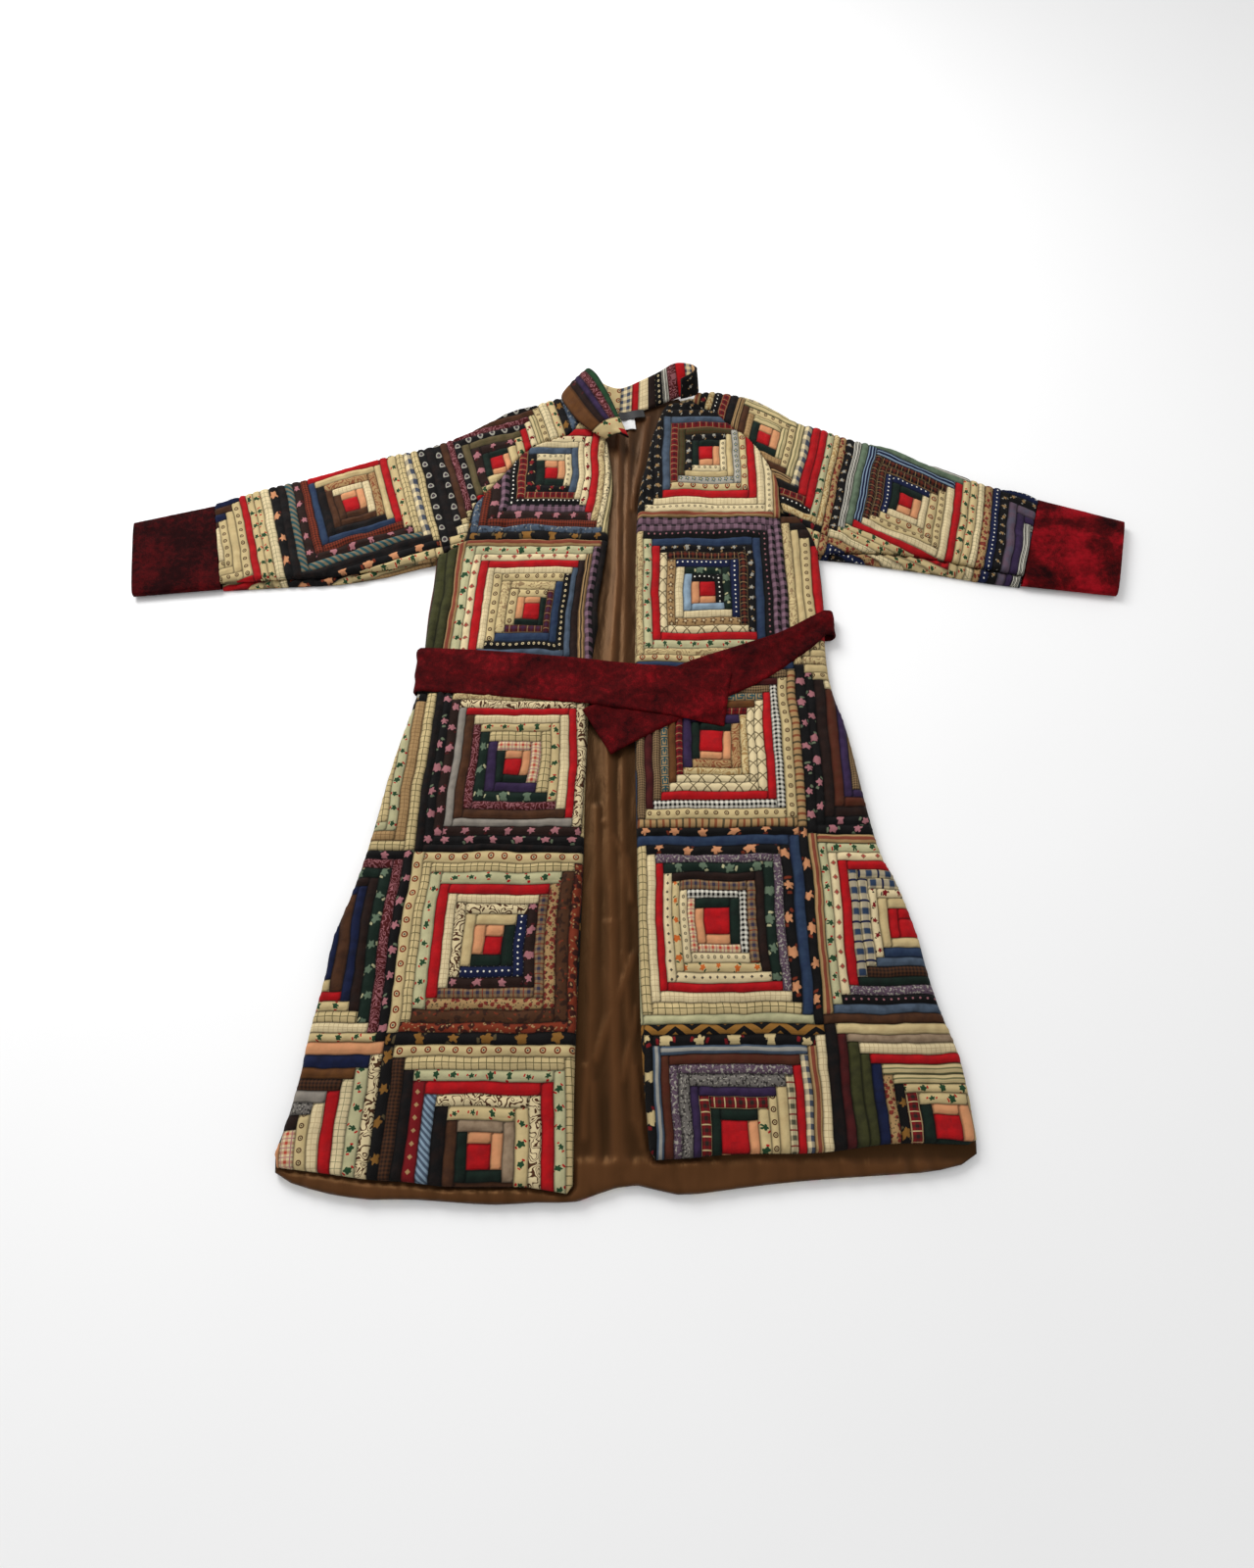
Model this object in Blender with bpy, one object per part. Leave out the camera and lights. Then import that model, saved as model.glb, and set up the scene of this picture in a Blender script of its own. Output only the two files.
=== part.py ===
"""A quilted patchwork coat, laid flat on its back with its fronts open.

Every panel is a quilted wall. The coat lies on the plane Z = 0 with its hem towards -Y, and its panels lie
on each other: back, lining, fronts, belt. The drawing's X runs across the coat from the middle of its
opening, and its Y runs up the coat from the middle of the lowest row of patchwork blocks.
"""

import math
from collections import namedtuple

import bmesh
import bpy
import numpy as np
from mathutils import Vector
from mathutils.geometry import delaunay_2d_cdt

# Sizes that drive the coat, in metres
GAP = 0.0003
BACK_WALL = 0.0065
LINING_WALL = 0.0012
FRONT_WALL = 0.0105
VELVET_WALL = 0.0025
CUFF_HEIGHT = 0.0165
CUFF_WALL = 0.0068
COLLAR_WALL = 0.0055
TAPE_WALL = 0.0008
TAPE_WAVE = 0.0006
BELT_WIDTH = 0.075
LOG_DIP = 0.0013
CENTRE_HALF = 0.0125
RINGS = 9
# The middle of the coat's own box, which becomes the origin
MIDDLE_X = 0.00375
MIDDLE_Y = 0.56376

LINING_FLOOR = BACK_WALL + GAP
FRONT_FLOOR = LINING_FLOOR + LINING_WALL + GAP
FRONT_TOP = FRONT_FLOOR + FRONT_WALL

# How far apart points stand along an outline and along a row of logs, and the least distance between them
OUTLINE_STEP = 0.024
LOG_STEP = 0.060
CLEAR_OF_EDGE = 0.0105

Spot = namedtuple("Spot", "x y")
# How a panel's edge turns down: the share of the wall left at the edge itself, and how wide the turn is
Turn = namedtuple("Turn", "share reach")
SIDE = Turn(0.12, 0.0095)
FOLDED = Turn(0.22, 0.0075)
SEAM = Turn(0.62, 0.0035)
# The inset rows that carry a panel's turned edge
EDGE_ROWS = (0.0014, 0.0042, 0.0085)
UNDER_ROW = 0.0045
# The height of the widest part of a thin panel's edge, as a share of its wall
SIDE_MIDDLE = 0.74

# Lines of the drawing, each from its first named end to its second
LEFT_SIDE = [  # armpit to hem
    Spot(-0.2895, 0.828), Spot(-0.2905, 0.781), Spot(-0.2935, 0.735), Spot(-0.2940, 0.690),
    Spot(-0.2940, 0.640), Spot(-0.2975, 0.600), Spot(-0.3060, 0.556), Spot(-0.3160, 0.515),
    Spot(-0.3265, 0.458), Spot(-0.3355, 0.400), Spot(-0.3450, 0.345), Spot(-0.3580, 0.291),
    Spot(-0.3730, 0.239), Spot(-0.3775, 0.185), Spot(-0.3875, 0.118), Spot(-0.3910, 0.072),
    Spot(-0.3990, 0.022), Spot(-0.4085, -0.018),
]
RIGHT_SIDE = [  # armpit to hem
    Spot(0.2915, 0.838), Spot(0.2925, 0.781), Spot(0.2920, 0.740), Spot(0.2900, 0.705),
    Spot(0.2880, 0.677), Spot(0.2890, 0.620), Spot(0.2960, 0.580), Spot(0.3050, 0.546),
    Spot(0.3135, 0.490), Spot(0.3210, 0.430), Spot(0.3295, 0.375), Spot(0.3345, 0.350),
    Spot(0.3480, 0.320), Spot(0.3570, 0.290), Spot(0.3695, 0.239), Spot(0.3765, 0.189),
    Spot(0.3870, 0.141), Spot(0.4010, 0.094), Spot(0.4060, 0.040), Spot(0.4080, -0.002),
]
LEFT_HEM = [  # side to front edge, on the left front
    Spot(-0.4040, -0.0330), Spot(-0.3430, -0.0400), Spot(-0.2950, -0.0463), Spot(-0.2500, -0.0485),
    Spot(-0.2070, -0.0535), Spot(-0.1100, -0.0540), Spot(-0.0860, -0.0600), Spot(-0.0690, -0.0610),
]
RIGHT_HEM = [  # front edge to side, on the right front
    Spot(0.0330, -0.0250), Spot(0.0787, -0.0223), Spot(0.1137, -0.0190), Spot(0.1587, -0.0178),
    Spot(0.2223, -0.0171), Spot(0.2837, -0.0096), Spot(0.3216, -0.0064), Spot(0.3980, -0.0080),
]
BACK_HEM = [  # left to right, past the front hems
    Spot(-0.4060, -0.0385), Spot(-0.3990, -0.0455), Spot(-0.3740, -0.0530), Spot(-0.3480, -0.0600),
    Spot(-0.3225, -0.0640), Spot(-0.2975, -0.0672), Spot(-0.2485, -0.0668), Spot(-0.1990, -0.0700),
    Spot(-0.1500, -0.0725), Spot(-0.1010, -0.0700), Spot(-0.0610, -0.0700), Spot(-0.0311, -0.0605),
    Spot(0.0000, -0.0520), Spot(0.0250, -0.0540), Spot(0.0455, -0.0605), Spot(0.0700, -0.0620),
    Spot(0.0990, -0.0590), Spot(0.1467, -0.0530), Spot(0.2155, -0.0465), Spot(0.2998, -0.0410),
    Spot(0.3506, -0.0375), Spot(0.3800, -0.0315), Spot(0.3980, -0.0270), Spot(0.4065, -0.0180),
]
LEFT_EDGE = [  # hem to neck, down the opening
    Spot(-0.0620, -0.0520), Spot(-0.0630, 0.066), Spot(-0.0606, 0.183), Spot(-0.0575, 0.350),
    Spot(-0.0569, 0.450), Spot(-0.0507, 0.651), Spot(-0.0389, 0.733), Spot(-0.0310, 0.830),
    Spot(-0.0281, 0.914), Spot(-0.0235, 0.950), Spot(-0.0240, 0.998), Spot(-0.0290, 1.040),
    Spot(-0.0315, 1.060),
]
RIGHT_EDGE = [  # neck to hem
    Spot(0.0590, 1.134), Spot(0.0510, 1.108), Spot(0.0400, 1.072), Spot(0.0309, 1.016), Spot(0.0224, 0.981),
    Spot(0.0173, 0.937), Spot(0.0146, 0.882), Spot(0.0129, 0.791), Spot(0.0126, 0.704),
    Spot(0.0110, 0.600), Spot(0.0120, 0.450), Spot(0.0130, 0.380), Spot(0.0145, 0.260),
    Spot(0.0180, 0.100), Spot(0.0260, -0.0140),
]
LEFT_NECK = [Spot(-0.0340, 1.0690), Spot(-0.0550, 1.0840), Spot(-0.0760, 1.1010)]
RIGHT_NECK = [Spot(0.1060, 1.1510), Spot(0.0850, 1.1460), Spot(0.0640, 1.1400)]
LEFT_RAGLAN = [  # neck to armpit
    Spot(-0.0790, 1.1000), Spot(-0.0890, 1.0800), Spot(-0.1250, 1.0630), Spot(-0.1610, 1.0440),
    Spot(-0.2000, 0.9850), Spot(-0.2392, 0.9291), Spot(-0.2430, 0.8900), Spot(-0.2500, 0.8560),
    Spot(-0.2760, 0.8420), Spot(-0.2885, 0.8310),
]
RIGHT_RAGLAN = [  # neck to armpit
    Spot(0.1080, 1.1510), Spot(0.1190, 1.1365), Spot(0.1446, 1.1268), Spot(0.1628, 1.1013),
    Spot(0.1902, 1.0760), Spot(0.2078, 1.0510), Spot(0.2274, 1.0102), Spot(0.2405, 0.9700),
    Spot(0.2410, 0.9250), Spot(0.2640, 0.9080), Spot(0.2810, 0.8780), Spot(0.2910, 0.8410),
]
LEFT_BACK_RAGLAN = [
    Spot(-0.0760, 1.1340), Spot(-0.1700, 0.9700), Spot(-0.2480, 0.8600), Spot(-0.2890, 0.8310),
]
RIGHT_BACK_RAGLAN = [
    Spot(0.0860, 1.1630), Spot(0.1800, 0.9950), Spot(0.2580, 0.8800), Spot(0.2910, 0.8410),
]
BACK_NECK = [
    Spot(-0.0740, 1.1335), Spot(-0.0450, 1.1240), Spot(-0.0160, 1.1230), Spot(0.0200, 1.1360),
    Spot(0.0560, 1.1540), Spot(0.0840, 1.1630),
]
LEFT_SLEEVE_TOP = [  # neck to cuff
    Spot(-0.1140, 1.1575), Spot(-0.1335, 1.1515), Spot(-0.1600, 1.1380), Spot(-0.1870, 1.1320),
    Spot(-0.2261, 1.1050), Spot(-0.2640, 1.0790), Spot(-0.3080, 1.0557), Spot(-0.3480, 1.0422),
    Spot(-0.3875, 1.0323), Spot(-0.4265, 1.0156), Spot(-0.5040, 0.9870), Spot(-0.5800, 0.9625),
    Spot(-0.6445, 0.9345),
]
LEFT_SLEEVE_UNDER = [  # cuff to armpit
    Spot(-0.6085, 0.7795), Spot(-0.5155, 0.7860), Spot(-0.4426, 0.7900), Spot(-0.4000, 0.7970),
    Spot(-0.3600, 0.8060), Spot(-0.3300, 0.8165), Spot(-0.2925, 0.8270),
]
RIGHT_SLEEVE_TOP = [
    Spot(0.1190, 1.1710), Spot(0.1329, 1.1735), Spot(0.1647, 1.1690), Spot(0.2008, 1.1590),
    Spot(0.2334, 1.1390), Spot(0.2590, 1.1205), Spot(0.2847, 1.1015), Spot(0.3087, 1.0950),
    Spot(0.3471, 1.0745), Spot(0.4082, 1.0530), Spot(0.4330, 1.0450), Spot(0.4696, 1.0225),
    Spot(0.5143, 1.0010), Spot(0.5611, 0.9770), Spot(0.5921, 0.9650), Spot(0.6180, 0.9590),
    Spot(0.6450, 0.9470),
]
RIGHT_SLEEVE_UNDER = [
    Spot(0.5930, 0.7855), Spot(0.5333, 0.7955), Spot(0.4593, 0.8110), Spot(0.3933, 0.8225),
    Spot(0.3400, 0.8320), Spot(0.2940, 0.8375),
]
LEFT_SLEEVE_NECK = [Spot(-0.0800, 1.1040), Spot(-0.0920, 1.1280), Spot(-0.1070, 1.1540)]
RIGHT_SLEEVE_NECK = [Spot(0.1090, 1.1550), Spot(0.1130, 1.1660)]
LEFT_BACK_SLEEVE_NECK = [Spot(-0.1090, 1.1520), Spot(-0.0790, 1.1370)]
RIGHT_BACK_SLEEVE_NECK = [Spot(0.1130, 1.1690), Spot(0.0890, 1.1650)]

# The sleeve backs come round the under edge and show past the fronts by this much at cuff and armpit
Rim = namedtuple("Rim", "at_cuff at_middle at_armpit")
LEFT_RIM = Rim(0.0075, 0.0095, 0.0010)
RIGHT_RIM = Rim(0.0160, 0.0230, 0.0030)
RIM_RISE = 0.0125
# Where the rim starts past the front's edge, how wide its step up is, and how far its turned edge reaches in
RIM_START = 0.0007
RIM_STEP = 0.0018
RIM_TURN = 0.0032
RIM_POINTS = 16

# One patchwork block: its centre, and the lower border of its row
Block = namedtuple("Block", "x y south")
# A column of blocks: its west and east borders, its top border, and its blocks downwards
Column = namedtuple("Column", "west east north blocks")
LEFT_COLUMN = Column(
    [Spot(-0.2425, 1.128), Spot(-0.3056, -0.154)],
    [Spot(-0.0135, 1.128), Spot(-0.0135, 0.998), Spot(-0.0450, 0.732), Spot(-0.0320, 0.4785),
     Spot(-0.0480, 0.229), Spot(-0.0395, -0.021), Spot(-0.0395, -0.154)],
    1.128,
    [Block(-0.1195, 0.996, 0.8628), Block(-0.1400, 0.7330, 0.6050), Block(-0.1580, 0.4785, 0.3540),
     Block(-0.1700, 0.2290, 0.1040), Block(-0.1730, -0.0210, -0.1540)],
)
LEFT_SIDE_COLUMN = Column(
    LEFT_COLUMN.west,
    [],
    0.866,
    [Block(-0.4000, 0.7350, 0.6080), Block(-0.4080, 0.4800, 0.3560), Block(-0.4180, 0.2320, 0.1090),
     Block(-0.4250, -0.0180, -0.1500)],
)
RIGHT_COLUMN = Column(
    [Spot(0.0105, 1.172), Spot(0.0050, 1.040), Spot(0.0020, 0.773), Spot(0.0010, 0.518),
     Spot(0.0040, 0.260), Spot(0.0130, 0.000), Spot(0.0130, -0.130)],
    [Spot(0.2380, 1.172), Spot(0.2410, -0.130)],
    1.172,
    [Block(0.1280, 1.0390, 0.9065), Block(0.1190, 0.7730, 0.6455), Block(0.1160, 0.5180, 0.3890),
     Block(0.1130, 0.2600, 0.1300), Block(0.1260, 0.0000, -0.1300)],
)
RIGHT_SIDE_COLUMN = Column(
    [],
    [],
    0.9100,
    [Block(0.3700, 0.7750, 0.6400), Block(0.3680, 0.5100, 0.3800), Block(0.3560, 0.2500, 0.1300),
     Block(0.3760, 0.0110, -0.1200)],
)
SIDE_BLOCK_REACH = 0.130

# A sleeve's blocks lie in slanted rows: one block's centre, and its steps along and across the sleeve
Slant = namedtuple("Slant", "x y along_x along_y across_x across_y")
LEFT_SLANT = Slant(-0.4300, 0.9340, 0.2240, 0.0840, -0.0760, 0.2480)
RIGHT_SLANT = Slant(0.4350, 0.9390, 0.2130, -0.1280, 0.0640, 0.2500)
# The blocks that a sleeve's front reaches, in steps along and across
LEFT_SLEEVE_BLOCKS = [(-1, 0), (0, 0), (1, 0), (2, 0), (0, -1), (1, -1)]
RIGHT_SLEEVE_BLOCKS = [(1, 0), (0, 0), (-1, 0), (-2, 0), (0, -1), (-1, -1)]

# Long soft folds: the two ends of the crest, half its width, and its height
Fold = namedtuple("Fold", "x1 y1 x2 y2 half_width height")
LEFT_FRONT_FOLDS = [
    Fold(-0.240, 0.868, -0.150, 0.884, 0.020, 0.0032),
    Fold(-0.150, 0.884, -0.085, 0.862, 0.018, 0.0030),
    Fold(-0.085, 0.862, -0.040, 0.876, 0.016, 0.0026),
    Fold(-0.235, 0.905, -0.130, 0.925, 0.018, 0.0018),
    Fold(-0.255, 0.790, -0.120, 0.815, 0.022, 0.0022),
    Fold(-0.270, 0.560, -0.070, 0.545, 0.026, 0.0026),
    Fold(-0.300, 0.420, -0.120, 0.395, 0.030, 0.0020),
    Fold(-0.330, 0.250, -0.200, 0.300, 0.030, 0.0020),
    Fold(-0.290, 0.120, -0.080, 0.105, 0.028, 0.0022),
    Fold(-0.360, 0.020, -0.240, 0.000, 0.026, 0.0018),
    Fold(-0.075, 0.300, -0.080, 0.040, 0.018, 0.0018),
]
RIGHT_FRONT_FOLDS = [
    Fold(0.048, 1.105, 0.028, 0.960, 0.012, 0.0050),
    Fold(0.028, 0.960, 0.024, 0.900, 0.011, 0.0030),
    Fold(0.050, 0.905, 0.110, 0.925, 0.018, 0.0030),
    Fold(0.110, 0.895, 0.180, 0.878, 0.018, 0.0030),
    Fold(0.180, 0.905, 0.232, 0.918, 0.016, 0.0026),
    Fold(0.120, 1.095, 0.165, 1.060, 0.016, 0.0030),
    Fold(0.040, 0.800, 0.200, 0.815, 0.024, 0.0018),
    Fold(0.050, 0.460, 0.230, 0.480, 0.028, 0.0024),
    Fold(0.060, 0.330, 0.300, 0.350, 0.030, 0.0022),
    Fold(0.080, 0.130, 0.330, 0.140, 0.026, 0.0024),
    Fold(0.250, 0.560, 0.262, 0.420, 0.022, 0.0022),
    Fold(0.330, 0.060, 0.360, -0.005, 0.022, 0.0020),
]
LEFT_SLEEVE_FOLDS = [
    Fold(-0.300, 0.860, -0.420, 0.860, 0.016, 0.0028),
    Fold(-0.290, 0.880, -0.350, 0.960, 0.016, 0.0024),
    Fold(-0.380, 0.830, -0.500, 0.830, 0.014, 0.0022),
    Fold(-0.250, 0.960, -0.330, 1.010, 0.018, 0.0020),
    Fold(-0.520, 0.900, -0.600, 0.860, 0.016, 0.0016),
    Fold(-0.130, 1.110, -0.230, 1.060, 0.016, 0.0018),
]
RIGHT_SLEEVE_FOLDS = [
    Fold(0.288, 0.905, 0.330, 0.870, 0.010, 0.0034),
    Fold(0.300, 0.930, 0.370, 0.890, 0.012, 0.0030),
    Fold(0.330, 0.870, 0.480, 0.862, 0.014, 0.0024),
    Fold(0.420, 0.990, 0.520, 0.970, 0.016, 0.0022),
    Fold(0.230, 1.100, 0.300, 1.060, 0.016, 0.0020),
    Fold(0.540, 0.900, 0.600, 0.850, 0.016, 0.0018),
]
# The lining's long folds down the opening, and the puckers of its hem
LINING_FOLDS = [
    Fold(-0.012, 1.110, -0.014, 0.800, 0.0050, 0.0034),
    Fold(0.006, 1.125, -0.002, 0.860, 0.0045, 0.0028),
    Fold(0.034, 1.120, 0.008, 0.930, 0.0050, 0.0030),
    Fold(-0.014, 0.800, -0.028, 0.560, 0.0060, 0.0030),
    Fold(-0.002, 0.860, -0.006, 0.480, 0.0050, 0.0022),
    Fold(-0.028, 0.560, -0.020, 0.260, 0.0075, 0.0034),
    Fold(-0.040, 0.420, -0.044, 0.060, 0.0060, 0.0026),
    Fold(-0.006, 0.480, -0.004, 0.220, 0.0050, 0.0026),
    Fold(-0.020, 0.260, -0.010, -0.030, 0.0085, 0.0046),
    Fold(-0.004, 0.220, 0.010, 0.020, 0.0055, 0.0030),
    Fold(-0.040, 0.060, -0.034, -0.050, 0.0060, 0.0030),
    Fold(0.010, 0.020, 0.034, -0.040, 0.0060, 0.0034),
]
HEM_ROLL_TOP = -0.0200
HEM_ROLL_RISE = 0.0036
HEM_PUCKER = 0.0008
HEM_PUCKER_PITCH = 0.031

# The belt: the middle line of each stretch that shows, with its width
BeltStation = namedtuple("BeltStation", "x y width")
BELT_LEFT = [
    BeltStation(-0.2890, 0.6310, 0.0720), BeltStation(-0.2000, 0.6250, 0.0740),
    BeltStation(-0.0630, 0.6120, 0.0745), BeltStation(0.0400, 0.5980, 0.0780),
    BeltStation(0.1420, 0.5815, 0.0870),
]
BELT_RIGHT = [
    BeltStation(0.2900, 0.7110, 0.0420), BeltStation(0.2400, 0.6760, 0.0480),
    BeltStation(0.1800, 0.6430, 0.0660), BeltStation(0.1000, 0.6070, 0.0770),
    BeltStation(0.0000, 0.5550, 0.0800), BeltStation(-0.0425, 0.5300, 0.0800),
]
BELT_STEP = 0.024
BELT_ACROSS = 4
BELT_CLEAR = 0.0009
BELT_SIDE_BULGE = 0.0060
BELT_TURN_IN = 0.016
BELT_SQUARE_FOR = 0.060
# The belt lies flat on the floor behind the coat, in a shallow hollow of the back
HOLLOW_RISE = VELVET_WALL + GAP
HOLLOW_PAST = 0.03
HOLLOW_RAMP = 0.012
HOLLOW_HALF = BELT_WIDTH / 2 + 0.012

# The collar's stations: the neck seam below, and the free edge above, from the left end to the right
CollarStation = namedtuple("CollarStation", "x y z free_x free_y free_z bulge")
COLLAR = [
    CollarStation(-0.0330, 1.0600, 0.0240, 0.0030, 1.0540, 0.0330, 0.0100),
    CollarStation(-0.0560, 1.0740, 0.0255, -0.0120, 1.0820, 0.0480, 0.0080),
    CollarStation(-0.0790, 1.0960, 0.0260, -0.0290, 1.1190, 0.0590, 0.0060),
    CollarStation(-0.0970, 1.1240, 0.0260, -0.0470, 1.1540, 0.0650, 0.0050),
    CollarStation(-0.1075, 1.1500, 0.0235, -0.0600, 1.1750, 0.0600, 0.0050),
    CollarStation(-0.0900, 1.1540, 0.0150, -0.0560, 1.1830, 0.0440, 0.0020),
    CollarStation(-0.0600, 1.1330, 0.0110, -0.0420, 1.1760, 0.0300, 0.0000),
    CollarStation(-0.0160, 1.1215, 0.0108, -0.0120, 1.1690, 0.0240, 0.0000),
    CollarStation(0.0220, 1.1320, 0.0108, 0.0240, 1.1830, 0.0280, 0.0000),
    CollarStation(0.0540, 1.1460, 0.0112, 0.0520, 1.1930, 0.0360, 0.0010),
    CollarStation(0.0860, 1.1590, 0.0150, 0.0790, 1.1990, 0.0490, 0.0030),
    CollarStation(0.1110, 1.1640, 0.0225, 0.1060, 1.1910, 0.0540, 0.0050),
    CollarStation(0.1130, 1.1530, 0.0265, 0.1090, 1.1730, 0.0580, 0.0060),
    CollarStation(0.0880, 1.1430, 0.0275, 0.0880, 1.1560, 0.0580, 0.0060),
]
COLLAR_AROUND = 40
COLLAR_UP = 6

# The cuffs: the upper and the lower corner of the wrist end
LEFT_WRIST = (Spot(-0.7640, 0.9010), Spot(-0.7390, 0.7660))
RIGHT_WRIST = (Spot(0.7715, 0.9030), Spot(0.7330, 0.7670))
CUFF_STATIONS = 7
CUFF_ROUND = 22
CUFF_SQUARENESS = 4.0


def smooth(line, step=OUTLINE_STEP):
    """Points a step apart on a smooth curve through a line's spots."""
    spots = np.array([(s.x, s.y) for s in line], float)
    if len(spots) == 2:
        count = max(1, round(float(np.linalg.norm(spots[1] - spots[0])) / step))
        share = np.linspace(0, 1, count + 1)[:, None]
        return spots[0] * (1 - share) + spots[1] * share
    before = 2 * spots[0] - spots[1]
    after = 2 * spots[-1] - spots[-2]
    knots = np.vstack([before, spots, after])
    fine = []
    for a, b, c, d in zip(knots, knots[1:], knots[2:], knots[3:]):
        for t in np.linspace(0, 1, 12, endpoint=False):
            square = 2 * a - 5 * b + 4 * c - d
            cube = 3 * b - a - 3 * c + d
            fine.append((2 * b + (c - a) * t + square * t**2 + cube * t**3) / 2)
    fine.append(spots[-1])
    fine = np.array(fine)
    along = np.concatenate([[0], np.cumsum(np.linalg.norm(np.diff(fine, axis=0), axis=1))])
    count = max(2, round(along[-1] / step))
    places = np.linspace(0, along[-1], count + 1)
    return np.stack([np.interp(places, along, fine[:, i]) for i in (0, 1)], axis=1)


class Outline:
    """A panel's closed outline, made of smooth lines that each have their own turned edge."""

    def __init__(self, *parts):
        points = []
        turns = []
        for line, turn in parts:
            curve = smooth(line)
            points.extend(curve)
            turns.extend([turn] * len(curve))
        self.points = np.array(points)
        self.turns = turns
        following = np.roll(self.points, -1, axis=0)
        area = np.sum(self.points[:, 0] * following[:, 1] - self.points[:, 1] * following[:, 0])
        if area < 0:
            self.points = self.points[::-1].copy()
            self.turns = [turns[i - 1] for i in range(len(turns) - 1, -1, -1)]
        self.ends = np.roll(self.points, -1, axis=0)

    def distances(self, places):
        """The distance of each place to each stretch of the outline."""
        ways = self.ends - self.points
        from_start = places[:, None, :] - self.points[None]
        share = np.einsum("ijk,jk->ij", from_start, ways) / np.sum(ways**2, axis=1)
        feet = self.points[None] + np.clip(share, 0, 1)[..., None] * ways[None]
        return np.linalg.norm(places[:, None, :] - feet, axis=2)

    def holds(self, places):
        """True for the places inside."""
        x, y = places[:, 0:1], places[:, 1:2]
        x1, y1 = self.points[:, 0], self.points[:, 1]
        x2, y2 = self.ends[:, 0], self.ends[:, 1]
        across = (y1 > y) != (y2 > y)
        rise = np.where(y2 == y1, 1e-12, y2 - y1)
        return np.sum(across & (x < (x2 - x1) * (y - y1) / rise + x1), axis=1) % 2 == 1

    def depth(self, places):
        """How far inside the outline each place is, and outside as a negative number."""
        nearest = self.distances(places).min(axis=1)
        return np.where(self.holds(places), nearest, -nearest)

    def fullness(self, places):
        """The share of the wall's thickness at each place, which falls at the turned edges."""
        far = self.distances(places)
        full = np.ones(len(places))
        for turn in set(self.turns):
            mine = [i for i, t in enumerate(self.turns) if t == turn]
            near = np.clip(far[:, mine].min(axis=1) / turn.reach, 0, 1)
            round_over = np.sqrt(np.clip(1 - (1 - near) ** 2, 0, 1))
            full = np.minimum(full, turn.share + (1 - turn.share) * round_over)
        return full

    def inset(self, depth):
        """The outline moved inwards, with the points dropped where it would cross itself."""
        before = np.roll(self.points, 1, axis=0)
        after = self.ends
        way_in = after - before
        way_in = np.stack([-way_in[:, 1], way_in[:, 0]], axis=1)
        way_in /= np.linalg.norm(way_in, axis=1)[:, None]
        moved = self.points + way_in * depth
        kept = self.depth(moved) > 0.93 * depth
        return moved, kept


def triangulate(points, edges):
    """(places, triangles, kind of each place), inside the loop that the first edges make."""
    spots, _, faces, origins, _, _ = delaunay_2d_cdt([Vector(p) for p in points], edges, [], 1, 1e-6)
    return (
        np.array([tuple(s) for s in spots]),
        [tuple(f) for f in faces],
        [o[0] if o else None for o in origins],
    )


def loop_edges(first, count):
    return [(first + i, first + (i + 1) % count) for i in range(count)]


def row_edges(first, kept):
    """Edges between neighbouring points of an inset row that were both kept."""
    numbers = {}
    for i, keep in enumerate(kept):
        if keep:
            numbers[i] = first + len(numbers)
    count = len(kept)
    return [(numbers[i], numbers[(i + 1) % count]) for i in numbers if (i + 1) % count in numbers]


def fold_height(folds, places):
    """How far the folds lift the cloth at each place."""
    height = np.zeros(len(places))
    for fold in folds:
        start = np.array([fold.x1, fold.y1])
        way = np.array([fold.x2, fold.y2]) - start
        share = np.clip((places - start) @ way / (way @ way), 0, 1)
        off = np.linalg.norm(places - start - share[:, None] * way, axis=1)
        height += fold.height * np.exp(-((off / fold.half_width) ** 2))
    return height


def across_line(line, y):
    """A border line's x at a height y."""
    spots = sorted(line, key=lambda s: s.y)
    return float(np.interp(y, [s.y for s in spots], [s.x for s in spots]))


def column_cells(column):
    """Each block of a column as nine places: south row, middle row and north row, west to east."""
    cells = []
    north = column.north
    for i, block in enumerate(column.blocks):
        above = column.blocks[i - 1] if i else block
        below = column.blocks[i + 1] if i + 1 < len(column.blocks) else block
        levels = (
            (block.south, (block.x + below.x) / 2),
            (block.y, block.x),
            (north, (block.x + above.x) / 2),
        )
        rows = []
        for y, middle in levels:
            west = across_line(column.west, y) if column.west else middle - SIDE_BLOCK_REACH
            east = across_line(column.east, y) if column.east else middle + SIDE_BLOCK_REACH
            rows.append([(west, y), (middle, y), (east, y)])
        cells.append(np.array(rows))
        north = block.south
    return cells


def slanted_cells(slant, numbers):
    """The nine places of each block of a sleeve."""
    along = np.array([slant.along_x, slant.along_y])
    across = np.array([slant.across_x, slant.across_y])
    cells = []
    for i, j in numbers:
        centre = np.array([slant.x, slant.y]) + i * along + j * across
        rows = [[centre + u * along + v * across for u in (-0.5, 0, 0.5)] for v in (-0.5, 0, 0.5)]
        cells.append(np.array(rows))
    return cells


def in_cell(cell, u, v):
    """The place at u and v in a block, each from -1 at its west or south border to 1 at the other."""
    i, j = int(u > 0), int(v > 0)
    a, b = abs(u), abs(v)
    centre, side, end, corner = cell[1][1], cell[1][2 * i], cell[2 * j][1], cell[2 * j][2 * i]
    return (1 - a) * (1 - b) * centre + a * (1 - b) * side + (1 - a) * b * end + a * b * corner


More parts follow.
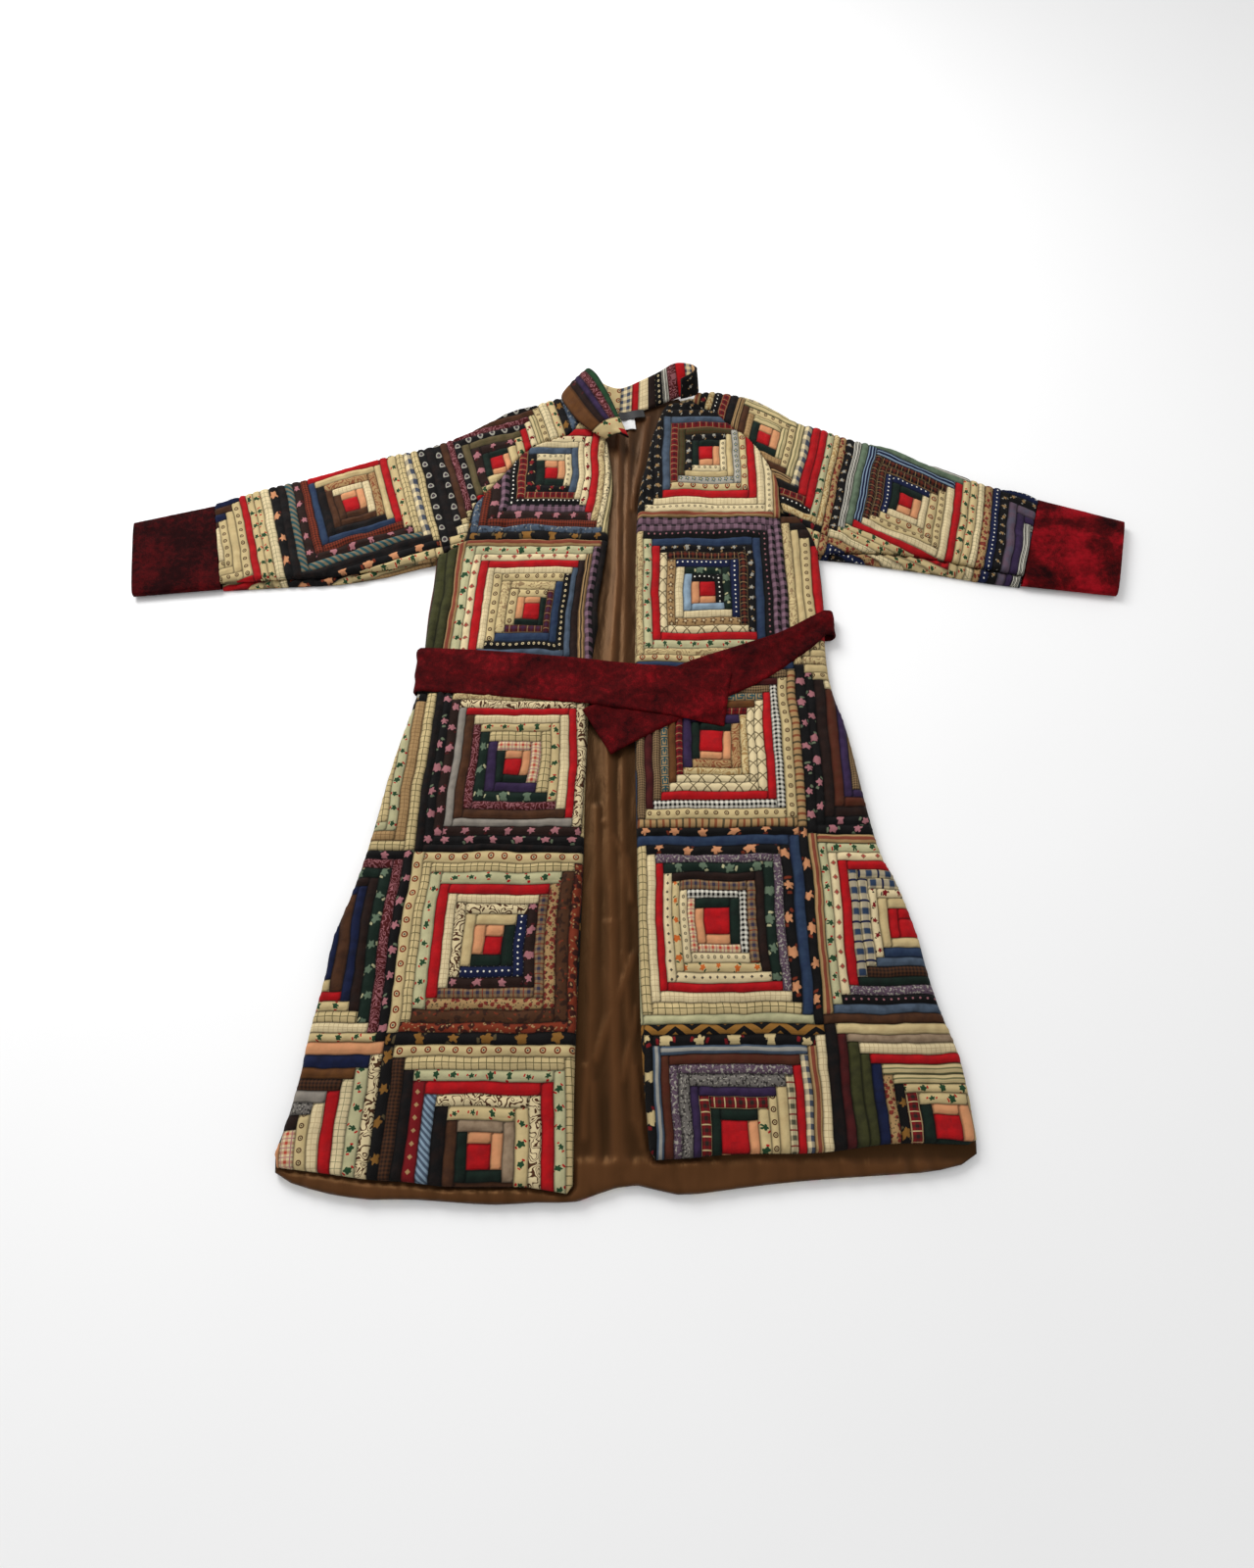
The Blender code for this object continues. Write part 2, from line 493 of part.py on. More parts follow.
def log_rows(cells):
    """Square rows of points round each block's centre: (places, height), low at the log seams."""
    rows = []
    for cell in cells:
        size = float(np.linalg.norm(cell[1][2] - cell[1][0]))
        for half_step in range(2 * RINGS):
            reach = (CENTRE_HALF + (0.5 * size - CENTRE_HALF) * half_step / (2 * RINGS)) / (0.5 * size)
            count = max(1, math.ceil(reach * size / LOG_STEP))
            square = []
            for a, b in (((-1, -1), (1, -1)), ((1, -1), (1, 1)), ((1, 1), (-1, 1)), ((-1, 1), (-1, -1))):
                for k in range(count):
                    t = k / count
                    u, v = a[0] + (b[0] - a[0]) * t, a[1] + (b[1] - a[1]) * t
                    square.append(in_cell(cell, reach * u, reach * v))
            rows.append((np.array(square), -LOG_DIP if half_step % 2 == 0 else 0.0))
    return rows


def quilted_panel(name, outline, cells, folds, floor, wall):
    """A quilted wall: its outer face has the seams of the patchwork, and its other face is plain."""
    points = [tuple(p) for p in outline.points]
    edges = loop_edges(0, len(points))
    lifts = [0.0] * len(points)
    for depth in EDGE_ROWS:
        moved, kept = outline.inset(depth)
        edges += row_edges(len(points), kept)
        points += [tuple(p) for p in moved[kept]]
        lifts += [-0.5 * LOG_DIP] * int(kept.sum())
    for square, lift in log_rows(cells):
        inside = outline.depth(square) > CLEAR_OF_EDGE
        edges += row_edges(len(points), inside)
        points += [tuple(p) for p in square[inside]]
        lifts += [lift] * int(inside.sum())
    places, faces, origins = triangulate(points, edges)
    lift = np.array([lifts[o] if o is not None else -0.5 * LOG_DIP for o in origins])
    full = outline.fullness(places)
    height = floor + (wall + fold_height(folds, places) + lift) * full
    return closed_panel(name, outline, places, faces, origins, height, floor)


def closed_panel(name, outline, places, faces, origins, height, floor, under=None):
    """Closes a panel with a plain underside that shares the outline's points."""
    mesh = bmesh.new()
    top = [mesh.verts.new((x, y, z)) for (x, y), z in zip(places, height)]
    for face in faces:
        mesh.faces.new([top[i] for i in face])
    count = len(outline.points)
    by_origin = {o: top[i] for i, o in enumerate(origins) if o is not None and o < count}
    moved, kept = outline.inset(UNDER_ROW)
    points = [tuple(p) for p in outline.points] + [tuple(p) for p in moved[kept]]
    edges = loop_edges(0, count) + row_edges(count, kept)
    if under:
        more, more_edges = under(len(points))
        points += more
        edges += more_edges
    spots, triangles, from_points = triangulate(points, edges)
    heights = np.full(len(spots), floor)
    if under:
        heights = floor + hollow(spots)
    verts = []
    for spot, origin, z in zip(spots, from_points, heights):
        on_rim = origin is not None and origin < count
        verts.append(by_origin[origin] if on_rim else mesh.verts.new((spot[0], spot[1], z)))
    for a, b, c in triangles:
        mesh.faces.new((verts[c], verts[b], verts[a]))
    return finished(name, mesh)


def finished(name, mesh):
    """Makes the object of a mesh, moved so that the coat's middle is the origin."""
    bmesh.ops.remove_doubles(mesh, verts=mesh.verts, dist=1e-7)
    bmesh.ops.recalc_face_normals(mesh, faces=mesh.faces)
    bmesh.ops.translate(mesh, verts=mesh.verts, vec=(-MIDDLE_X, -MIDDLE_Y, 0))
    data = bpy.data.meshes.new(name)
    mesh.to_mesh(data)
    mesh.free()
    data.shade_smooth()
    item = bpy.data.objects.new(name, data)
    bpy.context.scene.collection.objects.link(item)
    return item


# The belt's hidden stretch runs between the places where the shown ones turn under
BELT_UNDER = (BELT_LEFT[0], BELT_RIGHT[0])


def hollow(places):
    """How far the back's underside lifts off the floor to clear the belt behind it."""
    start = np.array(BELT_UNDER[0][:2])
    way = np.array(BELT_UNDER[1][:2]) - start
    normal = np.array([-way[1], way[0]]) / np.linalg.norm(way)
    off = np.abs((places - start) @ normal) - HOLLOW_HALF
    return HOLLOW_RISE * np.clip(1 - off / HOLLOW_RAMP, 0, 1)


def hollow_rows(outline):
    """The rows of points that carry the hollow, from one side of the back to the other."""

    def rows(first):
        points = []
        edges = []
        start = np.array(BELT_UNDER[0][:2])
        way = np.array(BELT_UNDER[1][:2]) - start
        length = np.linalg.norm(way)
        along = way / length
        normal = np.array([-along[1], along[0]])
        for off in (-1, 1):
            for edge in (HOLLOW_HALF, HOLLOW_HALF + HOLLOW_RAMP):
                places = np.linspace(-HOLLOW_PAST, length + HOLLOW_PAST, 80)
                line = np.array([start + along * t + normal * off * edge for t in places])
                line = line[outline.depth(line) > UNDER_ROW + 0.001]
                line = line[[0, len(line) // 2, -1]]
                number = first + len(points)
                points += [tuple(p) for p in line]
                edges += [(number, number + 1), (number + 1, number + 2)]
        return points, edges

    return rows


def back_outline():
    """The outline of the back and of its lining."""
    return nudged(
        Outline(
            (BACK_HEM, FOLDED),
            (RIGHT_SIDE[::-1], SIDE),
            (RIGHT_BACK_RAGLAN[::-1], SEAM),
            (BACK_NECK[::-1], SEAM),
            (LEFT_BACK_RAGLAN, SEAM),
            (LEFT_SIDE, SIDE),
        )
    )


def make_back():
    """The back panel, with a shallow hollow below for the belt behind it."""
    outline = back_outline()
    points = [tuple(p) for p in outline.points]
    edges = loop_edges(0, len(points))
    moved, kept = outline.inset(EDGE_ROWS[0])
    edges += row_edges(len(points), kept)
    points += [tuple(p) for p in moved[kept]]
    places, faces, origins = triangulate(points, edges)
    rim = np.array([o is not None and o < len(outline.points) for o in origins])
    height = np.where(rim, BACK_WALL * SIDE_MIDDLE, BACK_WALL)
    return closed_panel("back", outline, places, faces, origins, height, 0.0, hollow_rows(outline))


def lining_height(outline, fronts, places):
    """The lining's outer face: long folds down the opening, and a puckered roll at the hem."""
    clear_of_fronts = -np.max([front.depth(places) for front in fronts], axis=0)
    free = np.clip((clear_of_fronts - 0.0022) / 0.0045, 0, 1)
    height = fold_height(LINING_FOLDS, places)
    past = np.clip((HEM_ROLL_TOP - places[:, 1]) / 0.010, 0, 1)
    pucker = np.sin(2 * math.pi * places[:, 0] / HEM_PUCKER_PITCH)
    pucker *= np.sin(2 * math.pi * places[:, 0] / (HEM_PUCKER_PITCH * 2.7) + 1)
    height += past * (HEM_ROLL_RISE + HEM_PUCKER * pucker)
    at_rim = np.clip(outline.depth(places) / 0.005, 0, 1)
    return LINING_FLOOR + LINING_WALL + height * free * at_rim


def make_lining(fronts):
    """The back's lining, a thin wall of even thickness that shows in the opening and past the hem."""
    outline = back_outline()
    points = [tuple(p) for p in outline.points]
    edges = loop_edges(0, len(points))
    for front in fronts:
        moved, _ = front.inset(-0.0020)
        kept = (front.depth(moved) < -0.0018) & (outline.depth(moved) > 0.0030)
        edges += row_edges(len(points), kept)
        points += [tuple(p) for p in moved[kept]]
    rows = []
    for fold in LINING_FOLDS:
        length = math.dist((fold.x1, fold.y1), (fold.x2, fold.y2))
        count = max(3, round(length / 0.048))
        for off in (-1.0, 0.0, 1.0):
            shift = off * 1.5 * fold.half_width
            share = (np.arange(count) + (0.5 if off else 0.25)) / count
            x = fold.x1 + (fold.x2 - fold.x1) * share + shift
            rows.append(np.stack([x, fold.y1 + (fold.y2 - fold.y1) * share], axis=1))
    for line in (LEFT_HEM, RIGHT_HEM):
        row = smooth(line, HEM_PUCKER_PITCH / 3)
        rows.append(row - np.array([0.0, 0.0078]))
    hem = smooth(BACK_HEM, HEM_PUCKER_PITCH / 3)
    rows.append(hem + np.array([0.0, 0.0045]))
    taken = np.array(points)
    for row in rows:
        inside = outline.depth(row)
        outside = -np.max([front.depth(row) for front in fronts], axis=0)
        for place, deep, free in zip(row, inside, outside):
            clear = np.min(np.linalg.norm(taken - place, axis=1)) > 0.0034
            if deep > 0.0034 and free > 0.0034 and clear:
                points.append(tuple(place))
                taken = np.vstack([taken, place])
    places, faces, origins = triangulate(points, edges)
    height = lining_height(outline, fronts, places)
    mesh = bmesh.new()
    upper = [mesh.verts.new((x, y, z)) for (x, y), z in zip(places, height)]
    lower = [mesh.verts.new((x, y, z - LINING_WALL)) for (x, y), z in zip(places, height)]
    for a, b, c in faces:
        mesh.faces.new((upper[a], upper[b], upper[c]))
        mesh.faces.new((lower[c], lower[b], lower[a]))
    count = len(outline.points)
    rim = {o: i for i, o in enumerate(origins) if o is not None and o < count}
    for k in range(count):
        a, b = rim[k], rim[(k + 1) % count]
        mesh.faces.new((upper[b], upper[a], lower[a], lower[b]))
    return finished("back_lining", mesh)


def front_left_outline():
    """The outline of the left front."""
    return nudged(
        Outline(
            (LEFT_SIDE, SIDE),
            (LEFT_HEM, FOLDED),
            (LEFT_EDGE, FOLDED),
            (LEFT_NECK, SEAM),
            (LEFT_RAGLAN, SEAM),
        )
    )


def make_front_left(outline):
    """The left front, one column of whole blocks and part of the next."""
    side = LEFT_SIDE_COLUMN._replace(west=[], east=LEFT_COLUMN.west)
    cells = column_cells(LEFT_COLUMN) + column_cells(side)
    return quilted_panel("front_left", outline, cells, LEFT_FRONT_FOLDS, FRONT_FLOOR, FRONT_WALL)


def front_right_outline():
    """The outline of the right front."""
    return nudged(
        Outline(
            (RIGHT_SIDE, SIDE),
            (RIGHT_HEM[::-1], FOLDED),
            (RIGHT_EDGE[::-1], FOLDED),
            (RIGHT_NECK[::-1], SEAM),
            (RIGHT_RAGLAN, SEAM),
        )
    )


def make_front_right(outline):
    """The right front, one column of whole blocks and part of the next."""
    side = RIGHT_SIDE_COLUMN._replace(west=RIGHT_COLUMN.east)
    cells = column_cells(RIGHT_COLUMN) + column_cells(side)
    return quilted_panel("front_right", outline, cells, RIGHT_FRONT_FOLDS, FRONT_FLOOR, FRONT_WALL)


def nudged(outline, by=GAP / 2):
    """The outline drawn in by half a seam's gap, so that neighbours on one line stay apart."""
    before = np.roll(outline.points, 1, axis=0)
    way_in = outline.ends - before
    way_in = np.stack([-way_in[:, 1], way_in[:, 0]], axis=1)
    way_in /= np.linalg.norm(way_in, axis=1)[:, None]
    outline.points = outline.points + way_in * by
    outline.ends = np.roll(outline.points, -1, axis=0)
    return outline


def under_edge(line, rim):
    """A sleeve front's lower edge: the sleeve's own edge, moved in by the width of the rim that shows."""
    widths = np.interp(np.linspace(0, 1, len(line)), [0, 0.5, 1], [rim.at_cuff, rim.at_middle, rim.at_armpit])
    return [Spot(s.x, s.y + w) for s, w in zip(line, widths)]


def along_end(top, under, distance):
    """A place on a sleeve's cuff end, at a distance from its lower corner."""
    lower = np.array(under[0])
    way = np.array(top[-1]) - lower
    return Spot(*(lower + way * distance / np.linalg.norm(way)))


def sleeve_outlines(top, under, raglan, back_raglan, neck, back_neck, rim):
    """The outlines of a sleeve's front and back."""
    shown = under_edge(under, rim)
    shown[0] = along_end(top, under, rim.at_cuff)
    length = math.dist(top[-1], under[0])
    upper_end = along_end(top, under, length - 0.005)
    front = Outline(
        (top, SIDE),
        ([upper_end, along_end(top, under, rim.at_cuff + 0.005)], SEAM),
        (shown, SEAM),
        (raglan[::-1], SEAM),
        (neck, SEAM),
    )
    back = Outline(
        (top, SIDE),
        ([upper_end, along_end(top, under, 0.005)], SEAM),
        (under, SIDE),
        (back_raglan[::-1], SEAM),
        (back_neck[::-1], SEAM),
    )
    return nudged(front), nudged(back)


def even_points(line, count):
    """An even count of places along a line's smooth curve."""
    curve = smooth(line, 0.004)
    along = np.concatenate([[0], np.cumsum(np.linalg.norm(np.diff(curve, axis=0), axis=1))])
    places = np.linspace(0, along[-1], count)
    return np.stack([np.interp(places, along, curve[:, i]) for i in (0, 1)], axis=1)


def rim_rows(under, rim):
    """Rows of places along a sleeve's rim, with their heights: its foot, its step up and its turned edge."""
    outer = even_points(under, RIM_POINTS)
    inner = even_points(under_edge(under, rim), RIM_POINTS)
    way = inner - outer
    width = np.linalg.norm(way, axis=1)
    wide = width > RIM_START + RIM_STEP + RIM_TURN + GAP
    outer, way, width = outer[wide][1:], way[wide][1:], width[wide][1:]
    way /= width[:, None]
    rows = []
    for reach, height in (
        (width - RIM_START, BACK_WALL),
        (width - RIM_START - RIM_STEP, RIM_RISE),
        (np.full(len(width), RIM_TURN), RIM_RISE * 0.92),
    ):
        rows.append((outer + way * reach[:, None], height))
    return rows


def make_sleeve(side, outlines, slant, numbers, folds, under, rim):
    """A sleeve's front, and its back, whose cloth comes up round the lower edge as a rim."""
    front, back = outlines
    cells = slanted_cells(slant, numbers)
    upper = quilted_panel(f"sleeve_{side}_front", front, cells, folds, FRONT_FLOOR, FRONT_WALL)
    points = [tuple(p) for p in back.points]
    edges = loop_edges(0, len(points))
    heights = [BACK_WALL * SIDE_MIDDLE] * len(points)
    rows = rim_rows(under, rim)
    for row, height in rows:
        first = len(points)
        points += [tuple(p) for p in row]
        heights += [height] * len(row)
        edges += [(first + i, first + i + 1) for i in range(len(row) - 1)]
    size = len(rows[0][0])
    for corner in (0, size - 1):
        across = [len(back.points) + k * size + corner for k in range(len(rows))]
        edges += list(zip(across, across[1:]))
    moved, kept = back.inset(EDGE_ROWS[1])
    crowd = np.vstack([row for row, _ in rows])
    kept &= np.min(np.linalg.norm(moved[:, None] - crowd[None], axis=2), axis=1) > 0.014
    points += [tuple(p) for p in moved[kept]]
    heights += [BACK_WALL] * int(kept.sum())
    places, faces, origins = triangulate(points, edges)
    height = np.array([heights[o] if o is not None else BACK_WALL for o in origins])
    lower = closed_panel(f"sleeve_{side}_back", back, places, faces, origins, height, 0.0)
    return upper, lower


def make_cuff(name, top, under, wrist):
    """A velvet cuff: a flattened tube, open at the wrist and at the seam with the sleeve."""
    seam = np.array([(top[-1].x, top[-1].y), (under[0].x, under[0].y)])
    wrist = np.array([(s.x, s.y) for s in wrist])
    outward = wrist.mean(axis=0) - seam.mean(axis=0)
    outward /= np.linalg.norm(outward)
    seam = seam + outward * 2 * GAP
    mesh = bmesh.new()
    rings = []
    for wall in (0.0, CUFF_WALL):
        for t in np.linspace(0, 1, CUFF_STATIONS):
            upper, lower = seam * (1 - t) + wrist * t
            middle = (upper + lower) / 2
            half = (upper - lower) / 2
            half *= 1 - wall / np.linalg.norm(half)
            ring = []
            for k in range(CUFF_ROUND):
                angle = 2 * math.pi * (k + 0.5) / CUFF_ROUND
                c, s = math.cos(angle), math.sin(angle)
                size = (abs(c) ** CUFF_SQUARENESS + abs(s) ** CUFF_SQUARENESS) ** (-1 / CUFF_SQUARENESS)
                x, y = middle + half * c * size
                ring.append(mesh.verts.new((x, y, CUFF_HEIGHT / 2 + (CUFF_HEIGHT / 2 - wall) * s * size)))
            rings.append(ring)
    count = CUFF_STATIONS
    for i in range(count - 1):
        bridge(mesh, rings[i], rings[i + 1])
        bridge(mesh, rings[count + i + 1], rings[count + i])
    bridge(mesh, rings[count], rings[0])
    bridge(mesh, rings[count - 1], rings[2 * count - 1])
    return finished(name, mesh)


def bridge(mesh, one, other):
    size = len(one)
    for k in range(size):
        m = (k + 1) % size
        mesh.faces.new((one[k], one[m], other[m], other[k]))


def spline_through(rows, count):
    """Values on a smooth curve through the rows of a table, at an even count of places."""
    table = np.array(rows, float)
    knots = np.vstack([2 * table[0] - table[1], table, 2 * table[-1] - table[-2]])
    found = []
    for place in np.linspace(0, len(table) - 1, count):
        i = min(int(place), len(table) - 2)
        t = place - i
        a, b, c, d = knots[i : i + 4]
        found.append(
            0.5 * (2 * b + (c - a) * t + (2 * a - 5 * b + 4 * c - d) * t**2 + (3 * b - a - 3 * c + d) * t**3)
        )
    return np.array(found)


def make_collar():
    """The stand collar, a padded band from the left front round the neck to the right front."""
    stations = spline_through(COLLAR, COLLAR_AROUND)
    middle = np.zeros((COLLAR_AROUND, COLLAR_UP + 1, 3))
    for i, row in enumerate(stations):
        seam, free, bulge = row[0:3], row[3:6], row[6]
        for j in range(COLLAR_UP + 1):
            t = j / COLLAR_UP
            middle[i, j] = seam * (1 - t) + free * t
            middle[i, j, 2] += bulge * math.sin(math.pi * t)
    around = np.gradient(middle, axis=0)
    up = np.gradient(middle, axis=1)
    normal = np.cross(around, up)
    normal /= np.linalg.norm(normal, axis=2)[..., None]
    thick = np.full(COLLAR_UP + 1, COLLAR_WALL / 2)
    thick[0] *= 0.55
    thick[-1] *= 0.55
    mesh = bmesh.new()
    sheets = []
    for side in (1, -1):
        places = middle + side * normal * thick[None, :, None]
        sheets.append([[mesh.verts.new(p) for p in line] for line in places])
    outer, inner = sheets
    for i in range(COLLAR_AROUND - 1):
        for j in range(COLLAR_UP):
            mesh.faces.new((outer[i][j], outer[i + 1][j], outer[i + 1][j + 1], outer[i][j + 1]))
            mesh.faces.new((inner[i][j + 1], inner[i + 1][j + 1], inner[i + 1][j], inner[i][j]))
        mesh.faces.new((inner[i][0], inner[i + 1][0], outer[i + 1][0], outer[i][0]))
        mesh.faces.new((outer[i][-1], outer[i + 1][-1], inner[i + 1][-1], inner[i][-1]))
    for end in (0, -1):
        for j in range(COLLAR_UP):
            mesh.faces.new((outer[end][j], outer[end][j + 1], inner[end][j + 1], inner[end][j]))
    return finished("collar", mesh)


def coat_top(places):
    """The height that the belt lies on: the fronts' folds, with a slight sag over the opening."""
    left = fold_height(LEFT_FRONT_FOLDS, places) * (places[:, 0] < -0.02)
    right = fold_height(RIGHT_FRONT_FOLDS, places) * (places[:, 0] > -0.02)
    sag = 0.0016 * np.exp(-(((places[:, 0] + 0.022) / 0.026) ** 2))
    return FRONT_TOP + left + right - sag + BELT_CLEAR


def belt_strip(name, stations, lift, side):
    """A flat velvet strip on the fronts that turns down over the coat's side and under it."""
    rows = spline_through(stations, 200)
    along = np.concatenate([[0], np.cumsum(np.linalg.norm(np.diff(rows[:, :2], axis=0), axis=1))])
    count = round(along[-1] / BELT_STEP)
    places = np.linspace(0, along[-1], count + 1)
    rows = np.stack([np.interp(places, along, rows[:, i]) for i in range(3)], axis=1)
    way = np.gradient(rows[:, :2], axis=0)
    way /= np.linalg.norm(way, axis=1)[:, None]
    square = np.clip(1 - places / BELT_SQUARE_FOR, 0, 1)[:, None]
    way = way * (1 - square) + np.array([side, 0.0]) * square
    way /= np.linalg.norm(way, axis=1)[:, None]
    normal = np.stack([-way[:, 1], way[:, 0]], axis=1)
    fractions = np.linspace(-0.5, 0.5, BELT_ACROSS + 1)
    start_x, start_y, start_width = rows[0]
    radius = (coat_top(rows[:1, :2])[0] - VELVET_WALL) / 2
    sections = [(side * BELT_TURN_IN, VELVET_WALL)]
    for angle in (-90, -50, -10, 30, 70):
        out = BELT_SIDE_BULGE + 0.75 * radius * math.cos(math.radians(angle))
        sections.append((-side * out, VELVET_WALL + radius * (1 + math.sin(math.radians(angle)))))
    grid = [
        [(start_x + shift, start_y + side * f * start_width, z) for f in fractions] for shift, z in sections
    ]
    for (x, y, width), across in zip(rows, normal):
        flat = np.array([[x + across[0] * f * width, y + across[1] * f * width] for f in fractions])
        z = coat_top(flat) + lift(flat)
        grid.append([(p[0], p[1], h) for p, h in zip(flat, z)])
    grid = np.array(grid)
    around = np.gradient(grid, axis=0)
    across = np.gradient(grid, axis=1)
    up = np.cross(around, across)
    up /= np.linalg.norm(up, axis=2)[..., None]
    if up[-1, 0, 2] < 0:
        up = -up
    up[:2] = (0, 0, -1)
    thick = np.full(BELT_ACROSS + 1, VELVET_WALL)
    thick[0] *= 0.7
    thick[-1] *= 0.7
    mesh = bmesh.new()
    lower = [[mesh.verts.new(p) for p in line] for line in grid]
    upper = [[mesh.verts.new(p) for p in line] for line in grid + up * thick[None, :, None]]
    close_sheet(mesh, lower, upper)
    return finished(name, mesh)


def close_sheet(mesh, lower, upper):
    """Faces on both sides of a grid of points, and round its rim."""
    long, wide = len(lower), len(lower[0])
    for i in range(long - 1):
        for j in range(wide - 1):
            mesh.faces.new((upper[i][j], upper[i + 1][j], upper[i + 1][j + 1], upper[i][j + 1]))
            mesh.faces.new((lower[i][j + 1], lower[i + 1][j + 1], lower[i + 1][j], lower[i][j]))
        mesh.faces.new((lower[i][0], lower[i + 1][0], upper[i + 1][0], upper[i][0]))
        mesh.faces.new((upper[i][-1], upper[i + 1][-1], lower[i + 1][-1], lower[i][-1]))
    for j in range(wide - 1):
        mesh.faces.new((lower[0][j + 1], lower[0][j], upper[0][j], upper[0][j + 1]))
        mesh.faces.new((lower[-1][j], lower[-1][j + 1], upper[-1][j + 1], upper[-1][j]))


def no_lift(places):
    return np.zeros(len(places))


def over_right_run(places):
    """How far the left run rises to pass over the right one."""
    line = np.array([(s.x, s.y) for s in BELT_RIGHT])
    nearest = np.full(len(places), 1.0)
    for a, b in zip(line, line[1:]):
        way = b - a
        share = np.clip((places - a) @ way / (way @ way), 0, 1)
        nearest = np.minimum(nearest, np.linalg.norm(places - a - share[:, None] * way, axis=1))
    return (VELVET_WALL + 2 * GAP) * np.clip((0.062 - nearest) / 0.018, 0, 1)


def make_belt_back():
    """The belt's hidden stretch, flat on the floor behind the coat."""
    start, end = BELT_UNDER
    mesh = bmesh.new()
    grid = []
    for x in np.linspace(start.x + BELT_TURN_IN + 2 * GAP, end.x - BELT_TURN_IN - 2 * GAP, 5):
        y = np.interp(x, [start.x, end.x], [start.y, end.y])
        grid.append([(x, y + f * BELT_WIDTH, 0.0) for f in (-0.5, 0.5)])
    lower = [[mesh.verts.new(p) for p in line] for line in grid]
    upper = [[mesh.verts.new((p[0], p[1], VELVET_WALL)) for p in line] for line in grid]
    close_sheet(mesh, lower, upper)
    return finished("belt_back_run", mesh)


# The tapes at the back of the neck: their middle, their size and how far they are turned, in degrees
Tape = namedtuple("Tape", "name x y long wide turn floor")
TAPES = [
    Tape("neck_label", 0.0080, 1.1200, 0.0420, 0.0160, 12.0, 0.0150),
    Tape("care_tag", 0.0010, 1.1030, 0.0250, 0.0240, 6.0, 0.0124),
]


def make_tape(tape):
    """A sewn tape that lies on the lining, bare."""
    mesh = bmesh.new()
    turn = math.radians(tape.turn)
    along = np.array([math.cos(turn), math.sin(turn)])
    across = np.array([-along[1], along[0]])
    middle = np.array([tape.x, tape.y])
    grid = []
    for t in np.linspace(-0.5, 0.5, 7):
        height = tape.floor + TAPE_WAVE * math.sin(3 * math.pi * t)
        row = [middle + along * t * tape.long + across * f * tape.wide for f in (-0.5, 0, 0.5)]
        grid.append([(x, y, height) for x, y in row])
    lower = [[mesh.verts.new(p) for p in line] for line in grid]
    upper = [[mesh.verts.new((p[0], p[1], p[2] + TAPE_WALL)) for p in line] for line in grid]
    close_sheet(mesh, lower, upper)
    return finished(tape.name, mesh)


# Each node's colour, roughness and metallic value
Finish = namedtuple("Finish", "red green blue roughness metallic")
PATCHWORK = Finish(0.28, 0.16, 0.11, 0.85, 0.0)
VELVET = Finish(0.20, 0.004, 0.012, 0.65, 0.0)
SATIN = Finish(0.075, 0.030, 0.014, 0.40, 0.0)
BLACK_TAPE = Finish(0.01, 0.01, 0.012, 0.60, 0.0)
WHITE_TAPE = Finish(0.70, 0.70, 0.72, 0.60, 0.0)


def paint(item, finish):
    """Gives an object its own material."""
    material = bpy.data.materials.new(item.name)
    material.use_nodes = True
    shader = material.node_tree.nodes["Principled BSDF"]
    shader.inputs["Base Color"].default_value = (finish.red, finish.green, finish.blue, 1.0)
    shader.inputs["Roughness"].default_value = finish.roughness
    shader.inputs["Metallic"].default_value = finish.metallic
    item.data.materials.append(material)


def main():
    for item in list(bpy.data.objects):
        bpy.data.objects.remove(item, do_unlink=True)
    left = sleeve_outlines(
        LEFT_SLEEVE_TOP, LEFT_SLEEVE_UNDER, LEFT_RAGLAN, LEFT_BACK_RAGLAN, LEFT_SLEEVE_NECK,
        LEFT_BACK_SLEEVE_NECK, LEFT_RIM,
    )
    right = sleeve_outlines(
        RIGHT_SLEEVE_TOP, RIGHT_SLEEVE_UNDER, RIGHT_RAGLAN, RIGHT_BACK_RAGLAN, RIGHT_SLEEVE_NECK,
        RIGHT_BACK_SLEEVE_NECK, RIGHT_RIM,
    )
    fronts = (front_left_outline(), front_right_outline())
    quilted = [make_back(), make_front_left(fronts[0]), make_front_right(fronts[1]), make_collar()]
    quilted += make_sleeve(
        "left", left, LEFT_SLANT, LEFT_SLEEVE_BLOCKS, LEFT_SLEEVE_FOLDS, LEFT_SLEEVE_UNDER, LEFT_RIM
    )
    quilted += make_sleeve(
        "right", right, RIGHT_SLANT, RIGHT_SLEEVE_BLOCKS, RIGHT_SLEEVE_FOLDS, RIGHT_SLEEVE_UNDER, RIGHT_RIM
    )
    for item in quilted:
        paint(item, PATCHWORK)
    paint(make_lining(fronts), SATIN)
    velvet = [
        make_cuff("cuff_left", LEFT_SLEEVE_TOP, LEFT_SLEEVE_UNDER, LEFT_WRIST),
        make_cuff("cuff_right", RIGHT_SLEEVE_TOP, RIGHT_SLEEVE_UNDER, RIGHT_WRIST),
        belt_strip("belt_left_run", BELT_LEFT, over_right_run, 1),
        belt_strip("belt_right_run", BELT_RIGHT, no_lift, -1),
        make_belt_back(),
    ]
    for item in velvet:
        paint(item, VELVET)
    for tape, finish in zip(TAPES, (BLACK_TAPE, WHITE_TAPE)):
        paint(make_tape(tape), finish)


main()
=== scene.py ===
"""Looks of a quilted patchwork coat that lies flat on its back: cloth, velvet, lining, light and camera."""

import math
from collections import namedtuple

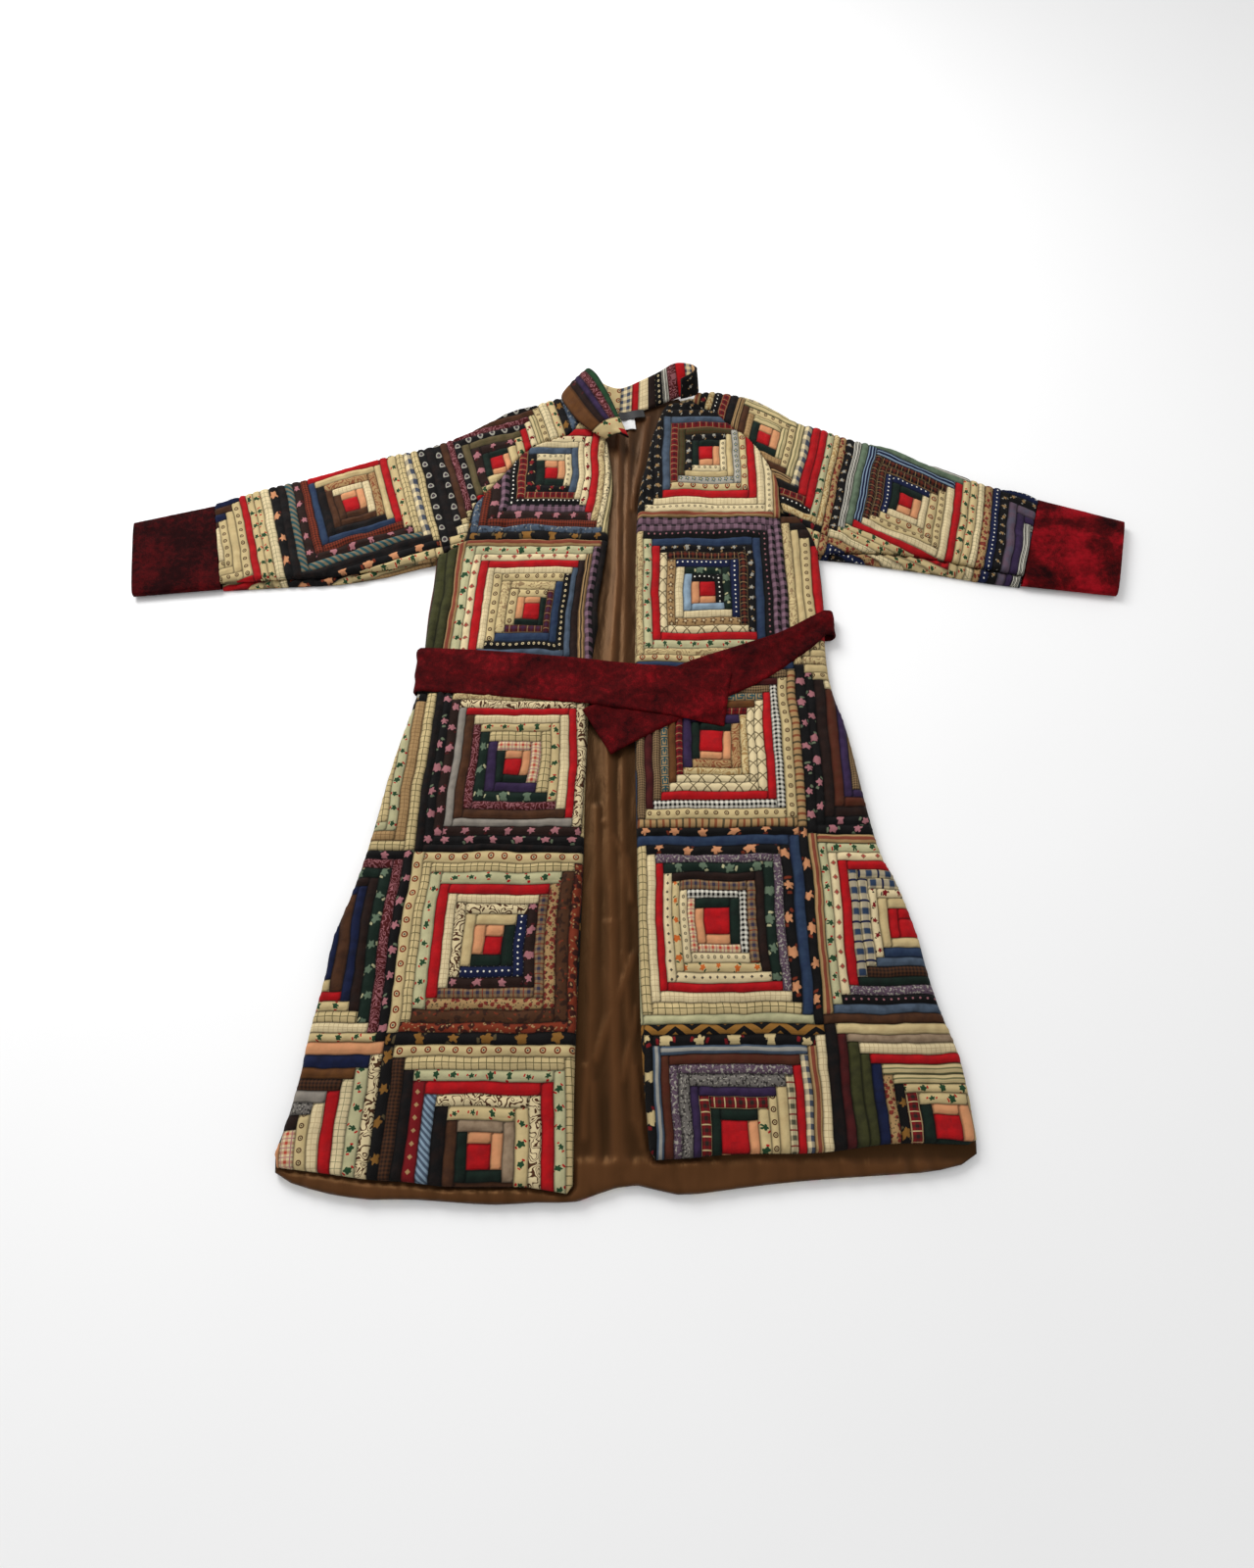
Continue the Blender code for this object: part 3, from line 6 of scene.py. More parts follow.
import bpy
import numpy as np
from bpy.props import FloatProperty, IntProperty, PointerProperty
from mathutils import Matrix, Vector


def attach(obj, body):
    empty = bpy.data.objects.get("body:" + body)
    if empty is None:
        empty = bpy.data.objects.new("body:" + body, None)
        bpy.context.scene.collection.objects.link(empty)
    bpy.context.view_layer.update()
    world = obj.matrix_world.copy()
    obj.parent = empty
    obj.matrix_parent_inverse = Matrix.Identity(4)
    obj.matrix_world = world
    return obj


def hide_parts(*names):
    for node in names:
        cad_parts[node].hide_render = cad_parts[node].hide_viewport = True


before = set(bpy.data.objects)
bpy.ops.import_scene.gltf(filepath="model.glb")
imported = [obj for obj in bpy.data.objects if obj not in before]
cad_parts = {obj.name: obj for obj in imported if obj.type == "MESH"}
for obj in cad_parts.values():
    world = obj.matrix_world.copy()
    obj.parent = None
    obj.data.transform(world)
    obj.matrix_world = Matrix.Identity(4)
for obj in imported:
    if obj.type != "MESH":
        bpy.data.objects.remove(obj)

bl_info = {
    "name": "Quilted patchwork coat",
    "version": (1, 0, 0),
    "blender": (4, 5, 0),
    "location": "3D Viewport > Sidebar > Coat",
    "description": "The cloth, velvet, lining, light and camera of a patchwork coat laid on its back",
    "category": "Add Mesh",
}

# Sizes that drive the coat, in metres
GAP = 0.0003
BACK_WALL = 0.0065
LINING_WALL = 0.0012
FRONT_WALL = 0.0105
VELVET_WALL = 0.0025
CUFF_HEIGHT = 0.0165
CUFF_WALL = 0.0068
COLLAR_WALL = 0.0055
TAPE_WALL = 0.0008
BELT_WIDTH = 0.075
# The middle of the coat's own box, which becomes the origin
MIDDLE_X = 0.00375
MIDDLE_Y = 0.56376

LINING_FLOOR = BACK_WALL + GAP
FRONT_FLOOR = LINING_FLOOR + LINING_WALL + GAP
FRONT_TOP = FRONT_FLOOR + FRONT_WALL

# How far apart points stand along an outline
OUTLINE_STEP = 0.024

Spot = namedtuple("Spot", "x y")


def line(x, y):
    """The spots of a line, from their x and y in millimetres."""
    return [Spot(a / 1000, b / 1000) for a, b in zip(x, y)]


# How a panel's edge turns down: the share of the wall left at the edge itself, and how wide the turn is
Turn = namedtuple("Turn", "share reach")
SIDE = Turn(0.12, 0.0095)
FOLDED = Turn(0.22, 0.0075)
SEAM = Turn(0.62, 0.0035)
# How wide the turn at the back's edge is
EDGE_TURN = 0.0014
# The height of the widest part of a thin panel's edge, as a share of its wall
SIDE_MIDDLE = 0.74

# Lines of the drawing, each from its first named end to its second
LEFT_SIDE = line(  # armpit to hem
    x=(-289.5, -290.5, -293.5, -294, -294, -297.5, -306, -316, -326.5, -335.5, -345, -358, -373, -377.5,
       -387.5, -391, -399, -408.5),
    y=(828, 781, 735, 690, 640, 600, 556, 515, 458, 400, 345, 291, 239, 185, 118, 72, 22, -18),
)
RIGHT_SIDE = line(  # armpit to hem
    x=(291.5, 292.5, 292, 290, 288, 289, 296, 305, 313.5, 321, 329.5, 334.5, 348, 357, 369.5, 376.5, 387,
       401, 406, 408),
    y=(838, 781, 740, 705, 677, 620, 580, 546, 490, 430, 375, 350, 320, 290, 239, 189, 141, 94, 40, -2),
)
LEFT_HEM = line(  # side to front edge, on the left front
    x=(-404, -343, -295, -250, -207, -110, -86, -69),
    y=(-33, -40, -46.3, -48.5, -53.5, -54, -60, -61),
)
RIGHT_HEM = line(  # front edge to side, on the right front
    x=(33, 78.7, 113.7, 158.7, 222.3, 283.7, 321.6, 398),
    y=(-25, -22.3, -19, -17.8, -17.1, -9.6, -6.4, -8),
)
BACK_HEM = line(  # left to right, past the front hems
    x=(-406, -399, -374, -348, -322.5, -297.5, -248.5, -199, -150, -101, -61, -31.1, 0, 25, 45.5, 70, 99,
       146.7, 215.5, 299.8, 350.6, 380, 398, 406.5),
    y=(-38.5, -45.5, -53, -60, -64, -67.2, -66.8, -70, -72.5, -70, -70, -60.5, -52, -54, -60.5, -62, -59,
       -53, -46.5, -41, -37.5, -31.5, -27, -18),
)
LEFT_EDGE = line(  # hem to neck, down the opening
    x=(-62, -63, -60.6, -57.5, -56.9, -50.7, -38.9, -31, -28.1, -23.5, -24, -29, -31.5),
    y=(-52, 66, 183, 350, 450, 651, 733, 830, 914, 950, 998, 1040, 1060),
)
RIGHT_EDGE = line(  # neck to hem
    x=(59, 51, 40, 30.9, 22.4, 17.3, 14.6, 12.9, 12.6, 11, 12, 13, 14.5, 18, 26),
    y=(1134, 1108, 1072, 1016, 981, 937, 882, 791, 704, 600, 450, 380, 260, 100, -14),
)
LEFT_NECK = line(x=(-34, -55, -76), y=(1069, 1084, 1101))
RIGHT_NECK = line(x=(106, 85, 64), y=(1151, 1146, 1140))
LEFT_RAGLAN = line(  # neck to armpit
    x=(-79, -89, -125, -161, -200, -239.2, -243, -250, -276, -288.5),
    y=(1100, 1080, 1063, 1044, 985, 929.1, 890, 856, 842, 831),
)
RIGHT_RAGLAN = line(  # neck to armpit
    x=(108, 119, 144.6, 162.8, 190.2, 207.8, 227.4, 240.5, 241, 264, 281, 291),
    y=(1151, 1136.5, 1126.8, 1101.3, 1076, 1051, 1010.2, 970, 925, 908, 878, 841),
)
LEFT_BACK_RAGLAN = line(x=(-76, -170, -248, -289), y=(1134, 970, 860, 831))
RIGHT_BACK_RAGLAN = line(x=(86, 180, 258, 291), y=(1163, 995, 880, 841))
BACK_NECK = line(x=(-74, -45, -16, 20, 56, 84), y=(1133.5, 1124, 1123, 1136, 1154, 1163))
LEFT_SLEEVE_TOP = line(  # neck to cuff
    x=(-114, -133.5, -160, -187, -226.1, -264, -308, -348, -387.5, -426.5, -504, -580, -644.5),
    y=(1157.5, 1151.5, 1138, 1132, 1105, 1079, 1055.7, 1042.2, 1032.3, 1015.6, 987, 962.5, 934.5),
)
LEFT_SLEEVE_UNDER = line(  # cuff to armpit
    x=(-608.5, -515.5, -442.6, -400, -360, -330, -292.5),
    y=(779.5, 786, 790, 797, 806, 816.5, 827),
)
RIGHT_SLEEVE_TOP = line(
    x=(119, 132.9, 164.7, 200.8, 233.4, 259, 284.7, 308.7, 347.1, 408.2, 433, 469.6, 514.3, 561.1, 592.1,
       618, 645),
    y=(1171, 1173.5, 1169, 1159, 1139, 1120.5, 1101.5, 1095, 1074.5, 1053, 1045, 1022.5, 1001, 977, 965,
       959, 947),
)
RIGHT_SLEEVE_UNDER = line(x=(593, 533.3, 459.3, 393.3, 340, 294), y=(785.5, 795.5, 811, 822.5, 832, 837.5))
LEFT_SLEEVE_NECK = line(x=(-80, -92, -107), y=(1104, 1128, 1154))
RIGHT_SLEEVE_NECK = line(x=(109, 113), y=(1155, 1166))
LEFT_BACK_SLEEVE_NECK = line(x=(-109, -79), y=(1152, 1137))
RIGHT_BACK_SLEEVE_NECK = line(x=(113, 89), y=(1169, 1165))

# The sleeve backs come round the under edge and show past the fronts by this much at cuff and armpit
Rim = namedtuple("Rim", "at_cuff at_middle at_armpit")
LEFT_RIM = Rim(0.0075, 0.0095, 0.0010)
RIGHT_RIM = Rim(0.0160, 0.0230, 0.0030)
RIM_RISE = 0.0125
# Where the rim starts past the front's edge, how wide its step up is, and how far its turned edge reaches in
RIM_START = 0.0007
RIM_STEP = 0.0018
RIM_TURN = 0.0032

# One patchwork block: its centre, and the lower border of its row
Block = namedtuple("Block", "x y south")
# A column of blocks: its west and east borders, its top border, and its blocks downwards
Column = namedtuple("Column", "west east north blocks")
LEFT_COLUMN = Column(
    line(x=(-242.5, -305.6), y=(1128, -154)),
    line(x=(-13.5, -13.5, -45, -32, -48, -39.5, -39.5), y=(1128, 998, 732, 478.5, 229, -21, -154)),
    1.128,
    [Block(-0.1195, 0.996, 0.8628), Block(-0.1400, 0.7330, 0.6050), Block(-0.1580, 0.4785, 0.3540),
     Block(-0.1700, 0.2290, 0.1040), Block(-0.1730, -0.0210, -0.1540)],
)
LEFT_SIDE_COLUMN = Column(
    [],
    LEFT_COLUMN.west,
    0.866,
    [Block(-0.4000, 0.7350, 0.6080), Block(-0.4080, 0.4800, 0.3560), Block(-0.4180, 0.2320, 0.1090),
     Block(-0.4250, -0.0180, -0.1500)],
)
RIGHT_COLUMN = Column(
    line(x=(10.5, 5, 2, 1, 4, 13, 13), y=(1172, 1040, 773, 518, 260, 0, -130)),
    line(x=(238, 241), y=(1172, -130)),
    1.172,
    [Block(0.1280, 1.0390, 0.9065), Block(0.1190, 0.7730, 0.6455), Block(0.1160, 0.5180, 0.3890),
     Block(0.1130, 0.2600, 0.1300), Block(0.1260, 0.0000, -0.1300)],
)
RIGHT_SIDE_COLUMN = Column(
    RIGHT_COLUMN.east,
    [],
    0.9100,
    [Block(0.3700, 0.7750, 0.6400), Block(0.3680, 0.5100, 0.3800), Block(0.3560, 0.2500, 0.1300),
     Block(0.3760, 0.0110, -0.1200)],
)
SIDE_BLOCK_REACH = 0.130

# A sleeve's blocks lie in slanted rows: one block's centre, and its steps along and across the sleeve
Slant = namedtuple("Slant", "x y along_x along_y across_x across_y")
LEFT_SLANT = Slant(-0.4300, 0.9340, 0.2240, 0.0840, -0.0760, 0.2480)
RIGHT_SLANT = Slant(0.4350, 0.9390, 0.2130, -0.1280, 0.0640, 0.2500)
# The blocks that a sleeve's front reaches, in steps along and across
LEFT_SLEEVE_BLOCKS = [(-1, 0), (0, 0), (1, 0), (2, 0), (0, -1), (1, -1)]
RIGHT_SLEEVE_BLOCKS = [(1, 0), (0, 0), (-1, 0), (-2, 0), (0, -1), (-1, -1)]

# Long soft folds: the two ends of the crest, half its width, and its height
Fold = namedtuple("Fold", "x1 y1 x2 y2 half_width height")


def folds(*rows):
    """Folds, from rows of their values in millimetres."""
    return [Fold(*(value / 1000 for value in row)) for row in rows]


LEFT_FRONT_FOLDS = folds(
    (-240, 868, -150, 884, 20, 3.2),
    (-150, 884, -85, 862, 18, 3),
    (-85, 862, -40, 876, 16, 2.6),
    (-235, 905, -130, 925, 18, 1.8),
    (-255, 790, -120, 815, 22, 2.2),
    (-270, 560, -70, 545, 26, 2.6),
    (-300, 420, -120, 395, 30, 2),
    (-330, 250, -200, 300, 30, 2),
    (-290, 120, -80, 105, 28, 2.2),
    (-360, 20, -240, 0, 26, 1.8),
    (-75, 300, -80, 40, 18, 1.8),
)
RIGHT_FRONT_FOLDS = folds(
    (48, 1105, 28, 960, 12, 5),
    (28, 960, 24, 900, 11, 3),
    (50, 905, 110, 925, 18, 3),
    (110, 895, 180, 878, 18, 3),
    (180, 905, 232, 918, 16, 2.6),
    (120, 1095, 165, 1060, 16, 3),
    (40, 800, 200, 815, 24, 1.8),
    (50, 460, 230, 480, 28, 2.4),
    (60, 330, 300, 350, 30, 2.2),
    (80, 130, 330, 140, 26, 2.4),
    (250, 560, 262, 420, 22, 2.2),
    (330, 60, 360, -5, 22, 2),
)
LEFT_SLEEVE_FOLDS = folds(
    (-300, 860, -420, 860, 16, 2.8),
    (-290, 880, -350, 960, 16, 2.4),
    (-380, 830, -500, 830, 14, 2.2),
    (-250, 960, -330, 1010, 18, 2),
    (-520, 900, -600, 860, 16, 1.6),
    (-130, 1110, -230, 1060, 16, 1.8),
)
RIGHT_SLEEVE_FOLDS = folds(
    (288, 905, 330, 870, 10, 3.4),
    (300, 930, 370, 890, 12, 3),
    (330, 870, 480, 862, 14, 2.4),
    (420, 990, 520, 970, 16, 2.2),
    (230, 1100, 300, 1060, 16, 2),
    (540, 900, 600, 850, 16, 1.8),
)
# The lining's long folds down the opening, and the puckers of its hem
LINING_FOLDS = folds(
    (-12, 1110, -14, 800, 5, 3.4),
    (6, 1125, -2, 860, 4.5, 2.8),
    (34, 1120, 8, 930, 5, 3),
    (-14, 800, -28, 560, 6, 3),
    (-2, 860, -6, 480, 5, 2.2),
    (-28, 560, -20, 260, 7.5, 3.4),
    (-40, 420, -44, 60, 6, 2.6),
    (-6, 480, -4, 220, 5, 2.6),
    (-20, 260, -10, -30, 8.5, 4.6),
    (-4, 220, 10, 20, 5.5, 3),
    (-40, 60, -34, -50, 6, 3),
    (10, 20, 34, -40, 6, 3.4),
)
HEM_ROLL_TOP = -0.0200
HEM_ROLL_RISE = 0.0036
HEM_PUCKER = 0.0008
HEM_PUCKER_PITCH = 0.031

# The belt: the middle line of each stretch that shows, with its width
BeltStation = namedtuple("BeltStation", "x y width")
BELT_LEFT = [
    BeltStation(-0.2890, 0.6310, 0.0720), BeltStation(-0.2000, 0.6250, 0.0740),
    BeltStation(-0.0630, 0.6120, 0.0745), BeltStation(0.0400, 0.5980, 0.0780),
    BeltStation(0.1420, 0.5815, 0.0870),
]
BELT_RIGHT = [
    BeltStation(0.2900, 0.7110, 0.0420), BeltStation(0.2400, 0.6760, 0.0480),
    BeltStation(0.1800, 0.6430, 0.0660), BeltStation(0.1000, 0.6070, 0.0770),
    BeltStation(0.0000, 0.5550, 0.0800), BeltStation(-0.0425, 0.5300, 0.0800),
]
BELT_CLEAR = 0.0009
BELT_SIDE_BULGE = 0.0060
BELT_TURN_IN = 0.016
BELT_SQUARE_FOR = 0.060
# The belt lies flat on the floor behind the coat, in a shallow hollow of the back
HOLLOW_RISE = VELVET_WALL + GAP
HOLLOW_RAMP = 0.012
HOLLOW_HALF = BELT_WIDTH / 2 + 0.012

# The collar's stations: the neck seam below, and the free edge above, from the left end to the right
CollarStation = namedtuple("CollarStation", "x y z free_x free_y free_z bulge")
COLLAR = [
    CollarStation(-0.0330, 1.0600, 0.0240, 0.0030, 1.0540, 0.0330, 0.0100),
    CollarStation(-0.0560, 1.0740, 0.0255, -0.0120, 1.0820, 0.0480, 0.0080),
    CollarStation(-0.0790, 1.0960, 0.0260, -0.0290, 1.1190, 0.0590, 0.0060),
    CollarStation(-0.0970, 1.1240, 0.0260, -0.0470, 1.1540, 0.0650, 0.0050),
    CollarStation(-0.1075, 1.1500, 0.0235, -0.0600, 1.1750, 0.0600, 0.0050),
    CollarStation(-0.0900, 1.1540, 0.0150, -0.0560, 1.1830, 0.0440, 0.0020),
    CollarStation(-0.0600, 1.1330, 0.0110, -0.0420, 1.1760, 0.0300, 0.0000),
    CollarStation(-0.0160, 1.1215, 0.0108, -0.0120, 1.1690, 0.0240, 0.0000),
    CollarStation(0.0220, 1.1320, 0.0108, 0.0240, 1.1830, 0.0280, 0.0000),
    CollarStation(0.0540, 1.1460, 0.0112, 0.0520, 1.1930, 0.0360, 0.0010),
    CollarStation(0.0860, 1.1590, 0.0150, 0.0790, 1.1990, 0.0490, 0.0030),
    CollarStation(0.1110, 1.1640, 0.0225, 0.1060, 1.1910, 0.0540, 0.0050),
    CollarStation(0.1130, 1.1530, 0.0265, 0.1090, 1.1730, 0.0580, 0.0060),
    CollarStation(0.0880, 1.1430, 0.0275, 0.0880, 1.1560, 0.0580, 0.0060),
]

# The cuffs: the upper and the lower corner of the wrist end
LEFT_WRIST = (Spot(-0.7640, 0.9010), Spot(-0.7390, 0.7660))
RIGHT_WRIST = (Spot(0.7715, 0.9030), Spot(0.7330, 0.7670))
CUFF_SQUARENESS = 4.0


# Cloth colours, as display red, green and blue
INKS = {
    "cream": (0.73, 0.65, 0.47),
    "pale_cream": (0.80, 0.73, 0.57),
    "peach": (0.77, 0.53, 0.37),
    "tan": (0.60, 0.48, 0.32),
    "dull_tan": (0.50, 0.40, 0.28),
    "ochre": (0.52, 0.36, 0.15),
    "orange": (0.72, 0.36, 0.14),
    "rust": (0.44, 0.17, 0.09),
    "red": (0.64, 0.045, 0.070),
    "dark_red": (0.42, 0.06, 0.08),
    "maroon": (0.26, 0.07, 0.07),
    "pink": (0.62, 0.40, 0.42),
    "mauve": (0.34, 0.27, 0.32),
    "rust_brown": (0.29, 0.13, 0.08),
    "taupe": (0.55, 0.47, 0.38),
    "ochre_brown": (0.36, 0.22, 0.10),
    "warm_grey": (0.52, 0.49, 0.45),
    "sage": (0.36, 0.42, 0.34),
    "plum_pink": (0.45, 0.34, 0.39),
    "purple": (0.19, 0.13, 0.25),
    "aubergine": (0.13, 0.07, 0.11),
    "navy": (0.07, 0.10, 0.22),
    "blue": (0.15, 0.21, 0.30),
    "pale_blue": (0.52, 0.60, 0.66),
    "slate": (0.27, 0.32, 0.38),
    "grey": (0.40, 0.38, 0.36),
    "pale_grey": (0.62, 0.60, 0.55),
    "teal": (0.13, 0.27, 0.29),
    "olive": (0.22, 0.22, 0.11),
    "dull_olive": (0.34, 0.29, 0.19),
    "dull_green": (0.38, 0.42, 0.33),
    "green": (0.12, 0.24, 0.14),
    "dark_green": (0.06, 0.12, 0.09),
    "pale_green": (0.67, 0.65, 0.50),
    "brown": (0.27, 0.16, 0.09),
    "dark_brown": (0.13, 0.07, 0.05),
    "black": (0.040, 0.033, 0.034),
    "white": (0.86, 0.84, 0.78),
}

# One cloth: the print, its ground, ink and accent colours, the size of its repeat in metres, which is in
# millimetres in its row, and its ink's strength
Cloth = namedtuple("Cloth", "name print ground ink accent repeat strength")
CLOTH_ROWS = """
peach plain peach tan tan 10 0.3
plain_cream plain cream tan tan 10 0.3
bright_red plain red dark_red dark_red 10 0.4
cream_check grid pale_cream dull_tan tan 6 0.55
tan_check grid tan brown brown 6 0.65
windowpane grid cream olive tan 9.5 0.85
cream_rings rings cream brown black 13 1
peach_rings rings cream rust navy 18 1
tan_mottle scribble cream ochre brown 12 0.7
white_black_dots rings pale_cream black black 9 0.9
brown_scribble scribble pale_cream brown brown 12 1
cream_scribble scribble cream dull_tan dull_tan 10.5 0.85
pale_green_floral sprigs pale_green green red 23 1
cream_sprigs sprigs cream green red 23 1
white_red_diamonds diamonds pale_cream dark_red red 19 0.8
green_stripe stripes cream green pale_green 6 0.7
pink_plaid plaid pale_cream red pink 10 0.9
blue_gingham check pale_cream blue blue 11.5 0.95
green_gingham grid pale_cream green green 7 0.65
red_border stripes tan dark_red green 12.5 0.8
orange_vine sprigs cream orange green 23 1
teal_print medallion pale_grey teal cream 10 0.9
blue_plaid plaid pale_cream blue navy 26 1
paisley scribble tan rust brown 12.5 0.8
cream_lattice lattice pale_cream dull_olive dull_olive 20 0.9
white_speckle speckle pale_cream black black 4 0.8
red_floral sprigs pale_cream dark_red black 20 1
tan_flowers medallion tan brown pale_cream 13 0.8
steel_blue plain pale_blue slate slate 10 0.4
slate_blue plain slate black black 10 0.4
denim plain blue navy navy 10 0.5
navy plain navy black black 10 0.4
dark_green plain dark_green black black 10 0.5
green plain green dark_green dark_green 10 0.5
olive plain olive black black 10 0.4
dull_olive plain dull_olive olive olive 10 0.5
dull_green plain sage dark_green dark_green 10 0.4
black plain black dark_brown dark_brown 10 0.5
dark_brown plain dark_brown black black 10 0.5
brown plain brown dark_brown dark_brown 10 0.5
maroon plain maroon black black 10 0.4
rust plain rust_brown brown brown 10 0.5
purple plain purple black black 10 0.4
aubergine plain aubergine black black 10 0.4
mauve plain mauve slate slate 10 0.5
grey_speckle speckle grey black pale_grey 3.6 0.8
mauve_speckle speckle mauve pale_grey black 3.6 0.8
black_red_floral sprigs black dark_red tan 20 1
red_black_plaid plaid dark_red black tan 11 0.75
purple_plaid plaid maroon purple tan 11 0.65
black_white_dots dots black white white 7.5 1
navy_dots dots navy white white 7.5 1
dot_chain rings black pale_cream tan 8 1
purple_gingham check plum_pink black purple 12.8 1
pink_clusters sprigs dark_brown pink maroon 30 0.9
rust_check check rust black black 4.2 0.8
brown_grid check brown black black 4.6 0.8
olive_check check olive brown tan 4.6 0.8
tan_fine_check check dull_tan black black 3.4 0.8
grey_fringe speckle slate black pale_grey 6 0.6
orange_flowers sprigs black ochre dull_olive 40 0.8
small_flowers sprigs black pale_grey tan 18 0.8
tan_dark_stripe stripes tan black brown 7.5 0.9
green_medallions sprigs dark_green sage pale_green 34 0.9
maroon_scribble scribble maroon pink black 9 0.6
peach_flowers sprigs black peach rust 40 0.85
pink_flowers sprigs black pink dull_green 34 0.9
navy_plaid plaid dull_tan navy rust 12 0.9
dense_red_floral floral tan dark_red dark_green 8 0.9
worn_velvet speckle brown dark_brown rust 9 0.7
rust_floral floral rust black tan 12 0.8
blue_diagonal diagonal slate pale_blue black 8 0.8
red_triangles diamonds dark_red tan tan 15 0.9
black_rust_plaid plaid black rust tan 11.5 0.55
tan_berries sprigs black tan pale_grey 17 0.8
key key teal tan tan 14 0.9
stripe_medallion stripes slate pale_grey dark_brown 11 0.7
black_medallions sprigs black cream dark_red 42 1
chevrons zigzag black ochre ochre 42 1
tartan plaid dark_red dark_green cream 12.5 0.9
navy_stripes stripes navy pale_blue black 5 0.8
black_white_stripe stripes black white white 4.6 0.8
pale_green plain pale_green green green 10 0.2
grey_rings rings black pale_grey mauve 20 0.85
teal_crests diagonal teal tan black 10 0.45
orange_stripe stripes cream orange rust 5 0.8
big_gingham check pale_cream blue blue 18 0.95
bars bars tan rust dark_green 18 0.8
white_sparse dots black pink pink 9 0.7
black_white_check check black white white 6 0.85
taupe plain taupe brown brown 10 0.4
ochre_brown plain ochre_brown brown brown 10 0.5
grey plain warm_grey grey grey 10 0.5
pale_tartan plaid pale_cream dark_green dark_red 16 0.9
brown_diamonds diamonds pale_cream brown teal 10.5 0.9
"""


def cloth_from(row):
    """A cloth, from its row of the table."""
    *words, repeat, strength = row.split()
    return Cloth(*words, float(repeat) / 1000, float(strength))


CLOTHS = [cloth_from(row) for row in CLOTH_ROWS.strip().splitlines()]

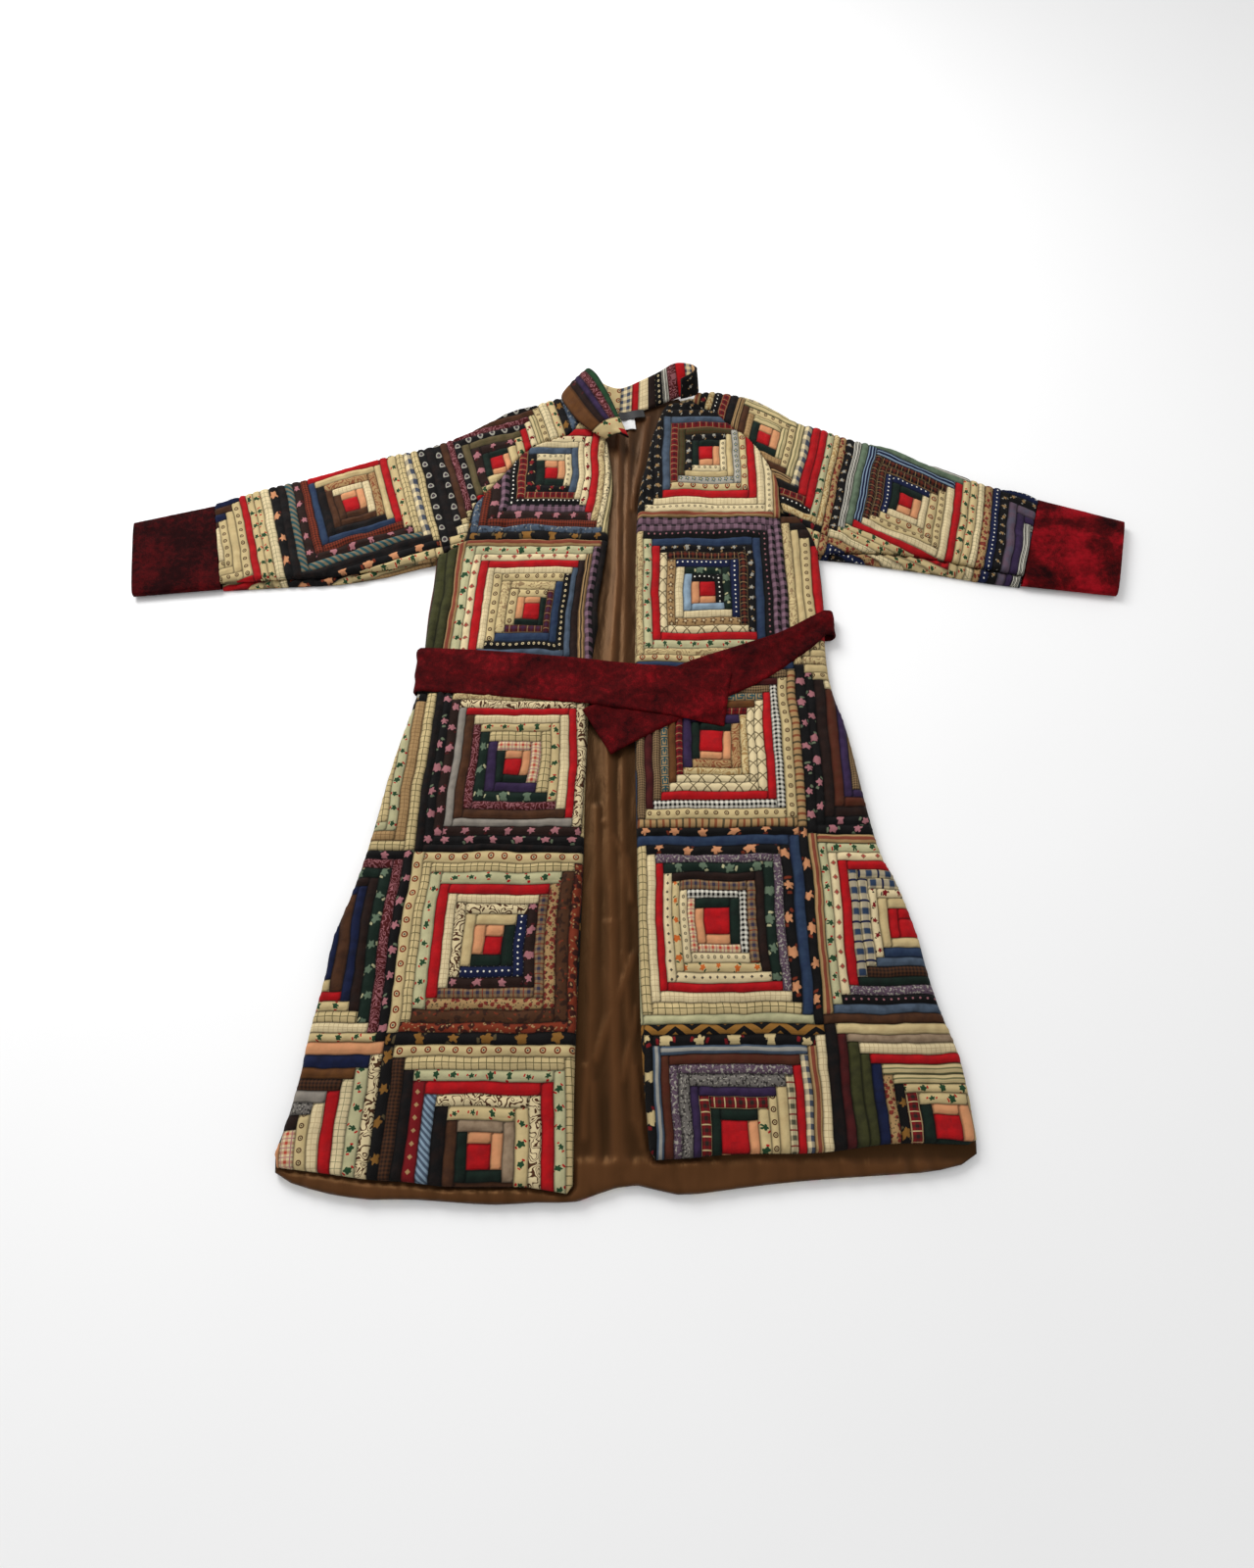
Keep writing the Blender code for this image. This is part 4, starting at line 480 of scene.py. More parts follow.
# One block's chart: its light sides, half the width of its centre, which is in millimetres in its rows, and
# its light and dark cloths from the centre outwards, one to a ring of logs
Chart = namedtuple("Chart", "name sides half light dark")
CHART_ROWS = """
L1 NE 10
light peach white_black_dots slate_blue cream_check red_floral bright_red cream_scribble white_speckle
green_stripe
dark dark_green black_red_floral red_black_plaid black_white_dots purple_gingham pink_clusters rust_check
grey_fringe orange_flowers

L2 NW 11.5
light peach cream_rings cream_scribble cream_rings cream_check bright_red white_red_diamonds
pale_green_floral red_border
dark dark_green purple_plaid denim dot_chain slate_blue dark_brown tan_dark_stripe purple_gingham black

L3 NE 11.5
light peach pink_plaid windowpane cream_sprigs cream_check bright_red brown_scribble cream_scribble
green_gingham
dark dark_green purple green_medallions maroon_scribble brown grey pink_clusters pink_flowers black

L4 NW 11.5
light peach plain_cream brown_scribble cream_check bright_red pale_green_floral windowpane peach_rings
dark dark_green navy_dots pink_clusters navy_plaid dense_red_floral worn_velvet rust_floral orange_flowers

L5 NE 14
light peach taupe cream_sprigs brown_scribble bright_red pale_green_floral windowpane peach_rings
dark dark_green brown black blue_diagonal red_triangles black brown_grid orange_flowers

R1 SE 11.5
light peach white_black_dots plain_cream teal_print peach_rings bright_red cream_check white_black_dots
red_border
dark dark_green small_flowers olive_check red_black_plaid slate_blue tan_berries tan_berries tan_berries
pink_flowers

R2 SW 11.5
light peach steel_blue cream_check tan_flowers cream_lattice bright_red pale_green_floral cream_scribble
peach_rings
dark black_white_dots green_medallions navy_dots black_rust_plaid small_flowers denim white_sparse
purple_gingham purple_gingham

R3 SE 15.5
light peach paisley tan_mottle cream_lattice cream_lattice bright_red black_white_check cream_rings bars
dark dark_green purple red_black_plaid ochre_brown key tan_fine_check maroon tan_fine_check denim

R4 SW 16
light peach pink_plaid white_black_dots orange_vine brown_diamonds bright_red cream_check windowpane
pale_green
dark dark_green black_white_check navy_plaid dark_brown green_medallions mauve_speckle peach_flowers denim
peach_flowers

R5 E 16.5
light peach cream_sprigs cream_rings plain_cream pale_tartan bright_red blue_gingham red_border
cream_check
dark dark_green tartan purple grey_speckle mauve_speckle rust stripe_medallion black_medallions chevrons

SL2 NW 11.5
light peach cream_check cream_rings tan_mottle bright_red cream_check green_gingham windowpane plain_cream
dark dark_green brown dark_brown navy_dots navy_dots rust_check rust_check olive olive

SL3 SE 11.5
light peach cream_sprigs pale_green_floral bright_red cream_check windowpane pale_green_floral tan_check
windowpane
dark dark_green black tan_fine_check brown tan_check black black small_flowers black

SL4 SW 11.5
light peach cream_sprigs windowpane plain_cream bright_red cream_sprigs windowpane cream_check
cream_sprigs
dark dark_green brown navy brown navy dark_brown green_medallions maroon_scribble pink_flowers

SL5 SE 13
light peach pink_plaid cream_rings cream_check bright_red green_gingham pale_green_floral brown_scribble
dark dark_green dark_brown grey_speckle grey brown_grid ochre_brown navy peach

SR2 SW 11.5
light peach cream_check bright_red tan_check cream_rings bright_red cream_rings plain_cream cream_scribble
dark dark_green black brown black_red_floral olive black dark_brown black brown

SR3 NE 11.5
light peach cream_check cream_rings tan_check bright_red cream_scribble cream_check cream_rings
plain_cream
dark dark_green mauve tan_fine_check tan_fine_check purple rust dark_brown pink_flowers pink_flowers

SR4 NW 13
light bright_red plain_cream red_floral blue_plaid blue_plaid bright_red white_red_diamonds
pale_green_floral red_border
dark plain_cream denim slate_blue brown_grid dark_green mauve_speckle white_sparse slate_blue brown

SR5 NE 15
light peach cream_sprigs cream_sprigs green_stripe green_stripe bright_red cream_check taupe plain_cream
dark dark_green tartan orange_flowers dense_red_floral navy olive olive maroon black

A NE 11.5
light peach cream_check paisley plain_cream bright_red cream_sprigs windowpane big_gingham windowpane
dark brown brown black denim rust_check pink_clusters teal_crests black peach_flowers

AC SE 11.5
light peach cream_check cream_rings plain_cream cream_rings bright_red cream_sprigs cream_sprigs
green_gingham
dark dark_green brown navy brown navy brown slate_blue brown navy_dots

B SE 11.5
light peach plain_cream cream_sprigs bright_red red_floral green_stripe cream_rings green_gingham
cream_sprigs
dark dark_green pink_clusters dull_olive grey_rings maroon_scribble brown grey_rings black grey_rings

AU NE 11.5
light peach cream_check cream_rings tan_mottle cream_sprigs windowpane bright_red tan_check cream_sprigs
dark dark_green brown purple black navy rust_check maroon pink_flowers black

C SE 11.5
light peach cream_check peach_rings cream_rings cream_check bright_red cream_sprigs cream_sprigs
green_gingham
dark dark_green navy_dots black_rust_plaid black_rust_plaid navy_stripes dull_green black_white_stripe
small_flowers dense_red_floral

CC SE 11.5
light peach cream_check cream_rings bright_red cream_sprigs tan_check cream_check windowpane cream_sprigs
dark dark_green pale_green slate_blue black_white_stripe purple mauve tan_berries navy_dots
dense_red_floral

D NE 11.5
light peach green_stripe cream_rings green_stripe big_gingham bright_red bright_red pale_green_floral
tan_mottle
dark dark_green tan_check brown tan_dark_stripe black red_black_plaid black_white_dots tan_mottle
black_red_floral
"""


def chart_from(rows):
    """A chart, from its rows of the table."""
    name, sides, half, _, *cloths = rows.split()
    split = cloths.index("dark")
    return Chart(name, sides, float(half) / 1000, cloths[:split], cloths[split + 1 :])


CHARTS = {chart.name: chart for chart in map(chart_from, CHART_ROWS.strip().split("\n\n"))}
# Which chart each block of a panel has, in the order of its cells
LEFT_CHARTS = ("L1", "L2", "L3", "L4", "L5", "SL2", "SL3", "SL4", "SL5")
RIGHT_CHARTS = ("R1", "R2", "R3", "R4", "R5", "SR2", "SR3", "SR4", "SR5")
LEFT_SLEEVE_CHARTS = ("AC", "A", "B", "L1", "AU", "AU")
RIGHT_SLEEVE_CHARTS = ("CC", "C", "D", "R1", "CC", "AU")

# How the quilting stands up: the dip at the log seams, the crest between, and the puckers across the logs
SEAM_DIP = 0.0028
CREST = 0.0012
PUCKER = 0.0008
PUCKER_LENGTH = 0.0085
CRUMPLE = 0.0011
CRUMPLE_LENGTH = 0.034
WAVER = 0.0019
WAVER_LENGTH = 0.045
WAVER_SHORT = 0.013
UNEVEN = 0.16

# Creases as soft troughs and ridges: two ends, half the width, and the height, below zero for a trough
LEFT_FRONT_CREASES = folds(
    (-246, 872, -190, 888, 6, -3),
    (-190, 888, -120, 868, 5.5, -2.8),
    (-120, 868, -45, 882, 6, -2.6),
    (-250, 850, -150, 862, 7, 2.2),
    (-140, 848, -60, 856, 6, -1.8),
    (-280, 800, -240, 690, 8, -2),
    (-225, 675, -215, 735, 6, -1.6),
    (-110, 665, -96, 720, 6, -1.6),
    (-285, 590, -250, 545, 6.5, -2),
    (-160, 580, -150, 520, 7, -1.5),
    (-290, 480, -200, 430, 8, -1.6),
    (-70, 380, -110, 250, 8, -1.8),
    (-345, 200, -250, 168, 8, -1.8),
    (-210, 110, -100, 60, 8, -1.4),
    (-380, 60, -330, -30, 7, -1.8),
    (-160, -10, -150, -50, 7, -1.6),
)
RIGHT_FRONT_CREASES = folds(
    (60, 900, 120, 915, 6, -2.8),
    (130, 905, 190, 886, 6, -2.6),
    (185, 915, 236, 930, 5.5, -2.6),
    (45, 1090, 40, 1000, 5, -3),
    (130, 1080, 180, 1030, 6.5, -2),
    (250, 880, 270, 800, 7, -2.2),
    (270, 680, 225, 740, 6.5, -2),
    (60, 700, 130, 690, 8, -1.6),
    (80, 540, 90, 470, 7, -1.8),
    (250, 610, 270, 520, 7, -2),
    (40, 380, 150, 360, 8, -1.6),
    (300, 420, 255, 320, 8, -1.8),
    (90, 180, 200, 120, 8, -1.6),
    (340, 260, 310, 140, 7, -1.6),
    (380, 100, 345, 30, 7, -2),
    (200, 20, 215, -15, 7, -1.6),
)
LEFT_SLEEVE_CREASES = folds(
    (-300, 880, -400, 876, 6, -3),
    (-275, 900, -330, 975, 6, -2.6),
    (-330, 850, -430, 838, 5.5, -2.4),
    (-420, 850, -520, 845, 6.5, -1.8),
    (-260, 985, -300, 1030, 6, -1.8),
    (-540, 935, -590, 880, 7, -1.6),
    (-150, 1120, -200, 1060, 6.5, -1.8),
)
RIGHT_SLEEVE_CREASES = folds(
    (280, 935, 312, 892, 5, -3.4),
    (296, 955, 340, 905, 5, -3),
    (318, 970, 372, 915, 5.5, -2.6),
    (292, 885, 330, 850, 5, -2.6),
    (350, 890, 460, 880, 6.5, -2.2),
    (440, 975, 520, 960, 7, -1.8),
    (250, 1085, 290, 1040, 6.5, -2),
    (560, 930, 600, 880, 7, -1.6),
)


def smooth(line, step=OUTLINE_STEP):
    """Points a step apart on a smooth curve through a line's spots."""
    spots = np.array([(s.x, s.y) for s in line], float)
    if len(spots) == 2:
        count = max(1, round(float(np.linalg.norm(spots[1] - spots[0])) / step))
        share = np.linspace(0, 1, count + 1)[:, None]
        return spots[0] * (1 - share) + spots[1] * share
    fine = curve_through(spots, 12 * (len(spots) - 1) + 1)
    along = lengths_along(fine)
    count = max(2, round(along[-1] / step))
    places = np.linspace(0, along[-1], count + 1)
    return np.stack([np.interp(places, along, fine[:, i]) for i in (0, 1)], axis=1)


def curve_through(rows, count):
    """Values on a smooth curve through the rows of a table, at an even count of places."""
    table = np.array(rows, float)
    knots = np.vstack([2 * table[0] - table[1], table, 2 * table[-1] - table[-2]])
    places = np.linspace(0, len(table) - 1, count)
    first = np.minimum(places.astype(int), len(table) - 2)
    t = (places - first)[:, None]
    a, b, c, d = (knots[first + i] for i in range(4))
    cubic = (3 * b - a - 3 * c + d) * t**3
    return 0.5 * (2 * b + (c - a) * t + (2 * a - 5 * b + 4 * c - d) * t**2 + cubic)


def lengths_along(line):
    """How far along a line each of its points is."""
    steps = np.linalg.norm(np.diff(line, axis=0), axis=1)
    return np.concatenate([[0], np.cumsum(steps)])


# What an outline says of many places: how far in each is, its nearest place on the edge, the way in from
# there, and the share of the wall's thickness
Survey = namedtuple("Survey", "depth foot way_in fullness")
PLACES_AT_ONCE = 4000


class Outline:
    """A panel's closed outline, made of smooth lines that each have their own turned edge."""

    def __init__(self, *parts):
        points = []
        turns = []
        for line, turn in parts:
            curve = smooth(line)
            points.extend(curve)
            turns.extend([turn] * len(curve))
        self.points = np.array(points)
        self.turns = turns
        following = np.roll(self.points, -1, axis=0)
        area = np.sum(self.points[:, 0] * following[:, 1] - self.points[:, 1] * following[:, 0])
        if area < 0:
            self.points = self.points[::-1].copy()
            self.turns = [turns[i - 1] for i in range(len(turns) - 1, -1, -1)]
        before = np.roll(self.points, 1, axis=0)
        way_in = np.roll(self.points, -1, axis=0) - before
        way_in = np.stack([-way_in[:, 1], way_in[:, 0]], axis=1)
        way_in /= np.linalg.norm(way_in, axis=1)[:, None]
        self.points = self.points + way_in * GAP / 2
        self.ends = np.roll(self.points, -1, axis=0)

    def survey(self, places):
        """Everything that the outline says of many places."""
        starts = range(0, len(places), PLACES_AT_ONCE)
        found = [self.survey_few(places[i : i + PLACES_AT_ONCE]) for i in starts]
        return Survey(*(np.concatenate(values) for values in zip(*found)))

    def survey_few(self, places):
        ways = self.ends - self.points
        from_start = places[:, None, :] - self.points[None]
        share = np.einsum("ijk,jk->ij", from_start, ways) / np.sum(ways**2, axis=1)
        feet = self.points[None] + np.clip(share, 0, 1)[..., None] * ways[None]
        far = np.linalg.norm(places[:, None, :] - feet, axis=2)
        nearest = far.argmin(axis=1)
        rows = np.arange(len(places))
        distance = far[rows, nearest]
        way = ways[nearest]
        way_in = np.stack([-way[:, 1], way[:, 0]], axis=1) / np.linalg.norm(way, axis=1)[:, None]
        depth = np.where(self.holds(places), distance, -distance)
        full = np.ones(len(places))
        for turn in set(self.turns):
            mine = [i for i, t in enumerate(self.turns) if t == turn]
            full = np.minimum(full, rounded(far[:, mine].min(axis=1) / turn.reach, turn.share))
        return depth, feet[rows, nearest], way_in, full

    def holds_many(self, places):
        """True for the places inside, of a great many."""
        few = [self.holds(places[i : i + PLACES_AT_ONCE]) for i in range(0, len(places), PLACES_AT_ONCE)]
        return np.concatenate(few)

    def holds(self, places):
        """True for the places inside."""
        x, y = places[:, 0:1], places[:, 1:2]
        x1, y1 = self.points[:, 0], self.points[:, 1]
        x2, y2 = self.ends[:, 0], self.ends[:, 1]
        across = (y1 > y) != (y2 > y)
        rise = np.where(y2 == y1, 1e-12, y2 - y1)
        return np.sum(across & (x < (x2 - x1) * (y - y1) / rise + x1), axis=1) % 2 == 1


def rounded(share, low=0.0):
    """A quarter round, from low where the share is 0 or less to 1 where it is 1 or more."""
    return low + (1 - low) * np.sqrt(1 - (1 - np.clip(share, 0, 1)) ** 2)


def off_line(places, start, end):
    """How far each place is from a straight line between two ends."""
    way = end - start
    share = np.clip((places - start) @ way / (way @ way), 0, 1)
    return np.linalg.norm(places - start - share[:, None] * way, axis=1)


def fold_height(folds, places):
    """How far the folds lift the cloth at each place."""
    height = np.zeros(len(places))
    for fold in folds:
        off = off_line(places, np.array([fold.x1, fold.y1]), np.array([fold.x2, fold.y2]))
        height += fold.height * np.exp(-((off / fold.half_width) ** 2))
    return height


def soft_noise(x, y, seed):
    """Smooth uneven values from -1 to 1, whose features are one unit wide."""
    table = np.random.default_rng(seed).uniform(-1, 1, (97, 89))
    column = np.floor(x).astype(int)
    row = np.floor(y).astype(int)
    a = x - column
    b = y - row
    a = a * a * (3 - 2 * a)
    b = b * b * (3 - 2 * b)

    def at(i, j):
        return table[(column + i) % 97, (row + j) % 89]

    return (at(0, 0) * (1 - a) + at(1, 0) * a) * (1 - b) + (at(0, 1) * (1 - a) + at(1, 1) * a) * b


def across_line(line, y):
    """A border line's x at a height y."""
    spots = sorted(line, key=lambda s: s.y)
    return float(np.interp(y, [s.y for s in spots], [s.x for s in spots]))


def column_cells(column):
    """Each block of a column as nine places: south row, middle row and north row, west to east."""
    cells = []
    north = column.north
    for i, block in enumerate(column.blocks):
        above = column.blocks[i - 1] if i else block
        below = column.blocks[i + 1] if i + 1 < len(column.blocks) else block
        levels = (
            (block.south, (block.x + below.x) / 2),
            (block.y, block.x),
            (north, (block.x + above.x) / 2),
        )
        rows = []
        for y, middle in levels:
            west = across_line(column.west, y) if column.west else middle - SIDE_BLOCK_REACH
            east = across_line(column.east, y) if column.east else middle + SIDE_BLOCK_REACH
            rows.append([(west, y), (middle, y), (east, y)])
        cells.append(np.array(rows))
        north = block.south
    return cells


def slanted_cells(slant, numbers):
    """The nine places of each block of a sleeve."""
    along = np.array([slant.along_x, slant.along_y])
    across = np.array([slant.across_x, slant.across_y])
    cells = []
    for i, j in numbers:
        centre = np.array([slant.x, slant.y]) + i * along + j * across
        rows = [[centre + u * along + v * across for u in (-0.5, 0, 0.5)] for v in (-0.5, 0, 0.5)]
        cells.append(np.array(rows))
    return cells


def in_cell(cell, u, v):
    """The places at u and v in a block, each from -1 at its west or south border to 1 at the other."""
    i = (u > 0).astype(int) * 2
    j = (v > 0).astype(int) * 2
    a = np.abs(u)[:, None]
    b = np.abs(v)[:, None]
    corner = cell[j, i]
    side = cell[1, i]
    end = cell[j, 1]
    return (1 - a) * (1 - b) * cell[1, 1] + a * (1 - b) * side + (1 - a) * b * end + a * b * corner


def wavered(places):
    """Places in the drawing, moved a little where hand sewing makes the seams waver."""
    x, y = places[:, 0], places[:, 1]
    moved = places.copy()
    for k in (0, 1):
        long_wave = soft_noise(x / WAVER_LENGTH + 7 * k, y / WAVER_LENGTH, 14 + k)
        short_wave = soft_noise(x / WAVER_SHORT + 5 * k, y / WAVER_SHORT, 16 + k)
        moved[:, k] += WAVER * long_wave + 0.35 * WAVER * short_wave
    return moved


def block_lines(size, centre_half, count, per_log, rng):
    """The lines of a block's grid: their place from -1 to 1, their distance from the centre in logs, and
    how far from the middle of the block each ring's middle is."""
    half = 0.5 * size
    log = (half - centre_half) / count
    outer = np.linspace(0, count, count * per_log + 1)
    inner_count = max(2, round(centre_half / log * per_log))
    inner = np.linspace(-centre_half / log, 0, inner_count, endpoint=False)
    rings = np.concatenate([inner, outer])
    uneven = np.concatenate([[0], np.cumsum(rng.uniform(1 - UNEVEN, 1 + UNEVEN, count))])
    uneven *= count / uneven[-1]
    real = np.where(rings > 0, np.interp(rings, np.arange(count + 1), uneven), rings)
    reach = (centre_half + real * log) / half
    middles = np.concatenate([[0], centre_half + 0.5 * (uneven[:-1] + uneven[1:]) * log])
    places = np.concatenate([-reach[:0:-1], reach])
    both = np.concatenate([rings[:0:-1], rings])
    return places, both, middles


def log_owner(ring_u, ring_v, sign_u, sign_v, sides):
    """The ring and the side, of N, E, S and W as 0 to 3, of the log that holds each place."""
    dark_row = -1 if "N" in sides else 1
    light_column = -1 if "W" in sides else 1
    number_u = np.floor(ring_u)
    number_v = np.floor(ring_v)
    ring = np.maximum(np.maximum(number_u, number_v), -1)
    row_keeps_corner = (sign_u == light_column) & (sign_v == dark_row)
    upright = (number_u > number_v) | ((number_u == number_v) & ~row_keeps_corner)
    side = np.where(upright, np.where(sign_u > 0, 1, 3), np.where(sign_v > 0, 0, 2))
    return ring, side, row_keeps_corner


def log_puff(ring_u, ring_v, row_keeps_corner, count):
    """How far up its puffed log each place is: 0 at the log's seams, 1 along its middle."""
    ring = np.clip(np.floor(np.maximum(ring_u, ring_v)), 0, count - 1)
    in_u = ring_u - ring
    in_v = ring_v - ring
    corner = (in_u >= 0) & (in_v >= 0)
    upright = np.where(corner, ~row_keeps_corner, in_u > in_v)
    across = np.where(upright, in_u, in_v)
    beyond = np.where(upright, in_v, in_u)
    keeps = np.where(upright, ~row_keeps_corner, row_keeps_corner)
    to_end = np.where(keeps, 1 - beyond, -beyond)
    gap = np.minimum(np.minimum(across, 1 - across), to_end)
    in_centre = np.maximum(ring_u, ring_v) < 0
    gap = np.where(in_centre, -np.maximum(ring_u, ring_v), gap)
    return 1 - (1 - 2 * np.clip(gap, 0, 0.5)) ** 2.4


def side_lists(chart):
    """The cloths of a chart's rings on each side, and of its centre."""
    light = chart.light
    dark = chart.dark
    lists = [light if side in chart.sides else dark for side in "NESW"]
    if len(chart.sides) == 1:
        lists["NESW".index("S")] = light if chart.sides == "E" else dark
        lists["NESW".index("N")] = dark
    return lists


# A mesh under way: its places and quads, the cloth and the cloth places of each quad, and how far up its
# puffed log each place is
Sheet = namedtuple("Sheet", "places quads cloths prints puffs")
CLOTH_NUMBER = {cloth.name: i for i, cloth in enumerate(CLOTHS)}


def grid_quads(rows, columns):
    """The quads of a grid of points that are numbered row by row."""
    first = (np.arange(rows - 1)[:, None] * columns + np.arange(columns - 1)[None]).ravel()
    return np.stack([first, first + 1, first + 1 + columns, first + columns], axis=1)


def joined(parts):
    """One sheet of many."""
    starts = np.cumsum([0] + [len(part.places) for part in parts])
    values = [np.concatenate(value) for value in zip(*parts)]
    values[1] = np.concatenate([part.quads + start for part, start in zip(parts, starts)])
    return Sheet(*values)


def patchwork(outline, cells, charts, per_log, seed):
    """The patchwork inside an outline, flat: each block's grid, cut to the outline."""
    rng = np.random.default_rng(seed)
    parts = []
    for cell, name in zip(cells, charts):
        chart = CHARTS[name]
        size = float(np.linalg.norm(cell[1][2] - cell[1][0]))
        logs = len(chart.light)
        places, rings, middles = block_lines(size, chart.half, logs, per_log, rng)
        u, v = (grid.ravel() for grid in np.meshgrid(places, places))
        ring_u, ring_v = (grid.ravel() for grid in np.meshgrid(rings, rings))
        spots = wavered(in_cell(cell, u, v))
        _, _, keeps = log_owner(ring_u, ring_v, np.sign(u), np.sign(v), chart.sides)
        puffs = log_puff(ring_u, ring_v, keeps, logs)
        quads = grid_quads(len(places), len(places))
        ring, side, _ = log_owner(
            ring_u[quads].mean(axis=1),
            ring_v[quads].mean(axis=1),
            np.sign(u[quads].mean(axis=1)),
            np.sign(v[quads].mean(axis=1)),
            chart.sides,
        )
        table = np.array([[CLOTH_NUMBER[n] for n in names] for names in side_lists(chart)])
        ring_number = np.clip(ring, 0, logs - 1).astype(int)
        cloths = np.where(ring < 0, CLOTH_NUMBER["bright_red"], table[side, ring_number])
        upright = (side % 2 == 1)[:, None]
        metres_u = 0.5 * size * u[quads]
        metres_v = 0.5 * size * v[quads]
        number = (ring + 1).astype(int)
        middle = middles[number][:, None]
        shift = rng.uniform(0, 1, (4, logs + 1))[side, number][:, None]
        along = np.where(upright, metres_v, metres_u) + shift
        across = np.where(upright, metres_u, metres_v)
        across = np.where(across.mean(axis=1)[:, None] < 0, across + middle, across - middle)
        parts.append(Sheet(spots, quads, cloths, np.stack([along, across], axis=2), puffs))
    return cut_to(joined(parts), outline)


def cut_to(sheet, outline):
    """The quads that reach inside the outline, with their outer points moved onto it, and its survey."""
    inside = outline.holds_many(sheet.places)
    kept = inside[sheet.quads].any(axis=1)
    quads = sheet.quads[kept]
    used = np.unique(quads)
    numbers = np.zeros(len(sheet.places), int)
    numbers[used] = np.arange(len(used))
    places = sheet.places[used]
    survey = outline.survey(places)
    places = np.where((survey.depth < 0)[:, None], survey.foot, places)
    survey = outline.survey(places)
    cut = Sheet(places, numbers[quads], sheet.cloths[kept], sheet.prints[kept], sheet.puffs[used])
    return cut, survey


def rim_edges(quads):
    """The edges that only one quad has, as (first point, second point, quad)."""
    first = quads.ravel()
    second = np.roll(quads, -1, axis=1).ravel()
    owner = np.repeat(np.arange(len(quads)), 4)
    keys = np.minimum(first, second) * (quads.max() + 1) + np.maximum(first, second)
    _, where, counts = np.unique(keys, return_index=True, return_counts=True)
    alone = where[(counts == 1) & (first[where] != second[where])]
    return first[alone], second[alone], owner[alone]


def quilted_height(sheet, survey, folds, creases, settings):
    """The height of a quilted panel's outer face at each of its points."""
    x, y = sheet.places[:, 0], sheet.places[:, 1]
    lift = fold_height(folds, sheet.places) + fold_height(creases, sheet.places)
    lift += settings.crest - (settings.crest + settings.seam_dip) * (1 - sheet.puffs)
    u, v = x / PUCKER_LENGTH, y / PUCKER_LENGTH
    pucker = soft_noise(u, v, 11) + 0.5 * soft_noise(u * 2.1, v * 2.1, 12)
    lift += settings.pucker * pucker * (0.4 + 0.6 * sheet.puffs)
    lift += CRUMPLE * soft_noise(x / CRUMPLE_LENGTH, y / CRUMPLE_LENGTH, 13)
    return FRONT_FLOOR + (FRONT_WALL + lift) * survey.fullness


# How far a panel's edge turns in under it, and the places that count as its edge
TURN_IN = 0.004
AT_EDGE = 0.0006
# The fullest part of the turned edge: how far up it is, and how far out
BULGE_UP = 0.25
BULGE_OUT = 0.0004


def with_skirt(sheet, survey, height, floor):
    """The sheet's points in space, with its turned edge down to the floor and in under it."""
    first, second, owner = rim_edges(sheet.quads)
    rim = np.unique(np.concatenate([first, second]))
    rim = rim[np.abs(survey.depth[rim]) < AT_EDGE]
    number = np.full(len(sheet.places), -1)
    number[rim] = np.arange(len(rim))
    kept = (number[first] >= 0) & (number[second] >= 0)
    first, second, owner = first[kept], second[kept], owner[kept]
    top = np.column_stack([sheet.places, height])
    low = np.column_stack([sheet.places[rim], floor + BULGE_UP * (height[rim] - floor)])
    low[:, :2] -= survey.way_in[rim] * BULGE_OUT
    under = np.column_stack([sheet.places[rim] + survey.way_in[rim] * TURN_IN, np.full(len(rim), floor)])
    count = len(top)
    size = len(rim)
    low_first, low_second = count + number[first], count + number[second]
    wall = np.stack([second, first, low_first, low_second], axis=1)
    turned = np.stack([low_second, low_first, low_first + size, low_second + size], axis=1)
    places = np.vstack([top, low, under])
    quads = np.vstack([sheet.quads, wall, turned])
    cloths = np.concatenate([sheet.cloths, sheet.cloths[owner], sheet.cloths[owner]])
    prints = np.concatenate([sheet.prints, sheet.prints[owner], sheet.prints[owner]])
    puffs = np.concatenate([sheet.puffs, sheet.puffs[rim], sheet.puffs[rim]])
    return Sheet(places, quads, cloths, prints, puffs)
CLOTH_MAP = "cloth"
PUFF = "puff"
FLOAT = "NodeSocketFloat"
COLOUR = "NodeSocketColor"
VECTOR = "NodeSocketVector"
TURN = 2 * math.pi


def linear(colour):
    """A display colour as a linear one with full opacity."""
    return tuple(c / 12.92 if c <= 0.04045 else ((c + 0.055) / 1.055) ** 2.4 for c in colour) + (1.0,)


class Value:
    """A value that changes over the surface. Plain arithmetic on it adds nodes to its tree."""

    def __init__(self, graph, socket):
        self.graph = graph
        self.socket = socket

    def __add__(self, other):
        return self.graph.math("ADD", self, other)

    def __sub__(self, other):
        return self.graph.math("SUBTRACT", self, other)

    def __rsub__(self, other):
        return self.graph.math("SUBTRACT", other, self)

    def __mul__(self, other):
        return self.graph.math("MULTIPLY", self, other)

    def made(self, operation, other=None):
        """The value after another of the maths node's operations."""
        return self.graph.math(operation, self) if other is None else self.graph.math(operation, self, other)

    def ramp(self, low, high):
        """0 at or below the low value, 1 at or above the high one. Where low is the higher, it falls."""
        return self.graph.value("ShaderNodeMapRange", 0, {"Value": self, "From Min": low, "From Max": high})


